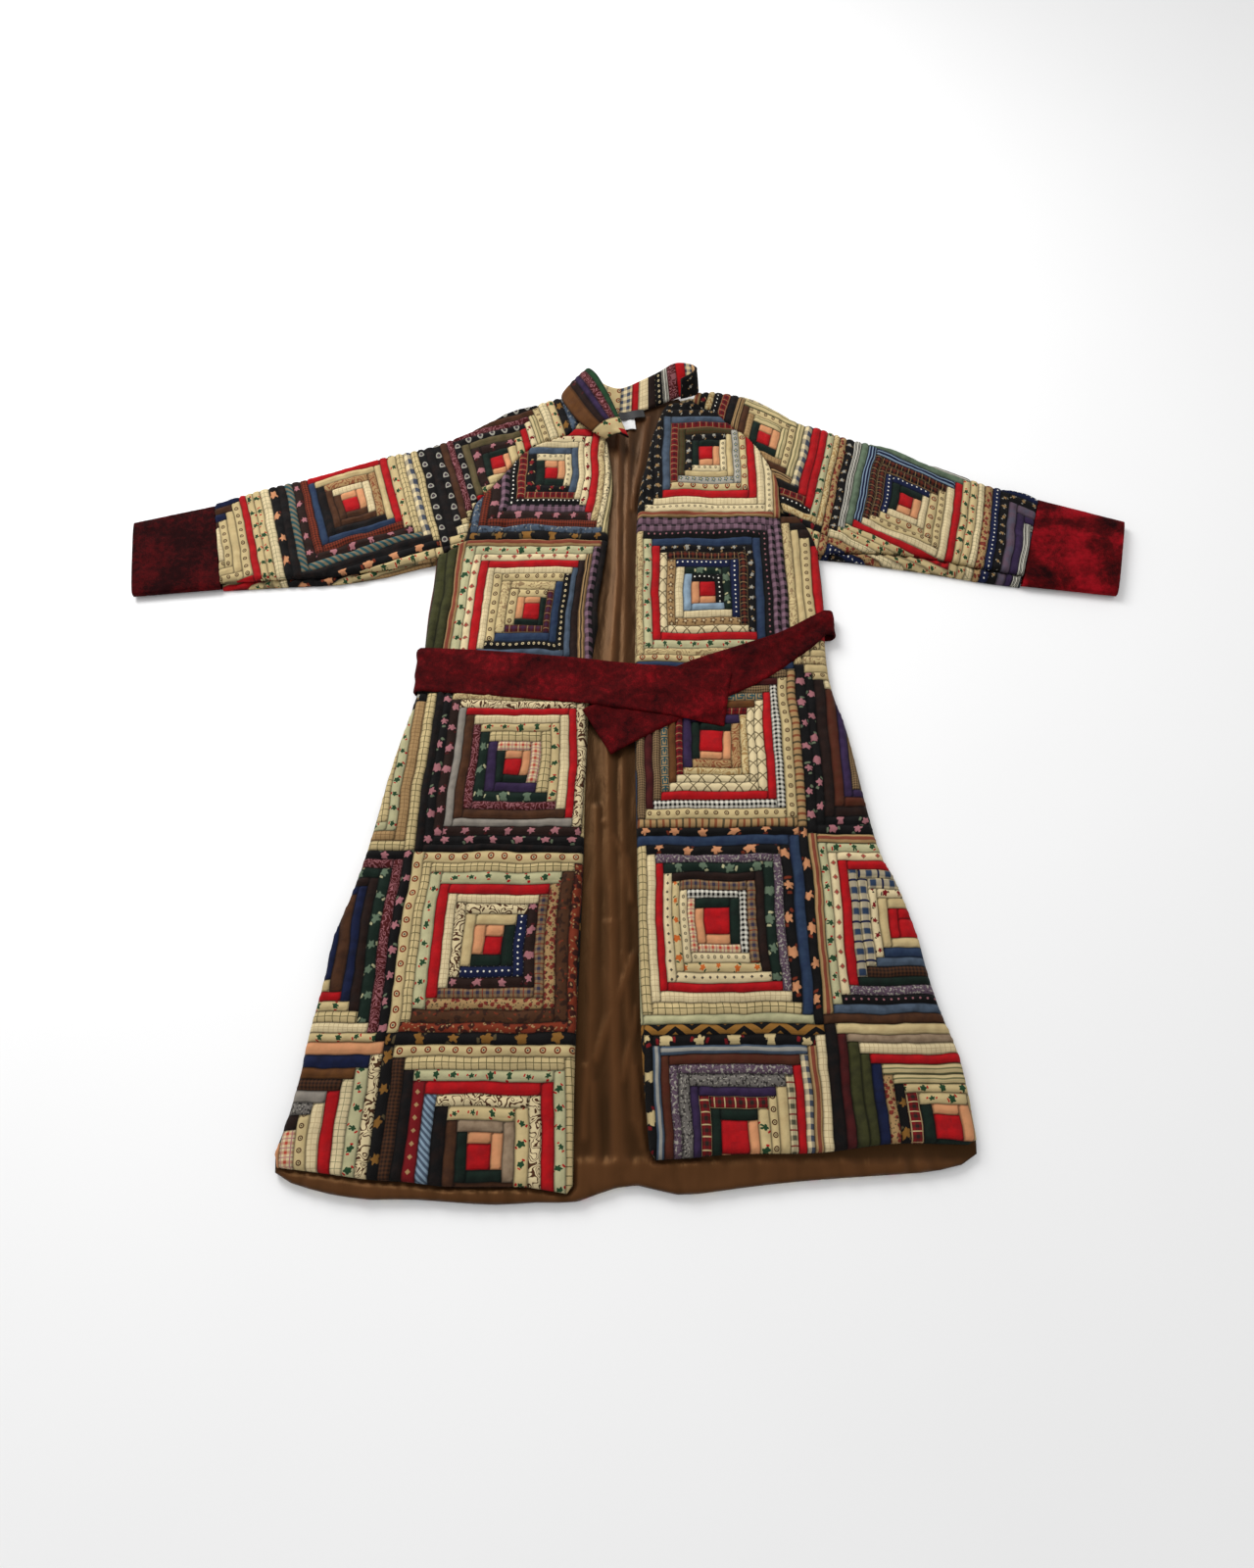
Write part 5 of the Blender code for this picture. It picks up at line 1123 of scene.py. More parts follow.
class Graph:
    """A node tree that is filled a node at a time."""

    def __init__(self, tree):
        self.tree = tree

    def node(self, kind, inputs=None, **settings):
        item = self.tree.nodes.new(kind)
        for name, value in settings.items():
            setattr(item, name, value)
        for key, value in (inputs or {}).items():
            self.feed(item.inputs[key], value)
        return item

    def feed(self, socket, value):
        if isinstance(value, Value):
            self.tree.links.new(value.socket, socket)
        else:
            socket.default_value = value

    def value(self, kind, output, inputs=None, **settings):
        """One output of a new node."""
        return Value(self, self.node(kind, inputs, **settings).outputs[output])

    def math(self, operation, *values):
        return self.value("ShaderNodeMath", 0, dict(enumerate(values)), operation=operation)

    def vector(self, operation, inputs):
        return self.value("ShaderNodeVectorMath", 0, inputs, operation=operation)

    def place(self):
        """The place on the object, in metres."""
        return self.value("ShaderNodeTexCoord", "Object")

    def apart(self, place):
        """The three parts of a place."""
        return [Value(self, part) for part in self.node("ShaderNodeSeparateXYZ", {0: place}).outputs]

    def blend(self, share, first, second):
        return self.value("ShaderNodeMix", 2, {0: share, 6: first, 7: second}, data_type="RGBA")

    def noise(self, place, scale, detail=2.0, distortion=0.0):
        inputs = {"Vector": place, "Scale": scale, "Detail": detail, "Distortion": distortion}
        return self.value("ShaderNodeTexNoise", "Fac", inputs)


def shared_group(name, inputs, outputs, build):
    """The node group of a name, built once: build turns the values given to it into those it puts out."""
    group = bpy.data.node_groups.get(name)
    if group:
        return group
    tree = bpy.data.node_groups.new(name, "ShaderNodeTree")
    for socket, kind in inputs:
        tree.interface.new_socket(name=socket, in_out="INPUT", socket_type=kind)
    for socket, kind in outputs:
        tree.interface.new_socket(name=socket, in_out="OUTPUT", socket_type=kind)
    graph = Graph(tree)
    given = graph.node("NodeGroupInput").outputs
    made = graph.node("NodeGroupOutput").inputs
    values = build(graph, *(Value(graph, given[socket]) for socket, _ in inputs))
    for (socket, _), value in zip(outputs, values):
        graph.feed(made[socket], value)
    return tree


def in_cell_of(x, y):
    """Distance and direction from the middle of the nearest spot of a lattice with staggered rows, and a
    value that each spot has for itself."""
    row = y.made("FLOOR")
    shifted = row.made("FLOORED_MODULO", 2.0) * 0.5 + x
    from_x = shifted.made("FRACT") - 0.5
    from_y = y.made("FRACT") - 0.5
    distance = (from_x * from_x + from_y * from_y).made("SQRT")
    spot = x.graph.value("ShaderNodeCombineXYZ", 0, {0: shifted.made("FLOOR"), 1: row})
    own = x.graph.value("ShaderNodeTexWhiteNoise", "Value", {"Vector": spot}, noise_dimensions="2D")
    return distance, from_y.made("ARCTAN2", from_x), own


def from_line(value):
    """How far a value is from the nearest half-way line, 0 to 0.5."""
    return (value.made("FRACT") - 0.5).made("ABSOLUTE")


# Each print gives where its ink and its accent lie, from the place on the cloth in repeats, with x along the
# log and y across it


def plain_print(graph, place, x, y):
    return graph.noise(place, 0.7, 3.0).ramp(0.42, 0.66), 0.0


def dots_print(graph, place, x, y):
    distance, _, _ = in_cell_of(x, y)
    return distance.ramp(0.18, 0.13), 0.0


def rings_print(graph, place, x, y):
    distance, _, _ = in_cell_of(x, y)
    off_ring = (distance - 0.18).made("ABSOLUTE")
    return off_ring.ramp(0.07, 0.035), distance.ramp(0.08, 0.05)


def medallion_print(graph, place, x, y):
    """Round flowers with five petals."""
    distance, angle, _ = in_cell_of(x, y)
    edge = (angle * 5.0).made("COSINE") * 0.09 + 0.30
    return (distance - edge).ramp(0.03, -0.03), distance.ramp(0.15, 0.10)


def check_print(graph, place, x, y):
    """Squares of a gingham, with the log's middle line between a dark row and a pale one."""
    warp = from_line(x).ramp(0.24, 0.26)
    weft = from_line(y + 0.25).ramp(0.24, 0.26)
    return (warp + weft) * 0.5, 0.0


def stripes_print(graph, place, x, y):
    off = from_line(y)
    return off.ramp(0.20, 0.15), off.ramp(0.42, 0.46)


def grid_print(graph, place, x, y):
    return from_line(x).ramp(0.07, 0.04).made("MAXIMUM", from_line(y).ramp(0.07, 0.04)), 0.0


def bars_print(graph, place, x, y):
    off = from_line(x)
    return off.ramp(0.10, 0.08), off.ramp(0.41, 0.43)


def diagonal_print(graph, place, x, y):
    return from_line(x + y).ramp(0.22, 0.28), 0.0


def diamonds_print(graph, place, x, y):
    """A row of diamonds along the log, each with a middle of the accent colour."""
    off = from_line(x) + from_line(y)
    return off.ramp(0.22, 0.19), off.ramp(0.10, 0.07)


def zigzag_print(graph, place, x, y):
    bent = y * 3.0 + from_line(x) * 1.9
    return from_line(bent).ramp(0.20, 0.23), 0.0


def sprigs_print(graph, place, x, y):
    """Sparse sprigs, each turned its own way: a ragged flower between two leaves of the accent colour."""
    across = (graph.noise(place, 1.3, 1.0) - 0.5) * 0.5 + y
    distance, angle, own = in_cell_of(x, across)
    turned = own * TURN + angle
    petals = (turned * 5.0).made("COSINE")
    ragged = (graph.noise(place, 11.0, 2.0) - 0.5) * 0.16
    edge = petals * 0.030 + (own * 0.05 + 0.12) + ragged
    beside = (distance - 0.24).made("ABSOLUTE")
    leaves = (turned * 2.0).made("COSINE")
    return (distance - edge).ramp(0.012, -0.012), beside.ramp(0.055, 0.03) * leaves.ramp(0.72, 0.86)


def plaid_print(graph, place, x, y):
    across, up = from_line(x), from_line(y)
    bands = across.ramp(0.19, 0.13) + up.ramp(0.19, 0.13)
    return bands * 0.5, across.ramp(0.43, 0.46).made("MAXIMUM", up.ramp(0.43, 0.46))


def lattice_print(graph, place, x, y):
    rising = from_line(x + y).ramp(0.07, 0.04)
    falling = from_line(x - y).ramp(0.07, 0.04)
    return rising.made("MAXIMUM", falling), 0.0


def scribble_print(graph, place, x, y):
    return from_line(graph.noise(place, 0.9, 1.0, 0.6) * 7.0).ramp(0.22, 0.14), 0.0


def floral_print(graph, place, x, y):
    """Round flowers and smaller leaves, strewn unevenly."""
    wander = graph.value("ShaderNodeTexNoise", "Color", {"Vector": place, "Scale": 2.2, "Detail": 2.0})
    bent = graph.vector("MULTIPLY_ADD", {0: wander, 1: (0.55, 0.55, 0.0), 2: place})
    kind, flat = "ShaderNodeTexVoronoi", {"voronoi_dimensions": "2D"}
    flowers = graph.value(kind, "Distance", {"Vector": bent, "Scale": 1.0}, **flat)
    leaves = graph.value(kind, "Distance", {"Vector": bent, "Scale": 1.7}, **flat)
    return flowers.ramp(0.36, 0.28), leaves.ramp(0.20, 0.13)


def speckle_print(graph, place, x, y):
    return graph.noise(place, 1.1, 1.0).ramp(0.54, 0.60), graph.noise(place, 1.7, 0.0).ramp(0.66, 0.70)


def key_print(graph, place, x, y):
    """Squares in squares, open on one side."""
    across = x.made("FRACT") - 0.5
    up = (y.made("FRACT") - 0.5).made("ABSOLUTE")
    square = across.made("ABSOLUTE").made("MAXIMUM", up)
    gap = across.ramp(-0.02, 0.02) * up.ramp(0.11, 0.08)
    return from_line(square * 4.0).ramp(0.30, 0.22) * (1.0 - gap), 0.0


PRINTS = {
    "plain": plain_print,
    "dots": dots_print,
    "rings": rings_print,
    "medallion": medallion_print,
    "check": check_print,
    "stripes": stripes_print,
    "plaid": plaid_print,
    "lattice": lattice_print,
    "scribble": scribble_print,
    "floral": floral_print,
    "speckle": speckle_print,
    "key": key_print,
    "grid": grid_print,
    "bars": bars_print,
    "diagonal": diagonal_print,
    "diamonds": diamonds_print,
    "zigzag": zigzag_print,
    "sprigs": sprigs_print,
}


def print_group(name):
    """The node group of one print, with a log's middle line half-way across a repeat."""

    def build(graph, place, repeat):
        scaled = graph.vector("SCALE", {0: place, "Scale": graph.math("DIVIDE", 1.0, repeat)})
        x, y, _ = graph.apart(scaled)
        return PRINTS[name](graph, scaled, x, y + 0.5)

    inputs = (("Place", VECTOR), ("Repeat", FLOAT))
    return shared_group("Print " + name, inputs, (("Ink", FLOAT), ("Accent", FLOAT)), build)


SURFACE = (("Color", COLOUR), ("Roughness", FLOAT), ("Height", FLOAT))
THREAD = 0.0009
# How many crumples and faded patches there are in a metre, and the painted shade in a seam's ditch: how dark
# it makes the cloth, and how far up the log it reaches
CRUMPLE_SCALE = 95.0
FADE_SCALE = 9.0
WORN_SCALE = 60.0
PAINTED_DITCH_SHADE = 0.30
PAINTED_DITCH_SHADE_WIDTH = 0.55


def cotton_group():
    """The node group that all printed cotton shares: its colour, roughness and surface height, with painted
    shade darkening the colour in the ditch along each log seam.
    """

    def build(graph, cloth, ground, ink_colour, accent_colour, ink, accent, strength):
        colour = graph.blend(ink * strength, ground, ink_colour)
        colour = graph.blend(accent * strength, colour, accent_colour)
        place = graph.place()
        puff = graph.value("ShaderNodeAttribute", "Fac", attribute_name=PUFF)
        faded = graph.noise(place, FADE_SCALE, 4.0).ramp(0.30, 0.72)
        worn = graph.noise(place, WORN_SCALE, 3.0).ramp(0.35, 0.75)
        x, y, _ = graph.apart(cloth)
        weave = (x * (TURN / THREAD)).made("SINE") * (y * (TURN / THREAD)).made("SINE")
        # Painted shade: the colour is darkened in the ditch along each log seam, where shade falls
        painted_ditch_shade = puff.ramp(0.0, PAINTED_DITCH_SHADE_WIDTH) * (1 - PAINTED_DITCH_SHADE) + PAINTED_DITCH_SHADE
        shade = (faded * 0.22 + 0.84) * (worn * 0.14 + 0.92) * (weave * 0.05 + 1.0) * painted_ditch_shade
        tone = graph.vector("SCALE", {0: colour, "Scale": shade})
        return tone, worn * -0.12 + 0.92, weave * 0.04 + graph.noise(place, CRUMPLE_SCALE, 3.0)

    inputs = (
        ("Place", VECTOR),
        ("Ground Color", COLOUR),
        ("Ink Color", COLOUR),
        ("Accent Color", COLOUR),
        ("Ink", FLOAT),
        ("Accent", FLOAT),
        ("Strength", FLOAT),
    )
    return shared_group("Printed cotton", inputs, SURFACE, build)


def new_material(name):
    """An empty material: (material, graph, its Principled shader)."""
    material = bpy.data.materials.new(name)
    material.use_nodes = True
    return material, Graph(material.node_tree), material.node_tree.nodes["Principled BSDF"]


def dress(graph, shader, group, given, bump, plain):
    """Feeds a group's colour, roughness and height to a shader, and sets the shader's plain values."""
    surface = graph.node("ShaderNodeGroup", given, node_tree=group).outputs
    graph.feed(shader.inputs["Base Color"], Value(graph, surface["Color"]))
    if "Roughness" in surface:
        graph.feed(shader.inputs["Roughness"], Value(graph, surface["Roughness"]))
    strength, distance = bump
    inputs = {"Strength": strength, "Distance": distance, "Height": Value(graph, surface["Height"])}
    graph.feed(shader.inputs["Normal"], graph.value("ShaderNodeBump", "Normal", inputs))
    for name, value in plain.items():
        shader.inputs[name].default_value = value


def cloth_material(cloth):
    """The material of one cloth of the chart."""
    name = "Cloth " + cloth.name.replace("_", " ")
    material = bpy.data.materials.get(name)
    if material:
        return material
    material, graph, shader = new_material(name)
    place = graph.value("ShaderNodeUVMap", "UV", uv_map=CLOTH_MAP)
    inputs = {"Place": place, "Repeat": cloth.repeat}
    pattern = graph.node("ShaderNodeGroup", inputs, node_tree=print_group(cloth.print)).outputs
    given = {
        "Place": place,
        "Ground Color": linear(INKS[cloth.ground]),
        "Ink Color": linear(INKS[cloth.ink]),
        "Accent Color": linear(INKS[cloth.accent]),
        "Ink": Value(graph, pattern["Ink"]),
        "Accent": Value(graph, pattern["Accent"]),
        "Strength": cloth.strength,
    }
    plain = {"Specular IOR Level": 0.14, "Sheen Weight": 0.02}
    dress(graph, shader, cotton_group(), given, (0.75, 0.0020), plain)
    return material


# Crushed velvet: nap that lies dark, half-way and light
VELVET_DARK = (0.09, 0.004, 0.008)
VELVET_MIDDLE = (0.29, 0.008, 0.020)
VELVET_LIGHT = (0.52, 0.020, 0.070)
VELVET_SHEEN = (0.78, 0.12, 0.12)
# How far the nap stands towards the viewer on each velvet piece, painted into its colour as painted light
# where above zero and as painted shade where below, and how strongly it is blotched
Nap = namedtuple("Nap", "lift blotch")
NAPS = {"left cuff": Nap(-0.17, 0.50), "right cuff": Nap(0.08, 1.35), "belt": Nap(-0.03, 0.60)}


def nap_group():
    """The node group that all velvet shares: nap pressed into soft blotches over a fine grain, with painted
    light added to the whole of a piece whose lift is above zero and painted shade to one whose lift is below.
    """

    def build(graph, lift, blotch):
        place = graph.place()
        blotches = graph.noise(place, 17.0, 4.0, 0.5) - 0.5
        streaks = graph.noise(place, 120.0, 3.0, 0.3) - 0.5
        grain = graph.noise(place, 900.0, 1.0) - 0.5
        # Painted light and shade: lift makes a whole piece lighter or darker, as its nap would look towards
        # the viewer
        nap = blotches * blotch + 0.5 + streaks * 0.42 + grain * 0.45 + lift
        colour = graph.blend(nap.ramp(0.28, 0.56), linear(VELVET_DARK), linear(VELVET_MIDDLE))
        colour = graph.blend(nap.ramp(0.54, 0.80), colour, linear(VELVET_LIGHT))
        return colour, nap * -0.35 + 0.95, nap

    return shared_group("Crushed nap", (("Lift", FLOAT), ("Blotch", FLOAT)), SURFACE, build)


def velvet_material(piece):
    """Dark red crushed velvet, with its nap and its painted light and shade as one piece has them."""
    name = "Crushed velvet, " + piece
    material = bpy.data.materials.get(name)
    if material:
        return material
    material, graph, shader = new_material(name)
    given = {"Lift": NAPS[piece].lift, "Blotch": NAPS[piece].blotch}
    plain = {
        "Specular IOR Level": 0.06,
        "Sheen Weight": 0.09,
        "Sheen Roughness": 0.35,
        "Sheen Tint": linear(VELVET_SHEEN),
    }
    dress(graph, shader, nap_group(), given, (0.6, 0.0020), plain)
    return material


# Satin tones, mixed by an uneven cloud and by painted light and shade: lighter where the lining stands up in
# folds, darker in its hollows
SATIN_DARK = (0.105, 0.058, 0.030)
SATIN_LIGHT = (0.285, 0.175, 0.100)
SATIN_SHINE = (0.85, 0.62, 0.38)
# How far above its floor the lining is where the painted light on its folds is fullest, and how far its small
# wrinkles are drawn out
SATIN_PAINTED_LIGHT_RISE = 0.0036
SATIN_DRAWN = (1.0, 0.28, 1.0)


def satin_material():
    """The brown lining: smooth, with a soft sheen and small drawn wrinkles, and with painted light on its
    raised folds and painted shade in its hollows.
    """

    def build(graph):
        place = graph.place()
        wrinkles = graph.noise(graph.vector("MULTIPLY", {0: place, 1: SATIN_DRAWN}), 75.0, 3.0, 0.4)
        cloud = graph.noise(place, 14.0, 3.0)
        _, _, up = graph.apart(place)
        # Painted light and shade: the lining is lighter the higher it stands above its floor
        painted_fold_light_and_shade = up.ramp(LINING_FLOOR + LINING_WALL, LINING_FLOOR + LINING_WALL + SATIN_PAINTED_LIGHT_RISE)
        share = cloud * 0.6 + (painted_fold_light_and_shade * 0.75 + -0.20)
        return graph.blend(share, linear(SATIN_DARK), linear(SATIN_LIGHT)), cloud * 0.12 + 0.32, wrinkles

    material, graph, shader = new_material("Lining satin")
    plain = {"Specular IOR Level": 0.45, "Specular Tint": linear(SATIN_SHINE)}
    dress(graph, shader, shared_group("Satin weave", (), SURFACE, build), {}, (0.5, 0.0020), plain)
    return material


def tape_material(name, ground, thread):
    """A bare woven tape, ribbed across."""

    def build(graph, ground_colour, thread_colour):
        place = graph.place()
        _, along, _ = graph.apart(place)
        share = (along * (TURN / THREAD)).made("SINE") * 0.2 + graph.noise(place, 160.0, 2.0)
        return graph.blend(share, ground_colour, thread_colour), share

    inputs = (("Ground Color", COLOUR), ("Thread Color", COLOUR))
    group = shared_group("Tape weave", inputs, (("Color", COLOUR), ("Height", FLOAT)), build)
    material, graph, shader = new_material(name)
    given = {"Ground Color": linear(ground), "Thread Color": linear(thread)}
    dress(graph, shader, group, given, (0.4, 0.0003), {"Roughness": 0.62})
    return material




class CoatSettings(bpy.types.PropertyGroup):
    """Sizes of the quilting and the cloth that can be changed in the sidebar."""

    per_log: IntProperty(
        name="Cells per log", description="Grid cells across one log", default=4, min=2, max=6
    )
    seam_dip: FloatProperty(
        name="Seam dip", description="How deep the log seams sink",
        default=SEAM_DIP, unit="LENGTH", min=0.0, max=0.004,
    )
    crest: FloatProperty(
        name="Log crest", description="How far each log puffs up",
        default=CREST, unit="LENGTH", min=0.0, max=0.003,
    )
    pucker: FloatProperty(
        name="Pucker", description="Height of the small puckers",
        default=PUCKER, unit="LENGTH", min=0.0, max=0.002,
    )
    light_power: FloatProperty(
        name="Light power", description="Power of the soft light", default=40.0, unit="POWER"
    )


def make_object(name, places, quads):
    """An object of quads in the row's frame, from places in the drawing."""
    data = bpy.data.meshes.new(name)
    count = len(quads)
    moved = np.asarray(places, float) - np.array([MIDDLE_X, MIDDLE_Y, 0.0])
    data.vertices.add(len(moved))
    data.vertices.foreach_set("co", moved.ravel())
    data.loops.add(4 * count)
    data.loops.foreach_set("vertex_index", np.asarray(quads, np.int32).ravel())
    data.polygons.add(count)
    data.polygons.foreach_set("loop_start", np.arange(0, 4 * count, 4, dtype=np.int32))
    data.update(calc_edges=True)
    data.validate()
    data.shade_smooth()
    item = bpy.data.objects.new(name, data)
    bpy.context.scene.collection.objects.link(item)
    return item


def cloth_object(name, sheet):
    """A patchwork object, with a material for each cloth in it, its cloth places and its logs' puffs."""
    item = make_object(name, sheet.places, sheet.quads)
    data = item.data
    if len(data.polygons) != len(sheet.quads):
        raise RuntimeError(f"{name} lost faces")
    used = np.unique(sheet.cloths)
    for number in used:
        data.materials.append(cloth_material(CLOTHS[number]))
    data.polygons.foreach_set("material_index", np.searchsorted(used, sheet.cloths).astype(np.int32))
    prints = data.uv_layers.new(name=CLOTH_MAP)
    prints.uv.foreach_set("vector", sheet.prints.reshape(-1, 2).ravel().astype(np.float32))
    puff = data.attributes.new(PUFF, "FLOAT", "POINT")
    puff.data.foreach_set("value", sheet.puffs.astype(np.float32))
    return item


def panel_sheet(outline, cells, charts, folds, creases, settings, seed):
    """A quilted panel of the coat's front, with its turned edge."""
    sheet, survey = patchwork(outline, cells, charts, settings.per_log, seed)
    height = quilted_height(sheet, survey, folds, creases, settings)
    return with_skirt(sheet, survey, height, FRONT_FLOOR)


def polygon_area(points):
    """The area inside a closed line."""
    following = np.roll(points, -1, axis=0)
    return abs(float(np.sum(points[:, 0] * following[:, 1] - points[:, 1] * following[:, 0]))) / 2


def declare(item, node, slot, **sheet):
    """Hides the solid that a piece replaces, and hangs the piece on the one body that all of them ride. The
    slot and the cut that it is given are not used.
    """
    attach(item, "root")
    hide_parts(node)


# What a panel's cut has over its outline: in length, and in area with its turned edge
PANEL_EASE = 1.03
PANEL_TURNED = 1.06


def declare_panel(item, outline, node, rests_on):
    """Hands a panel to declare, with its cut worked out: the box round its outline, and the area inside it
    with its turned edge, which declare does not use.
    """
    size = outline.points.max(axis=0) - outline.points.min(axis=0)
    flat = (round(float(size[0]) * PANEL_EASE, 3), round(float(size[1]) * PANEL_EASE, 3))
    area = round(min(polygon_area(outline.points) * PANEL_TURNED, flat[0] * flat[1]), 4)
    declare(item, node, "patchwork", flat=flat, held="laid", rests_on=rests_on, area=area)


def front_outlines():
    """The outlines of the left and the right front."""
    left = Outline(
        (LEFT_SIDE, SIDE), (LEFT_HEM, FOLDED), (LEFT_EDGE, FOLDED), (LEFT_NECK, SEAM), (LEFT_RAGLAN, SEAM)
    )
    right = Outline(
        (RIGHT_SIDE, SIDE),
        (RIGHT_HEM[::-1], FOLDED),
        (RIGHT_EDGE[::-1], FOLDED),
        (RIGHT_NECK[::-1], SEAM),
        (RIGHT_RAGLAN, SEAM),
    )
    return left, right


def back_outline():
    """The outline of the back and of its lining."""
    return Outline(
        (BACK_HEM, FOLDED),
        (RIGHT_SIDE[::-1], SIDE),
        (RIGHT_BACK_RAGLAN[::-1], SEAM),
        (BACK_NECK[::-1], SEAM),
        (LEFT_BACK_RAGLAN, SEAM),
        (LEFT_SIDE, SIDE),
    )


def under_edge(line, rim):
    """A sleeve front's lower edge: the sleeve's own edge, moved in by the width of the rim that shows."""
    widths = np.interp(np.linspace(0, 1, len(line)), [0, 0.5, 1], [rim.at_cuff, rim.at_middle, rim.at_armpit])
    return [Spot(s.x, s.y + w) for s, w in zip(line, widths)]


def along_end(top, under, distance):
    """A place on a sleeve's cuff end, at a distance from its lower corner."""
    lower = np.array(under[0])
    way = np.array(top[-1]) - lower
    return Spot(*(lower + way * distance / np.linalg.norm(way)))


def sleeve_outlines(top, under, raglan, back_raglan, neck, back_neck, rim):
    """The outlines of a sleeve's front and back."""
    shown = under_edge(under, rim)
    shown[0] = along_end(top, under, rim.at_cuff)
    length = math.dist(top[-1], under[0])
    upper_end = along_end(top, under, length - 0.005)
    front = Outline(
        (top, SIDE),
        ([upper_end, along_end(top, under, rim.at_cuff + 0.005)], SEAM),
        (shown, SEAM),
        (raglan[::-1], SEAM),
        (neck, SEAM),
    )
    back = Outline(
        (top, SIDE),
        ([upper_end, along_end(top, under, 0.005)], SEAM),
        (under, SIDE),
        (back_raglan[::-1], SEAM),
        (back_neck[::-1], SEAM),
    )
    return front, back


# All that one sleeve is made from
Sleeve = namedtuple("Sleeve", "side outlines slant numbers charts folds creases under rim wrist top")


def sleeves():
    """The left and the right sleeve."""
    left = sleeve_outlines(
        LEFT_SLEEVE_TOP, LEFT_SLEEVE_UNDER, LEFT_RAGLAN, LEFT_BACK_RAGLAN, LEFT_SLEEVE_NECK,
        LEFT_BACK_SLEEVE_NECK, LEFT_RIM,
    )
    right = sleeve_outlines(
        RIGHT_SLEEVE_TOP, RIGHT_SLEEVE_UNDER, RIGHT_RAGLAN, RIGHT_BACK_RAGLAN, RIGHT_SLEEVE_NECK,
        RIGHT_BACK_SLEEVE_NECK, RIGHT_RIM,
    )
    return (
        Sleeve(
            "left", left, LEFT_SLANT, LEFT_SLEEVE_BLOCKS, LEFT_SLEEVE_CHARTS, LEFT_SLEEVE_FOLDS,
            LEFT_SLEEVE_CREASES, LEFT_SLEEVE_UNDER, LEFT_RIM, LEFT_WRIST, LEFT_SLEEVE_TOP,
        ),
        Sleeve(
            "right", right, RIGHT_SLANT, RIGHT_SLEEVE_BLOCKS, RIGHT_SLEEVE_CHARTS, RIGHT_SLEEVE_FOLDS,
            RIGHT_SLEEVE_CREASES, RIGHT_SLEEVE_UNDER, RIGHT_RIM, RIGHT_WRIST, RIGHT_SLEEVE_TOP,
        ),
    )


class COAT_OT_fronts(bpy.types.Operator):
    """Make the two quilted fronts"""

    bl_idname = "coat.fronts"
    bl_label = "Fronts"

    def execute(self, context):
        settings = context.scene.coat_settings
        left, right = front_outlines()
        left_cells = column_cells(LEFT_COLUMN) + column_cells(LEFT_SIDE_COLUMN)
        right_cells = column_cells(RIGHT_COLUMN) + column_cells(RIGHT_SIDE_COLUMN)
        tables = (
            ("left", left, left_cells, LEFT_CHARTS, LEFT_FRONT_FOLDS, LEFT_FRONT_CREASES, 21),
            ("right", right, right_cells, RIGHT_CHARTS, RIGHT_FRONT_FOLDS, RIGHT_FRONT_CREASES, 22),
        )
        for side, outline, cells, charts, folds, creases, seed in tables:
            sheet = panel_sheet(outline, cells, charts, folds, creases, settings, seed)
            item = cloth_object(f"front_{side}_cloth", sheet)
            declare_panel(item, outline, f"front_{side}", ["back_lining_cloth"])
        return {"FINISHED"}


def rim_height(places, under, rim):
    """The height of a sleeve back: low under the front, and up its rim along the lower edge."""
    outer = outline_row(under)
    inner = outline_row(under_edge(under, rim))
    way = inner - outer
    width = np.linalg.norm(way, axis=1)
    far = np.linalg.norm(places[:, None] - outer[None], axis=2)
    nearest = far.argmin(axis=1)
    wide = width[nearest]
    offset = np.einsum("ij,ij->i", places - outer[nearest], way[nearest] / wide[:, None])
    share = np.clip((wide - RIM_START - offset) / RIM_STEP, 0, 1)
    room = np.clip((wide - RIM_START - RIM_STEP - RIM_TURN) / RIM_TURN, 0, 1)
    beside = far[np.arange(len(places)), nearest] < wide + 0.02
    return BACK_WALL + (RIM_RISE - BACK_WALL) * share * room * beside


def outline_row(line):
    """An even row of places along a line's smooth curve."""
    curve = smooth(line, 0.004)
    along = lengths_along(curve)
    places = np.linspace(0, along[-1], 160)
    return np.stack([np.interp(places, along, curve[:, i]) for i in (0, 1)], axis=1)


class COAT_OT_sleeves(bpy.types.Operator):
    """Make the fronts and the backs of the two raglan sleeves"""

    bl_idname = "coat.sleeves"
    bl_label = "Sleeves"

    def execute(self, context):
        settings = context.scene.coat_settings
        for seed, sleeve in enumerate(sleeves(), 31):
            front, back = sleeve.outlines
            cells = slanted_cells(sleeve.slant, sleeve.numbers)
            sheet = panel_sheet(front, cells, sleeve.charts, sleeve.folds, sleeve.creases, settings, seed)
            item = cloth_object(f"sleeve_{sleeve.side}_front_cloth", sheet)
            declare_panel(item, front, f"sleeve_{sleeve.side}_front", [f"sleeve_{sleeve.side}_back_cloth"])
            sheet, survey = patchwork(back, cells, sleeve.charts, 2, seed + 10)
            height = rim_height(sheet.places, sleeve.under, sleeve.rim)
            height = height * rounded(survey.depth / RIM_TURN, 0.3)
            item = cloth_object(f"sleeve_{sleeve.side}_back_cloth", closed_sheet(sheet, height))
            declare_panel(item, back, f"sleeve_{sleeve.side}_back", [])
        return {"FINISHED"}


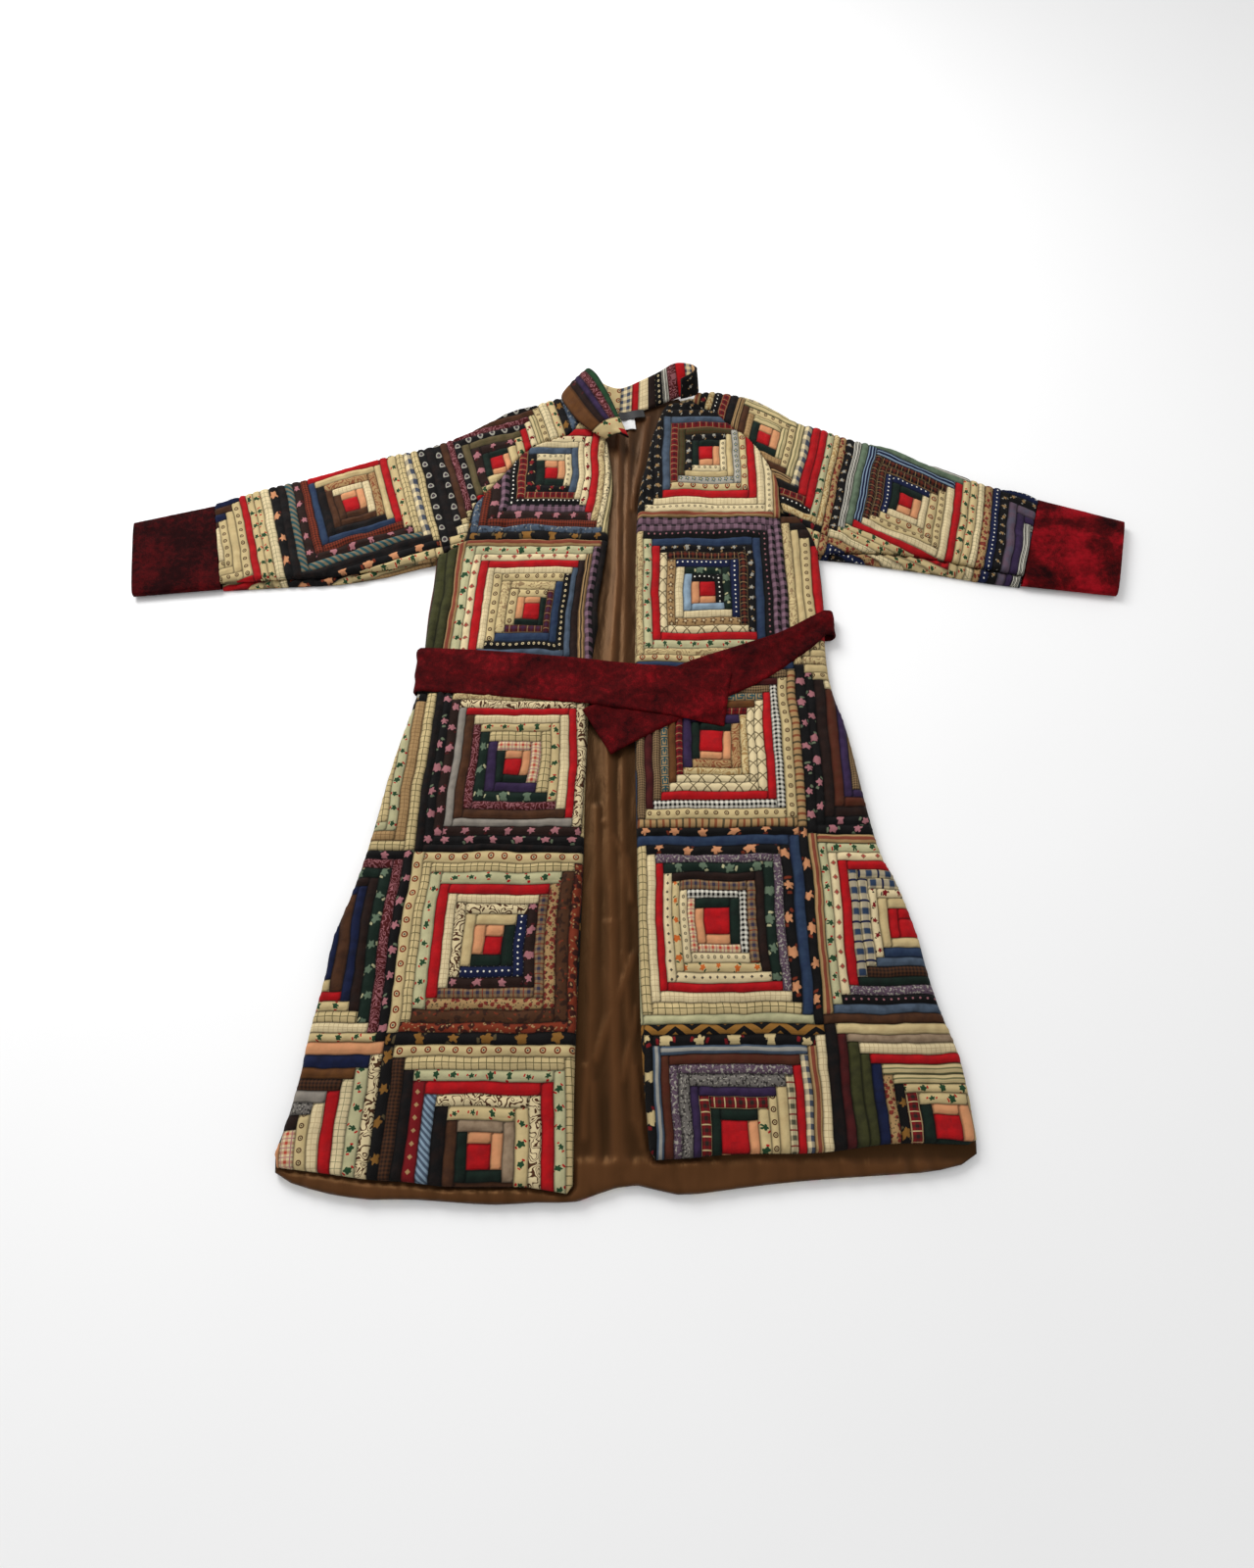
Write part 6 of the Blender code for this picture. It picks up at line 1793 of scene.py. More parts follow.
def closed_sheet(sheet, height):
    """A panel that lies on the floor, with an outer face below whose log seams are drawn up."""
    first, second, owner = rim_edges(sheet.quads)
    count = len(sheet.places)
    drawn_up = 0.0007 * (1 - sheet.puffs)
    rim = np.unique(np.concatenate([first, second]))
    drawn_up[rim] = np.maximum(drawn_up[rim], BULGE_UP * height[rim])
    top = np.column_stack([sheet.places, height])
    low = np.column_stack([sheet.places, drawn_up])
    wall = np.stack([second, first, count + first, count + second], axis=1)
    quads = np.vstack([sheet.quads, sheet.quads[:, ::-1] + count, wall])
    cloths = np.concatenate([sheet.cloths, sheet.cloths, sheet.cloths[owner]])
    prints = np.concatenate([sheet.prints, sheet.prints[:, ::-1], sheet.prints[owner]])
    return Sheet(np.vstack([top, low]), quads, cloths, prints, np.concatenate([sheet.puffs, sheet.puffs]))


# The belt's hidden stretch runs between the places where the shown ones turn under
BELT_UNDER = (BELT_LEFT[0], BELT_RIGHT[0])


def hollow(places):
    """How far the back's underside lifts off the floor to clear the belt behind it."""
    start = np.array(BELT_UNDER[0][:2])
    way = np.array(BELT_UNDER[1][:2]) - start
    normal = np.array([-way[1], way[0]]) / np.linalg.norm(way)
    off = np.abs((places - start) @ normal) - HOLLOW_HALF
    return HOLLOW_RISE * np.clip(1 - off / HOLLOW_RAMP, 0, 1)


class COAT_OT_back(bpy.types.Operator):
    """Make the quilted back, which lies on the floor"""

    bl_idname = "coat.back"
    bl_label = "Back"

    def execute(self, context):
        outline = back_outline()
        sheet, survey = patchwork(outline, back_cells(), BACK_CHARTS, 2, 41)
        share = SIDE_MIDDLE + (1 - SIDE_MIDDLE) * np.clip(survey.depth / EDGE_TURN, 0, 1)
        closed = closed_sheet(sheet, BACK_WALL * share)
        underside = closed.places[len(sheet.places) :]
        underside[:, 2] += hollow(underside[:, :2])
        item = cloth_object("back_cloth", closed)
        declare_panel(item, outline, "back", [])
        return {"FINISHED"}


# The back's blocks stand in a plain grid
BACK_STEP = 0.256
BACK_CHARTS = ("L3", "R2", "R4", "L4", "L1", "R3", "L2", "R5", "L5", "R1", "L3", "R4", "L4", "L2", "R2", "L5",
               "R3", "L1", "R5", "L4")


def back_cells():
    """The blocks of the coat's back, in five rows of four."""
    cells = []
    for row in range(5):
        for column in range(4):
            centre = np.array([(column - 1.5) * BACK_STEP, 1.02 - row * BACK_STEP])
            half = BACK_STEP / 2
            cells.append(np.array([[centre + (u * half, v * half) for u in (-1, 0, 1)] for v in (-1, 0, 1)]))
    return cells


LINING_CELL = 0.0034
LINING_HIDDEN = 0.075
LINING_EASE = 1.04
LINING_TURN = 0.005
# Folds that sweep across the lining lower down
LINING_CREASES = folds(
    (-30, 400, 0, 345, 5.5, 3),
    (0, 345, 6, 290, 5.5, 2.8),
    (8, 215, -20, 140, 6.5, 4.2),
    (-20, 140, -38, 90, 6.5, 3.8),
    (14, 150, -6, 64, 5.5, 3.6),
    (-48, 80, -50, 0, 5.5, 3),
    (8, 80, 20, -10, 5.5, 3.4),
)


class COAT_OT_lining(bpy.types.Operator):
    """Make the brown lining, which shows down the opening and past the hem"""

    bl_idname = "coat.lining"
    bl_label = "Lining"

    def execute(self, context):
        outline = back_outline()
        fronts = front_outlines()
        low = outline.points.min(axis=0) - LINING_CELL
        high = outline.points.max(axis=0) + LINING_CELL
        columns = np.arange(low[0], high[0], LINING_CELL)
        rows = np.arange(low[1], high[1], LINING_CELL)
        x, y = (grid.ravel() for grid in np.meshgrid(columns, rows))
        places = np.column_stack([x, y])
        quads = grid_quads(len(rows), len(columns))
        clear = np.full(len(places), 1.0)
        near = (np.abs(x) < 0.18) | (y < 0.06) | (y > 0.99)
        for front in fronts:
            clear[near] = np.minimum(clear[near], -front.survey(places[near]).depth)
        shown = near & (clear > -LINING_HIDDEN)
        kept = shown[quads].all(axis=1)
        no_cloths = np.zeros(kept.sum(), int)
        no_prints = np.zeros((kept.sum(), 4, 2))
        sheet = Sheet(places, quads[kept], no_cloths, no_prints, np.ones(len(places)))
        sheet, survey = cut_to(sheet, outline)
        clear = np.full(len(sheet.places), 1.0)
        for front in fronts:
            clear = np.minimum(clear, -front.survey(sheet.places).depth)
        height = lining_height(sheet.places, survey, clear)
        item = make_object("back_lining_cloth", *lining_mesh(sheet, height))
        item.data.materials.append(satin_material())
        size = outline.points.max(axis=0) - outline.points.min(axis=0)
        flat = (round(float(size[0]), 3), round(float(size[1]), 3))
        area = round(len(sheet.quads) * LINING_CELL**2 * LINING_EASE, 4)
        declare(item, "back_lining", "lining", flat=flat, held="laid", rests_on=["back_cloth"], area=area)
        return {"FINISHED"}


def lining_height(places, survey, clear):
    """The lining's folds down the opening, and the puckered roll of its hem."""
    x, y = places[:, 0], places[:, 1]
    free = np.clip((clear - 0.0022) / 0.0045, 0, 1)
    height = np.max([fold_height([fold], places) for fold in LINING_FOLDS], axis=0)
    height = np.maximum(height, np.max([fold_height([fold], places) for fold in LINING_CREASES], axis=0))
    wander = soft_noise(x / 0.014 + 0.6 * soft_noise(x / 0.05, y / 0.07, 52), y / 0.085, 51)
    height += 0.0007 * wander * (y > -0.03)
    height += 0.0005 * soft_noise(x / 0.006, y / 0.03, 53)
    past = np.clip((HEM_ROLL_TOP - y) / 0.010, 0, 1)
    pucker = np.sin(TURN * x / HEM_PUCKER_PITCH + 1.4 * soft_noise(x / 0.09, y * 0, 54))
    fine = soft_noise(x / 0.0068, y / 0.02, 55)
    height += past * (HEM_ROLL_RISE + HEM_PUCKER * pucker * 0.8 + 0.0009 * fine)
    return LINING_FLOOR + LINING_WALL + height * free * rounded(survey.depth / LINING_TURN)


def lining_mesh(sheet, height):
    """The lining's points and quads, with its edge turned down to the back."""
    first, second, _ = rim_edges(sheet.quads)
    rim = np.unique(np.concatenate([first, second]))
    number = np.full(len(sheet.places), -1)
    number[rim] = np.arange(len(rim)) + len(sheet.places)
    top = np.column_stack([sheet.places, height])
    low = np.column_stack([sheet.places[rim], np.full(len(rim), LINING_FLOOR)])
    wall = np.stack([second, first, number[first], number[second]], axis=1)
    return np.vstack([top, low]), np.vstack([sheet.quads, wall])
# The collar's strips: the first and the last station, the lowest and the highest part of the band, and
# the cloth
Strip = namedtuple("Strip", "first last low high cloth")


def strips(rows):
    """Strips, from the rows of a table."""
    words = [row.split() for row in rows.strip().splitlines()]
    return [Strip(*map(float, numbers), cloth) for *numbers, cloth in words]


COLLAR_OUTSIDE = strips("""
0 1 0 1 cream_sprigs
0 0.35 0.7 1 bright_red
1 5 0 0.34 ochre_brown
1 5 0.34 0.5 pink_clusters
1 5 0.5 0.66 purple
1 5 0.66 0.83 maroon_scribble
1 5 0.83 1 green
5 6.2 0 1 maroon_scribble
6.2 7.4 0 1 black
7.4 8.6 0 1 navy_dots
8.6 9.6 0 1 bright_red
9.6 10.6 0 1 dot_chain
10.6 13 0 1 small_flowers
""")
COLLAR_INSIDE = strips("""
0 4.4 0 0.5 cream_sprigs
0 4.4 0.5 1 bright_red
4.4 5.6 0 1 pink_clusters
5.6 6.4 0 1 cream_check
6.4 7.1 0 1 peach_rings
7.1 7.6 0 1 blue_gingham
7.6 7.9 0 1 bright_red
7.9 8.4 0 1 cream_check
8.4 8.8 0 1 dark_brown
8.8 9.2 0 1 dot_chain
9.2 9.5 0 1 black_white_stripe
9.5 10 0 1 maroon_scribble
10 10.5 0 1 bright_red
10.5 11 0 1 blue_gingham
11 12 0 1 orange_stripe
12 13 0 1 cream_check
""")
COLLAR_AROUND = 260
COLLAR_UP = 26
# How far apart two stations are and how high the band is, roughly, and how wide a strip's puffed edge is
STATION_LENGTH = 0.033
COLLAR_HIGH = 0.047
STRIP_EDGE = 0.0045
# The cut of the collar, and how much of its height the shape of its ends leaves
COLLAR_CUT = 0.058
COLLAR_CUT_SHOWN = 0.050
# Strips higher than this reach from the seam to the free edge, and their cloth runs upwards
FULL_HEIGHT = 0.9


def collar_places():
    """The places of the collar's middle surface and its normals, from the left end to the right."""
    stations = curve_through(COLLAR, COLLAR_AROUND)
    share = np.linspace(0, 1, COLLAR_UP + 1)[None, :, None]
    middle = stations[:, None, 0:3] * (1 - share) + stations[:, None, 3:6] * share
    middle[..., 2] += stations[:, 6:7] * np.sin(math.pi * share[..., 0])
    normal = np.cross(np.gradient(middle, axis=0), np.gradient(middle, axis=1))
    normal /= np.linalg.norm(normal, axis=2)[..., None]
    return middle, normal


def strip_at(strips, station, share):
    """The last strip of a table that holds a station and a height."""
    held = [s for s in strips if s.first <= station <= s.last and s.low <= share <= s.high]
    return held[-1] if held else strips[0]


def strip_puff(strips, station, share):
    """How far up its puffed strip a place of the collar is."""
    strip = strip_at(strips, station, share)
    across = 1.0
    if strip.high - strip.low < FULL_HEIGHT:
        across = min(share - strip.low, strip.high - share) * COLLAR_HIGH
    along = min(station - strip.first, strip.last - station) * STATION_LENGTH
    return min(1.0, min(abs(across), abs(along)) / STRIP_EDGE)


def collar_face(strips, side, around, high):
    """One face of the collar: how thick it is at each point, its puffs, and its quads' cloths and prints."""
    stations = np.linspace(0, len(COLLAR) - 1, COLLAR_AROUND)
    shares = np.linspace(0, 1, COLLAR_UP + 1)
    puffs = np.array([[strip_puff(strips, station, share) for share in shares] for station in stations])
    bumps = soft_noise(around[:, None] / 0.012, high[None] / 0.010, 61 + side)
    thick = COLLAR_WALL / 2 + 0.0012 * puffs**0.6 - 0.0006 + 0.0007 * bumps
    thick = thick * rounded(np.minimum(shares, 1 - shares) / 0.10, 0.35)
    cloths = []
    prints = []
    for i, station in enumerate((stations[1:] + stations[:-1]) / 2):
        for j, share in enumerate((shares[1:] + shares[:-1]) / 2):
            strip = strip_at(strips, station, share)
            corners = [(around[k], high[m]) for k, m in ((i, j), (i + 1, j), (i + 1, j + 1), (i, j + 1))]
            if strip.high - strip.low > FULL_HEIGHT:
                corners = [(v, u) for u, v in corners]
            cloths.append(CLOTH_NUMBER[strip.cloth])
            prints.append(corners[::side])
    return thick, puffs, cloths, prints


class COAT_OT_collar(bpy.types.Operator):
    """Make the stand collar, patchwork on both sides"""

    bl_idname = "coat.collar"
    bl_label = "Collar"

    def execute(self, context):
        middle, normal = collar_places()
        around = lengths_along(middle[:, COLLAR_UP // 2])
        high = lengths_along(middle[120])
        inside = collar_face(COLLAR_INSIDE, 1, around, high)
        outside = collar_face(COLLAR_OUTSIDE, -1, around, high)
        points, quads = sheet_between(
            middle + normal * inside[0][..., None],
            middle - normal * outside[0][..., None],
        )
        cloths = inside[2] + outside[2]
        prints = inside[3] + outside[3]
        rim = len(quads) - len(cloths)
        cloths += [CLOTH_NUMBER["pink_clusters"]] * rim
        prints += [[(0.0, 0.0), (0.004, 0.0), (0.004, 0.004), (0.0, 0.004)]] * rim
        puffs = np.concatenate([inside[1].ravel(), outside[1].ravel()])
        item = cloth_object("collar_cloth", Sheet(points, quads, np.array(cloths), np.array(prints), puffs))
        flat = (round(float(around[-1]) * 1.02, 3), COLLAR_CUT)
        area = round(flat[0] * COLLAR_CUT_SHOWN, 4)
        below = ["front_left_cloth"]
        declare(item, "collar", "patchwork", flat=flat, held="folded", rests_on=below, area=area)
        return {"FINISHED"}


CUFF_ALONG = 64
CUFF_AROUND = 150
# A cuff's cut, folded in half lengthwise: its depth twice over, and its way round
CUFF_CUT = (0.32, 0.26)
CUFF_CUT_AREA = 0.0800
# Creases of a cuff: how far along and round it, half its width along and round, and its height
CuffCrease = namedtuple("CuffCrease", "along around wide_along wide_around height")
CUFF_CREASES = [
    CuffCrease(0.18, 0.20, 0.06, 0.10, -0.0012),
    CuffCrease(0.30, 0.30, 0.05, 0.12, 0.0009),
    CuffCrease(0.52, 0.17, 0.07, 0.08, -0.0011),
    CuffCrease(0.70, 0.30, 0.05, 0.09, -0.0010),
    CuffCrease(0.42, 0.36, 0.09, 0.05, 0.0008),
    CuffCrease(0.85, 0.22, 0.04, 0.12, 0.0008),
    CuffCrease(0.62, 0.72, 0.08, 0.10, -0.0008),
    CuffCrease(0.24, 0.80, 0.06, 0.10, -0.0008),
]
CUFF_SUNK = 0.0004
UNDERSIDE_SHARE = 0.15


class COAT_OT_cuffs(bpy.types.Operator):
    """Make the two velvet cuffs, turned in at the wrist"""

    bl_idname = "coat.cuffs"
    bl_label = "Cuffs"

    def execute(self, context):
        for sleeve in sleeves():
            item = make_object(f"cuff_{sleeve.side}_velvet", *cuff_mesh(sleeve))
            item.data.materials.append(velvet_material(f"{sleeve.side} cuff"))
            node = f"cuff_{sleeve.side}"
            declare(item, node, "velvet", flat=CUFF_CUT, held="folded", rests_on=[], area=CUFF_CUT_AREA)
        return {"FINISHED"}


def cuff_bumps(along, turn):
    """How far a cuff's creases and small bumps lift its outer face, round one of its stations."""
    bumps = np.zeros(CUFF_AROUND)
    for crease in CUFF_CREASES:
        off_around = np.abs(turn - crease.around)
        off_around = np.minimum(off_around, 1 - off_around) / crease.wide_around
        off_along = (along - crease.along) / crease.wide_along
        bumps += crease.height * np.exp(-(off_around**2) - off_along**2)
    bumps += 0.0008 * soft_noise(turn * 24, np.full(CUFF_AROUND, along * 9), 71)
    bumps += 0.0004 * soft_noise(turn * 60, np.full(CUFF_AROUND, along * 24), 72)
    return bumps * np.clip(min(along, 1 - along) / 0.06, 0.25, 1) - CUFF_SUNK


def cuff_mesh(sleeve):
    """A cuff's outer face, its rolled wrist edge and its inner face."""
    seam = np.array([sleeve.top[-1], sleeve.under[0]])
    wrist = np.array(sleeve.wrist)
    outward = wrist.mean(axis=0) - seam.mean(axis=0)
    outward /= np.linalg.norm(outward)
    seam = seam + outward * 2 * GAP
    steps = np.linspace(0, 1, CUFF_ALONG)
    stations = [(t, 0.0) for t in steps]
    for angle in np.linspace(0, math.pi, 7)[1:-1]:
        stations.append((1.0, CUFF_WALL * (1 - math.cos(angle)) / 2))
    stations += [(t, CUFF_WALL) for t in steps[::-1]]
    turn = np.arange(CUFF_AROUND) / CUFF_AROUND
    c, s = np.cos(TURN * turn), np.sin(TURN * turn)
    size = (np.abs(c) ** CUFF_SQUARENESS + np.abs(s) ** CUFF_SQUARENESS) ** (-1 / CUFF_SQUARENESS)
    outside = np.where(s > 0, 1.0, UNDERSIDE_SHARE)
    points = []
    for t, wall in stations:
        upper, lower = seam * (1 - t) + wrist * t
        half = (upper - lower) / 2
        half = half * (1 - wall / np.linalg.norm(half))
        rise = CUFF_HEIGHT / 2 - wall
        if wall == 0.0:
            rise = rise + cuff_bumps(t, turn) * outside
        z = CUFF_HEIGHT / 2 + rise * s * size
        points.append(np.column_stack([(upper + lower) / 2 + half * (c * size)[:, None], np.maximum(z, 0.0)]))
    number = np.arange(len(stations) * CUFF_AROUND).reshape(len(stations), CUFF_AROUND)
    beside = np.roll(number, -1, axis=1)
    quads = np.stack([number[:-1], beside[:-1], beside[1:], number[1:]], axis=2).reshape(-1, 4)
    return np.concatenate(points), quads[:, ::-1] if sleeve.side == "left" else quads


# The middle of the opening, and the belt's slight sag over it
OPENING_X = -0.02
BELT_SAG = 0.0016
BELT_SAG_X = -0.022
BELT_SAG_HALF = 0.026
# How near to the right run's middle line the left one is fully raised, and how wide its ramp is
RAISED_WITHIN = 0.044
RAISED_RAMP = 0.018


def coat_top(places):
    """The height that the belt lies on: the fronts' folds, with a slight sag over the opening."""
    x = places[:, 0]
    left = fold_height(LEFT_FRONT_FOLDS, places) * (x < OPENING_X)
    right = fold_height(RIGHT_FRONT_FOLDS, places) * (x > OPENING_X)
    sag = BELT_SAG * np.exp(-(((x - BELT_SAG_X) / BELT_SAG_HALF) ** 2))
    return FRONT_TOP + left + right - sag + BELT_CLEAR


def over_right_run(places):
    """How far the left run rises to pass over the right one."""
    line = np.array([(s.x, s.y) for s in BELT_RIGHT])
    nearest = np.min([off_line(places, a, b) for a, b in zip(line, line[1:])], axis=0)
    return (VELVET_WALL + 2 * GAP) * np.clip((RAISED_WITHIN + RAISED_RAMP - nearest) / RAISED_RAMP, 0, 1)


BELT_STEP = 0.0028
BELT_ACROSS = 30
BELT_CUT = 0.080


def belt_grid(stations, lift, side):
    """A belt run's inner face, from under the coat's side to its free end, and how far along each row is."""
    rows = curve_through(stations, 400)
    along = lengths_along(rows[:, :2])
    places = np.linspace(0, along[-1], round(along[-1] / BELT_STEP) + 1)
    rows = np.stack([np.interp(places, along, rows[:, i]) for i in range(3)], axis=1)
    way = np.gradient(rows[:, :2], axis=0)
    way /= np.linalg.norm(way, axis=1)[:, None]
    square = np.clip(1 - places / BELT_SQUARE_FOR, 0, 1)[:, None]
    way = way * (1 - square) + np.array([side, 0.0]) * square
    way /= np.linalg.norm(way, axis=1)[:, None]
    across = np.stack([-way[:, 1], way[:, 0]], axis=1)
    fractions = np.linspace(-0.5, 0.5, BELT_ACROSS + 1)
    start_x, start_y, start_width = rows[0]
    radius = (coat_top(rows[:1, :2])[0] - VELVET_WALL) / 2
    sections = [(side * BELT_TURN_IN, VELVET_WALL), (side * BELT_TURN_IN * 0.5, VELVET_WALL)]
    for angle in np.radians(np.linspace(-90, 70, 17)):
        out = BELT_SIDE_BULGE + 0.75 * radius * math.cos(angle)
        sections.append((-side * out, VELVET_WALL + radius * (1 + math.sin(angle))))
    start_across = start_y + side * fractions * start_width
    grid = [[(start_x + shift, y, z) for y in start_across] for shift, z in sections]
    length = np.concatenate([np.linspace(-0.05, 0, len(grid)), places])
    for (x, y, width), sideways in zip(rows, across):
        flat = np.array([x, y]) + fractions[:, None] * sideways * width
        grid.append(np.column_stack([flat, coat_top(flat) + (lift(flat) if lift else 0.0)]))
    return np.array([np.array(row) for row in grid]), length, fractions


def belt_mesh(stations, lift, side, seed):
    """A belt run's outer and inner faces."""
    grid, length, fractions = belt_grid(stations, lift, side)
    up = np.cross(np.gradient(grid, axis=0), np.gradient(grid, axis=1))
    up /= np.linalg.norm(up, axis=2)[..., None]
    if up[-1, 0, 2] < 0:
        up = -up
    up[:2] = (0, 0, -1)
    t = length[:, None]
    f = fractions[None] * BELT_WIDTH
    bumps = 0.0011 * soft_noise(t / 0.034 + f / 0.05, f / 0.016, seed)
    bumps = bumps + 0.0006 * soft_noise(t / 0.013, f / 0.009, seed + 1)
    bumps[:3] = 0
    off_edge = np.clip((0.5 - np.abs(fractions)) / 0.06, 0, 1)[None]
    off_end = np.clip((length[-1] - length) / 0.004, 0, 1)[:, None]
    thick = VELVET_WALL * rounded(off_edge, 0.3) * rounded(off_end, 0.3) + bumps * off_edge * off_end
    outer = grid + up * thick[..., None]
    outer[:2, :, 2] = np.maximum(outer[:2, :, 2], 0.0)
    return outer, grid


def sheet_between(outer, inner):
    """The points and quads of two grids, joined round their rim."""
    long, wide = outer.shape[:2]
    half = long * wide
    upper = grid_quads(long, wide)[:, [0, 3, 2, 1]]
    ends = []
    for i in range(long - 1):
        a, b = i * wide, (i + 1) * wide
        ends.append((a, a + half, b + half, b))
        ends.append((b + wide - 1, b + wide - 1 + half, a + wide - 1 + half, a + wide - 1))
    for a in range(wide - 1):
        b = (long - 1) * wide + a
        ends.append((a + 1, a + 1 + half, a + half, a))
        ends.append((b, b + half, b + 1 + half, b + 1))
    points = np.concatenate([outer.reshape(-1, 3), inner.reshape(-1, 3)])
    return points, np.concatenate([upper, upper[:, ::-1] + half, np.array(ends)])


def flat_object(name, outer, inner, material):
    """A piece between two grids, with the first grid's face upwards."""
    points, quads = sheet_between(outer, inner)
    a, b, c = (points[quads[len(quads) // 4, k]] for k in (0, 1, 2))
    item = make_object(name, points, quads if np.cross(b - a, c - b)[2] > 0 else quads[:, ::-1])
    item.data.materials.append(material)
    return item


class COAT_OT_belt(bpy.types.Operator):
    """Make the velvet tie belt: two runs on the fronts and the hidden one behind"""

    bl_idname = "coat.belt"
    bl_label = "Belt"

    def execute(self, context):
        velvet = velvet_material("belt")
        below_left = ["front_left_cloth", "belt_right_run_velvet"]
        tables = (
            ("belt_left_run", BELT_LEFT, over_right_run, 1, 81, below_left),
            ("belt_right_run", BELT_RIGHT, None, -1, 83, ["front_right_cloth"]),
        )
        for node, stations, lift, side, seed, below in tables:
            outer, inner = belt_mesh(stations, lift, side, seed)
            item = flat_object(node + "_velvet", outer, inner, velvet)
            length = float(lengths_along(outer[:, BELT_ACROSS // 2])[-1])
            declare(item, node, "velvet", flat=(round(length, 3), BELT_CUT), held="laid", rests_on=below)
        start, end = BELT_UNDER
        x = np.linspace(start.x + BELT_TURN_IN + 2 * GAP, end.x - BELT_TURN_IN - 2 * GAP, 150)
        middle = np.interp(x, [start.x, end.x], [start.y, end.y])
        flat_y = middle[:, None] + np.linspace(-0.5, 0.5, 17)[None] * BELT_WIDTH
        flat_x = np.repeat(x[:, None], 17, axis=1)
        lower = np.stack([flat_x, flat_y, np.zeros_like(flat_x)], axis=2)
        wave = 0.0003 * soft_noise(flat_x / 0.02, flat_y / 0.012, 85)
        upper = np.stack([flat_x, flat_y, VELVET_WALL - 0.0003 + wave], axis=2)
        item = flat_object("belt_back_run_velvet", upper, lower, velvet)
        flat = (round(float(x[-1] - x[0]), 3), BELT_WIDTH)
        declare(item, "belt_back_run", "velvet", flat=flat, held="laid", rests_on=[])
        return {"FINISHED"}


# The tapes at the back of the neck: their middle, their size, how far they are turned, in degrees, the height
# of what they lie on, and their slot, ground and thread
Tape = namedtuple("Tape", "name x y long wide turn floor slot ground thread")
TAPES = [
    Tape("neck_label", 0.0080, 1.1200, 0.0420, 0.0160, 12.0, 0.0150,
         "black_tape", (0.035, 0.033, 0.036), (0.10, 0.095, 0.10)),
    Tape("care_tag", 0.0010, 1.1030, 0.0250, 0.0240, 6.0, 0.0124,
         "white_tape", (0.80, 0.80, 0.80), (0.90, 0.90, 0.89)),
]
TAPE_WAVE = 0.0006
TAPE_CREASE = 0.0002


class COAT_OT_tapes(bpy.types.Operator):
    """Make the bare neck label and care tag"""

    bl_idname = "coat.tapes"
    bl_label = "Tapes"

    def execute(self, context):
        for tape in TAPES:
            turn = math.radians(tape.turn)
            along = np.array([math.cos(turn), math.sin(turn)])
            across = np.array([-along[1], along[0]])
            t, f = np.meshgrid(np.linspace(-0.5, 0.5, 33), np.linspace(-0.5, 0.5, 17), indexing="ij")
            flat = np.array([tape.x, tape.y]) + t[..., None] * along * tape.long
            flat = flat + f[..., None] * across * tape.wide
            wave = TAPE_WAVE * np.sin(3 * math.pi * t) + TAPE_CREASE * soft_noise(t * 5, f * 4, 91)
            lower = np.concatenate([flat, (tape.floor + wave)[..., None]], axis=2)
            material = tape_material(tape.slot.replace("_", " ").capitalize(), tape.ground, tape.thread)
            item = flat_object(tape.name + "_tape", lower + np.array([0.0, 0.0, TAPE_WALL]), lower, material)
            flat_size = (tape.long, tape.wide)
            declare(item, tape.name, tape.slot, flat=flat_size, held="laid", rests_on=["back_lining_cloth"])
        return {"FINISHED"}


CAMERA_PLACE = (-0.00375, -0.67646, 1.2306)
CAMERA_TILT = 24.94
CAMERA_LENS = 22.70
CAMERA_SENSOR = 36.0
FLOOR_HALF = 6.0
FLOOR_TOP = -0.0006
FLOOR_COLOUR = (0.93, 0.93, 0.93)
FLOOR_CLOUD = 0.01
LIGHT_PLACE = (-0.9, 1.3, 1.5)
LIGHT_SIZE = (1.1, 1.2)
WORLD_STRENGTH = 0.75


def make_floor():
    """The pale floor, which belongs to the stage."""
    data = bpy.data.meshes.new("floor")
    corners = [(x * FLOOR_HALF, y * FLOOR_HALF, FLOOR_TOP) for x, y in ((-1, -1), (1, -1), (1, 1), (-1, 1))]
    data.from_pydata(corners, [], [(0, 1, 2, 3)])
    floor = bpy.data.objects.new("floor", data)
    bpy.context.scene.collection.objects.link(floor)
    material, graph, shader = new_material("Pale floor")
    tone = graph.noise(graph.place(), 3.0, 2.0).ramp(0.0, 1.0)
    shade = linear(tuple(c - FLOOR_CLOUD for c in FLOOR_COLOUR))
    graph.feed(shader.inputs["Base Color"], graph.blend(tone, linear(FLOOR_COLOUR), shade))
    shader.inputs["Roughness"].default_value = 0.9
    data.materials.append(material)


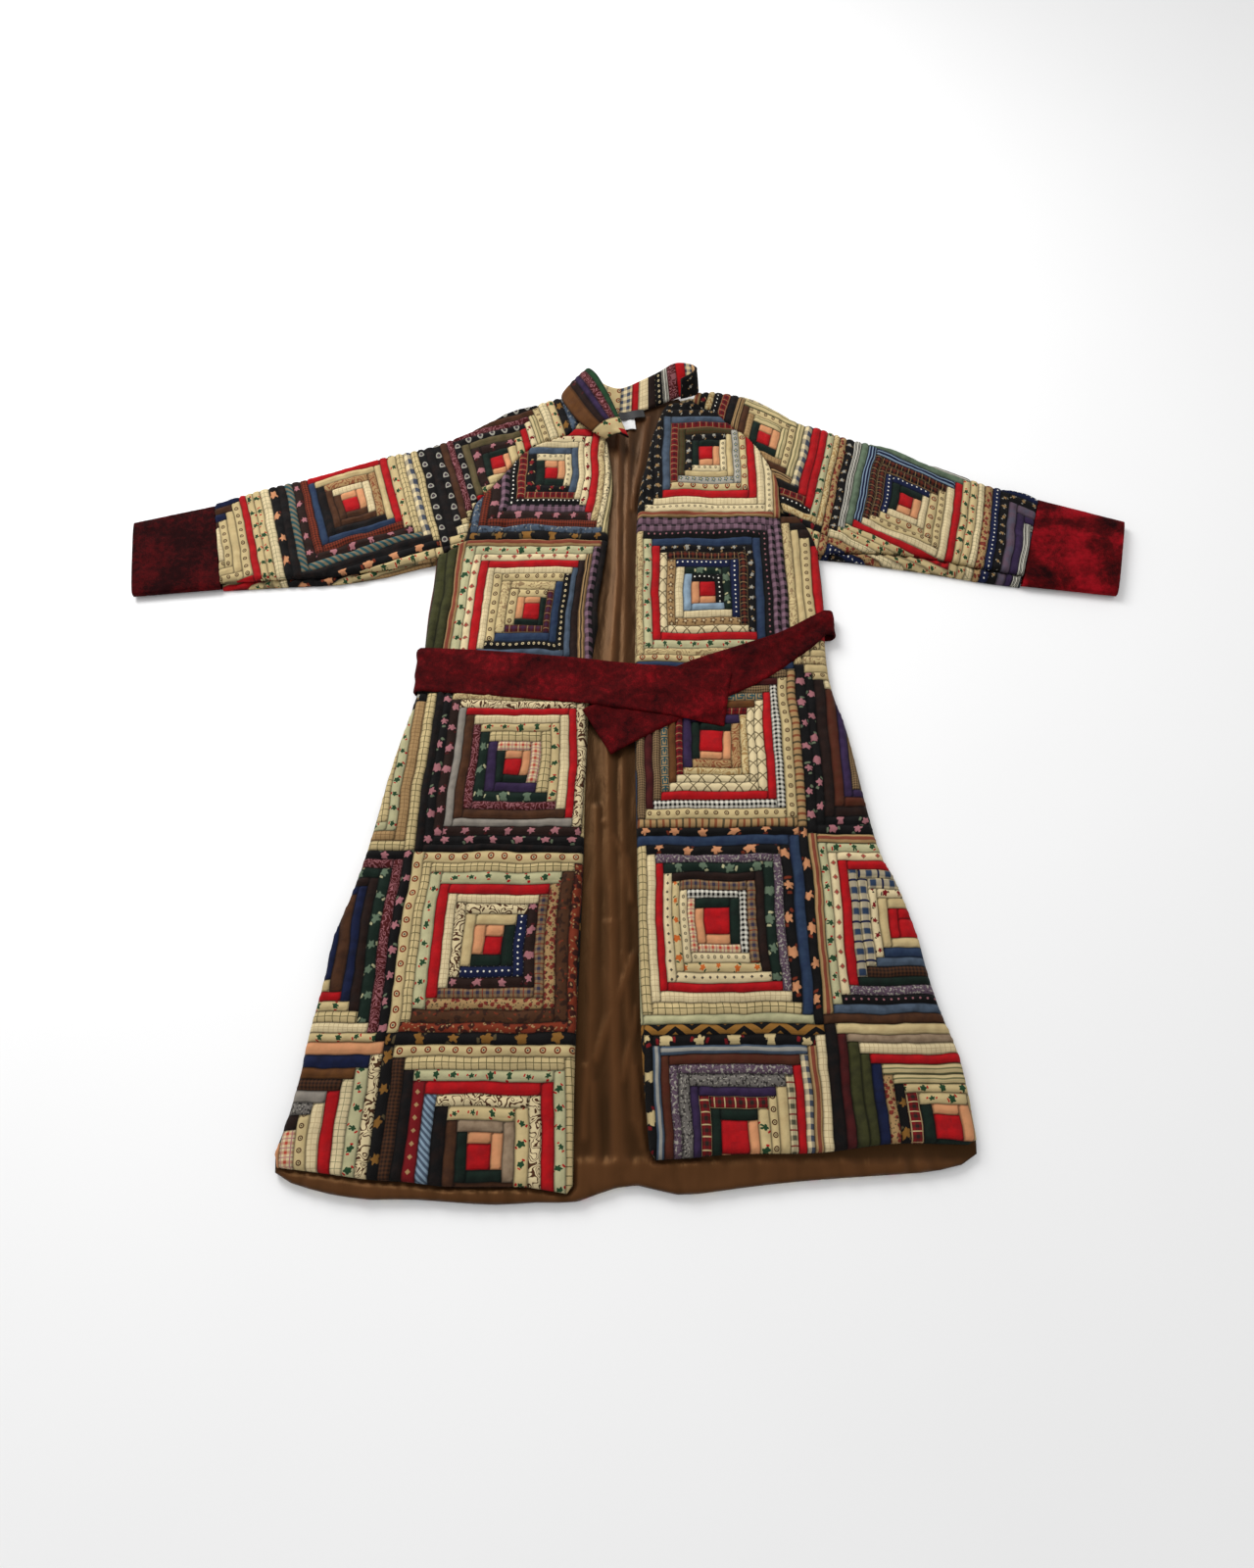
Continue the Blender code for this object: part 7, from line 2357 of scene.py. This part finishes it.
class COAT_OT_stage(bpy.types.Operator):
    """Make the floor, the soft light and the camera at the photo's angle"""

    bl_idname = "coat.stage"
    bl_label = "Stage"

    def execute(self, context):
        scene = context.scene
        make_floor()
        world = bpy.data.worlds.new("Soft studio")
        world.use_nodes = True
        background = world.node_tree.nodes["Background"].inputs
        background["Color"].default_value = (1.0, 1.0, 1.0, 1.0)
        background["Strength"].default_value = WORLD_STRENGTH
        scene.world = world
        lamp = bpy.data.lights.new("Soft light", "AREA")
        lamp.shape = "RECTANGLE"
        lamp.size, lamp.size_y = LIGHT_SIZE
        lamp.energy = scene.coat_settings.light_power
        light = bpy.data.objects.new("Soft light", lamp)
        light.location = LIGHT_PLACE
        light.rotation_euler = (-Vector(LIGHT_PLACE)).to_track_quat("-Z", "Y").to_euler()
        scene.collection.objects.link(light)
        lens = bpy.data.cameras.new("Camera")
        lens.lens = CAMERA_LENS
        lens.sensor_width = CAMERA_SENSOR
        camera = bpy.data.objects.new("Camera", lens)
        camera.location = CAMERA_PLACE
        camera.rotation_euler = (math.radians(CAMERA_TILT), 0.0, 0.0)
        scene.collection.objects.link(camera)
        scene.camera = camera
        scene.view_settings.view_transform = "Standard"
        return {"FINISHED"}


OPERATORS = (
    COAT_OT_stage,
    COAT_OT_back,
    COAT_OT_lining,
    COAT_OT_fronts,
    COAT_OT_sleeves,
    COAT_OT_collar,
    COAT_OT_cuffs,
    COAT_OT_belt,
    COAT_OT_tapes,
)


class COAT_PT_panel(bpy.types.Panel):
    """The coat's sizes and its pieces"""

    bl_idname = "COAT_PT_panel"
    bl_label = "Quilted coat"
    bl_space_type = "VIEW_3D"
    bl_region_type = "UI"
    bl_category = "Coat"

    def draw(self, context):
        settings = context.scene.coat_settings
        for name in ("per_log", "seam_dip", "crest", "pucker", "light_power"):
            self.layout.prop(settings, name)
        for operator in OPERATORS:
            self.layout.operator(operator.bl_idname)


CLASSES = (CoatSettings, *OPERATORS, COAT_PT_panel)


def register():
    for item in CLASSES:
        bpy.utils.register_class(item)
    bpy.types.Scene.coat_settings = PointerProperty(type=CoatSettings)


def unregister():
    del bpy.types.Scene.coat_settings
    for item in reversed(CLASSES):
        bpy.utils.unregister_class(item)


def main():
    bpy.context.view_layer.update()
    register()
    bpy.ops.coat.stage()
    bpy.ops.coat.back()
    bpy.ops.coat.lining()
    bpy.ops.coat.fronts()
    bpy.ops.coat.sleeves()
    bpy.ops.coat.collar()
    bpy.ops.coat.cuffs()
    bpy.ops.coat.belt()
    bpy.ops.coat.tapes()


if __name__ == "__main__":
    main()
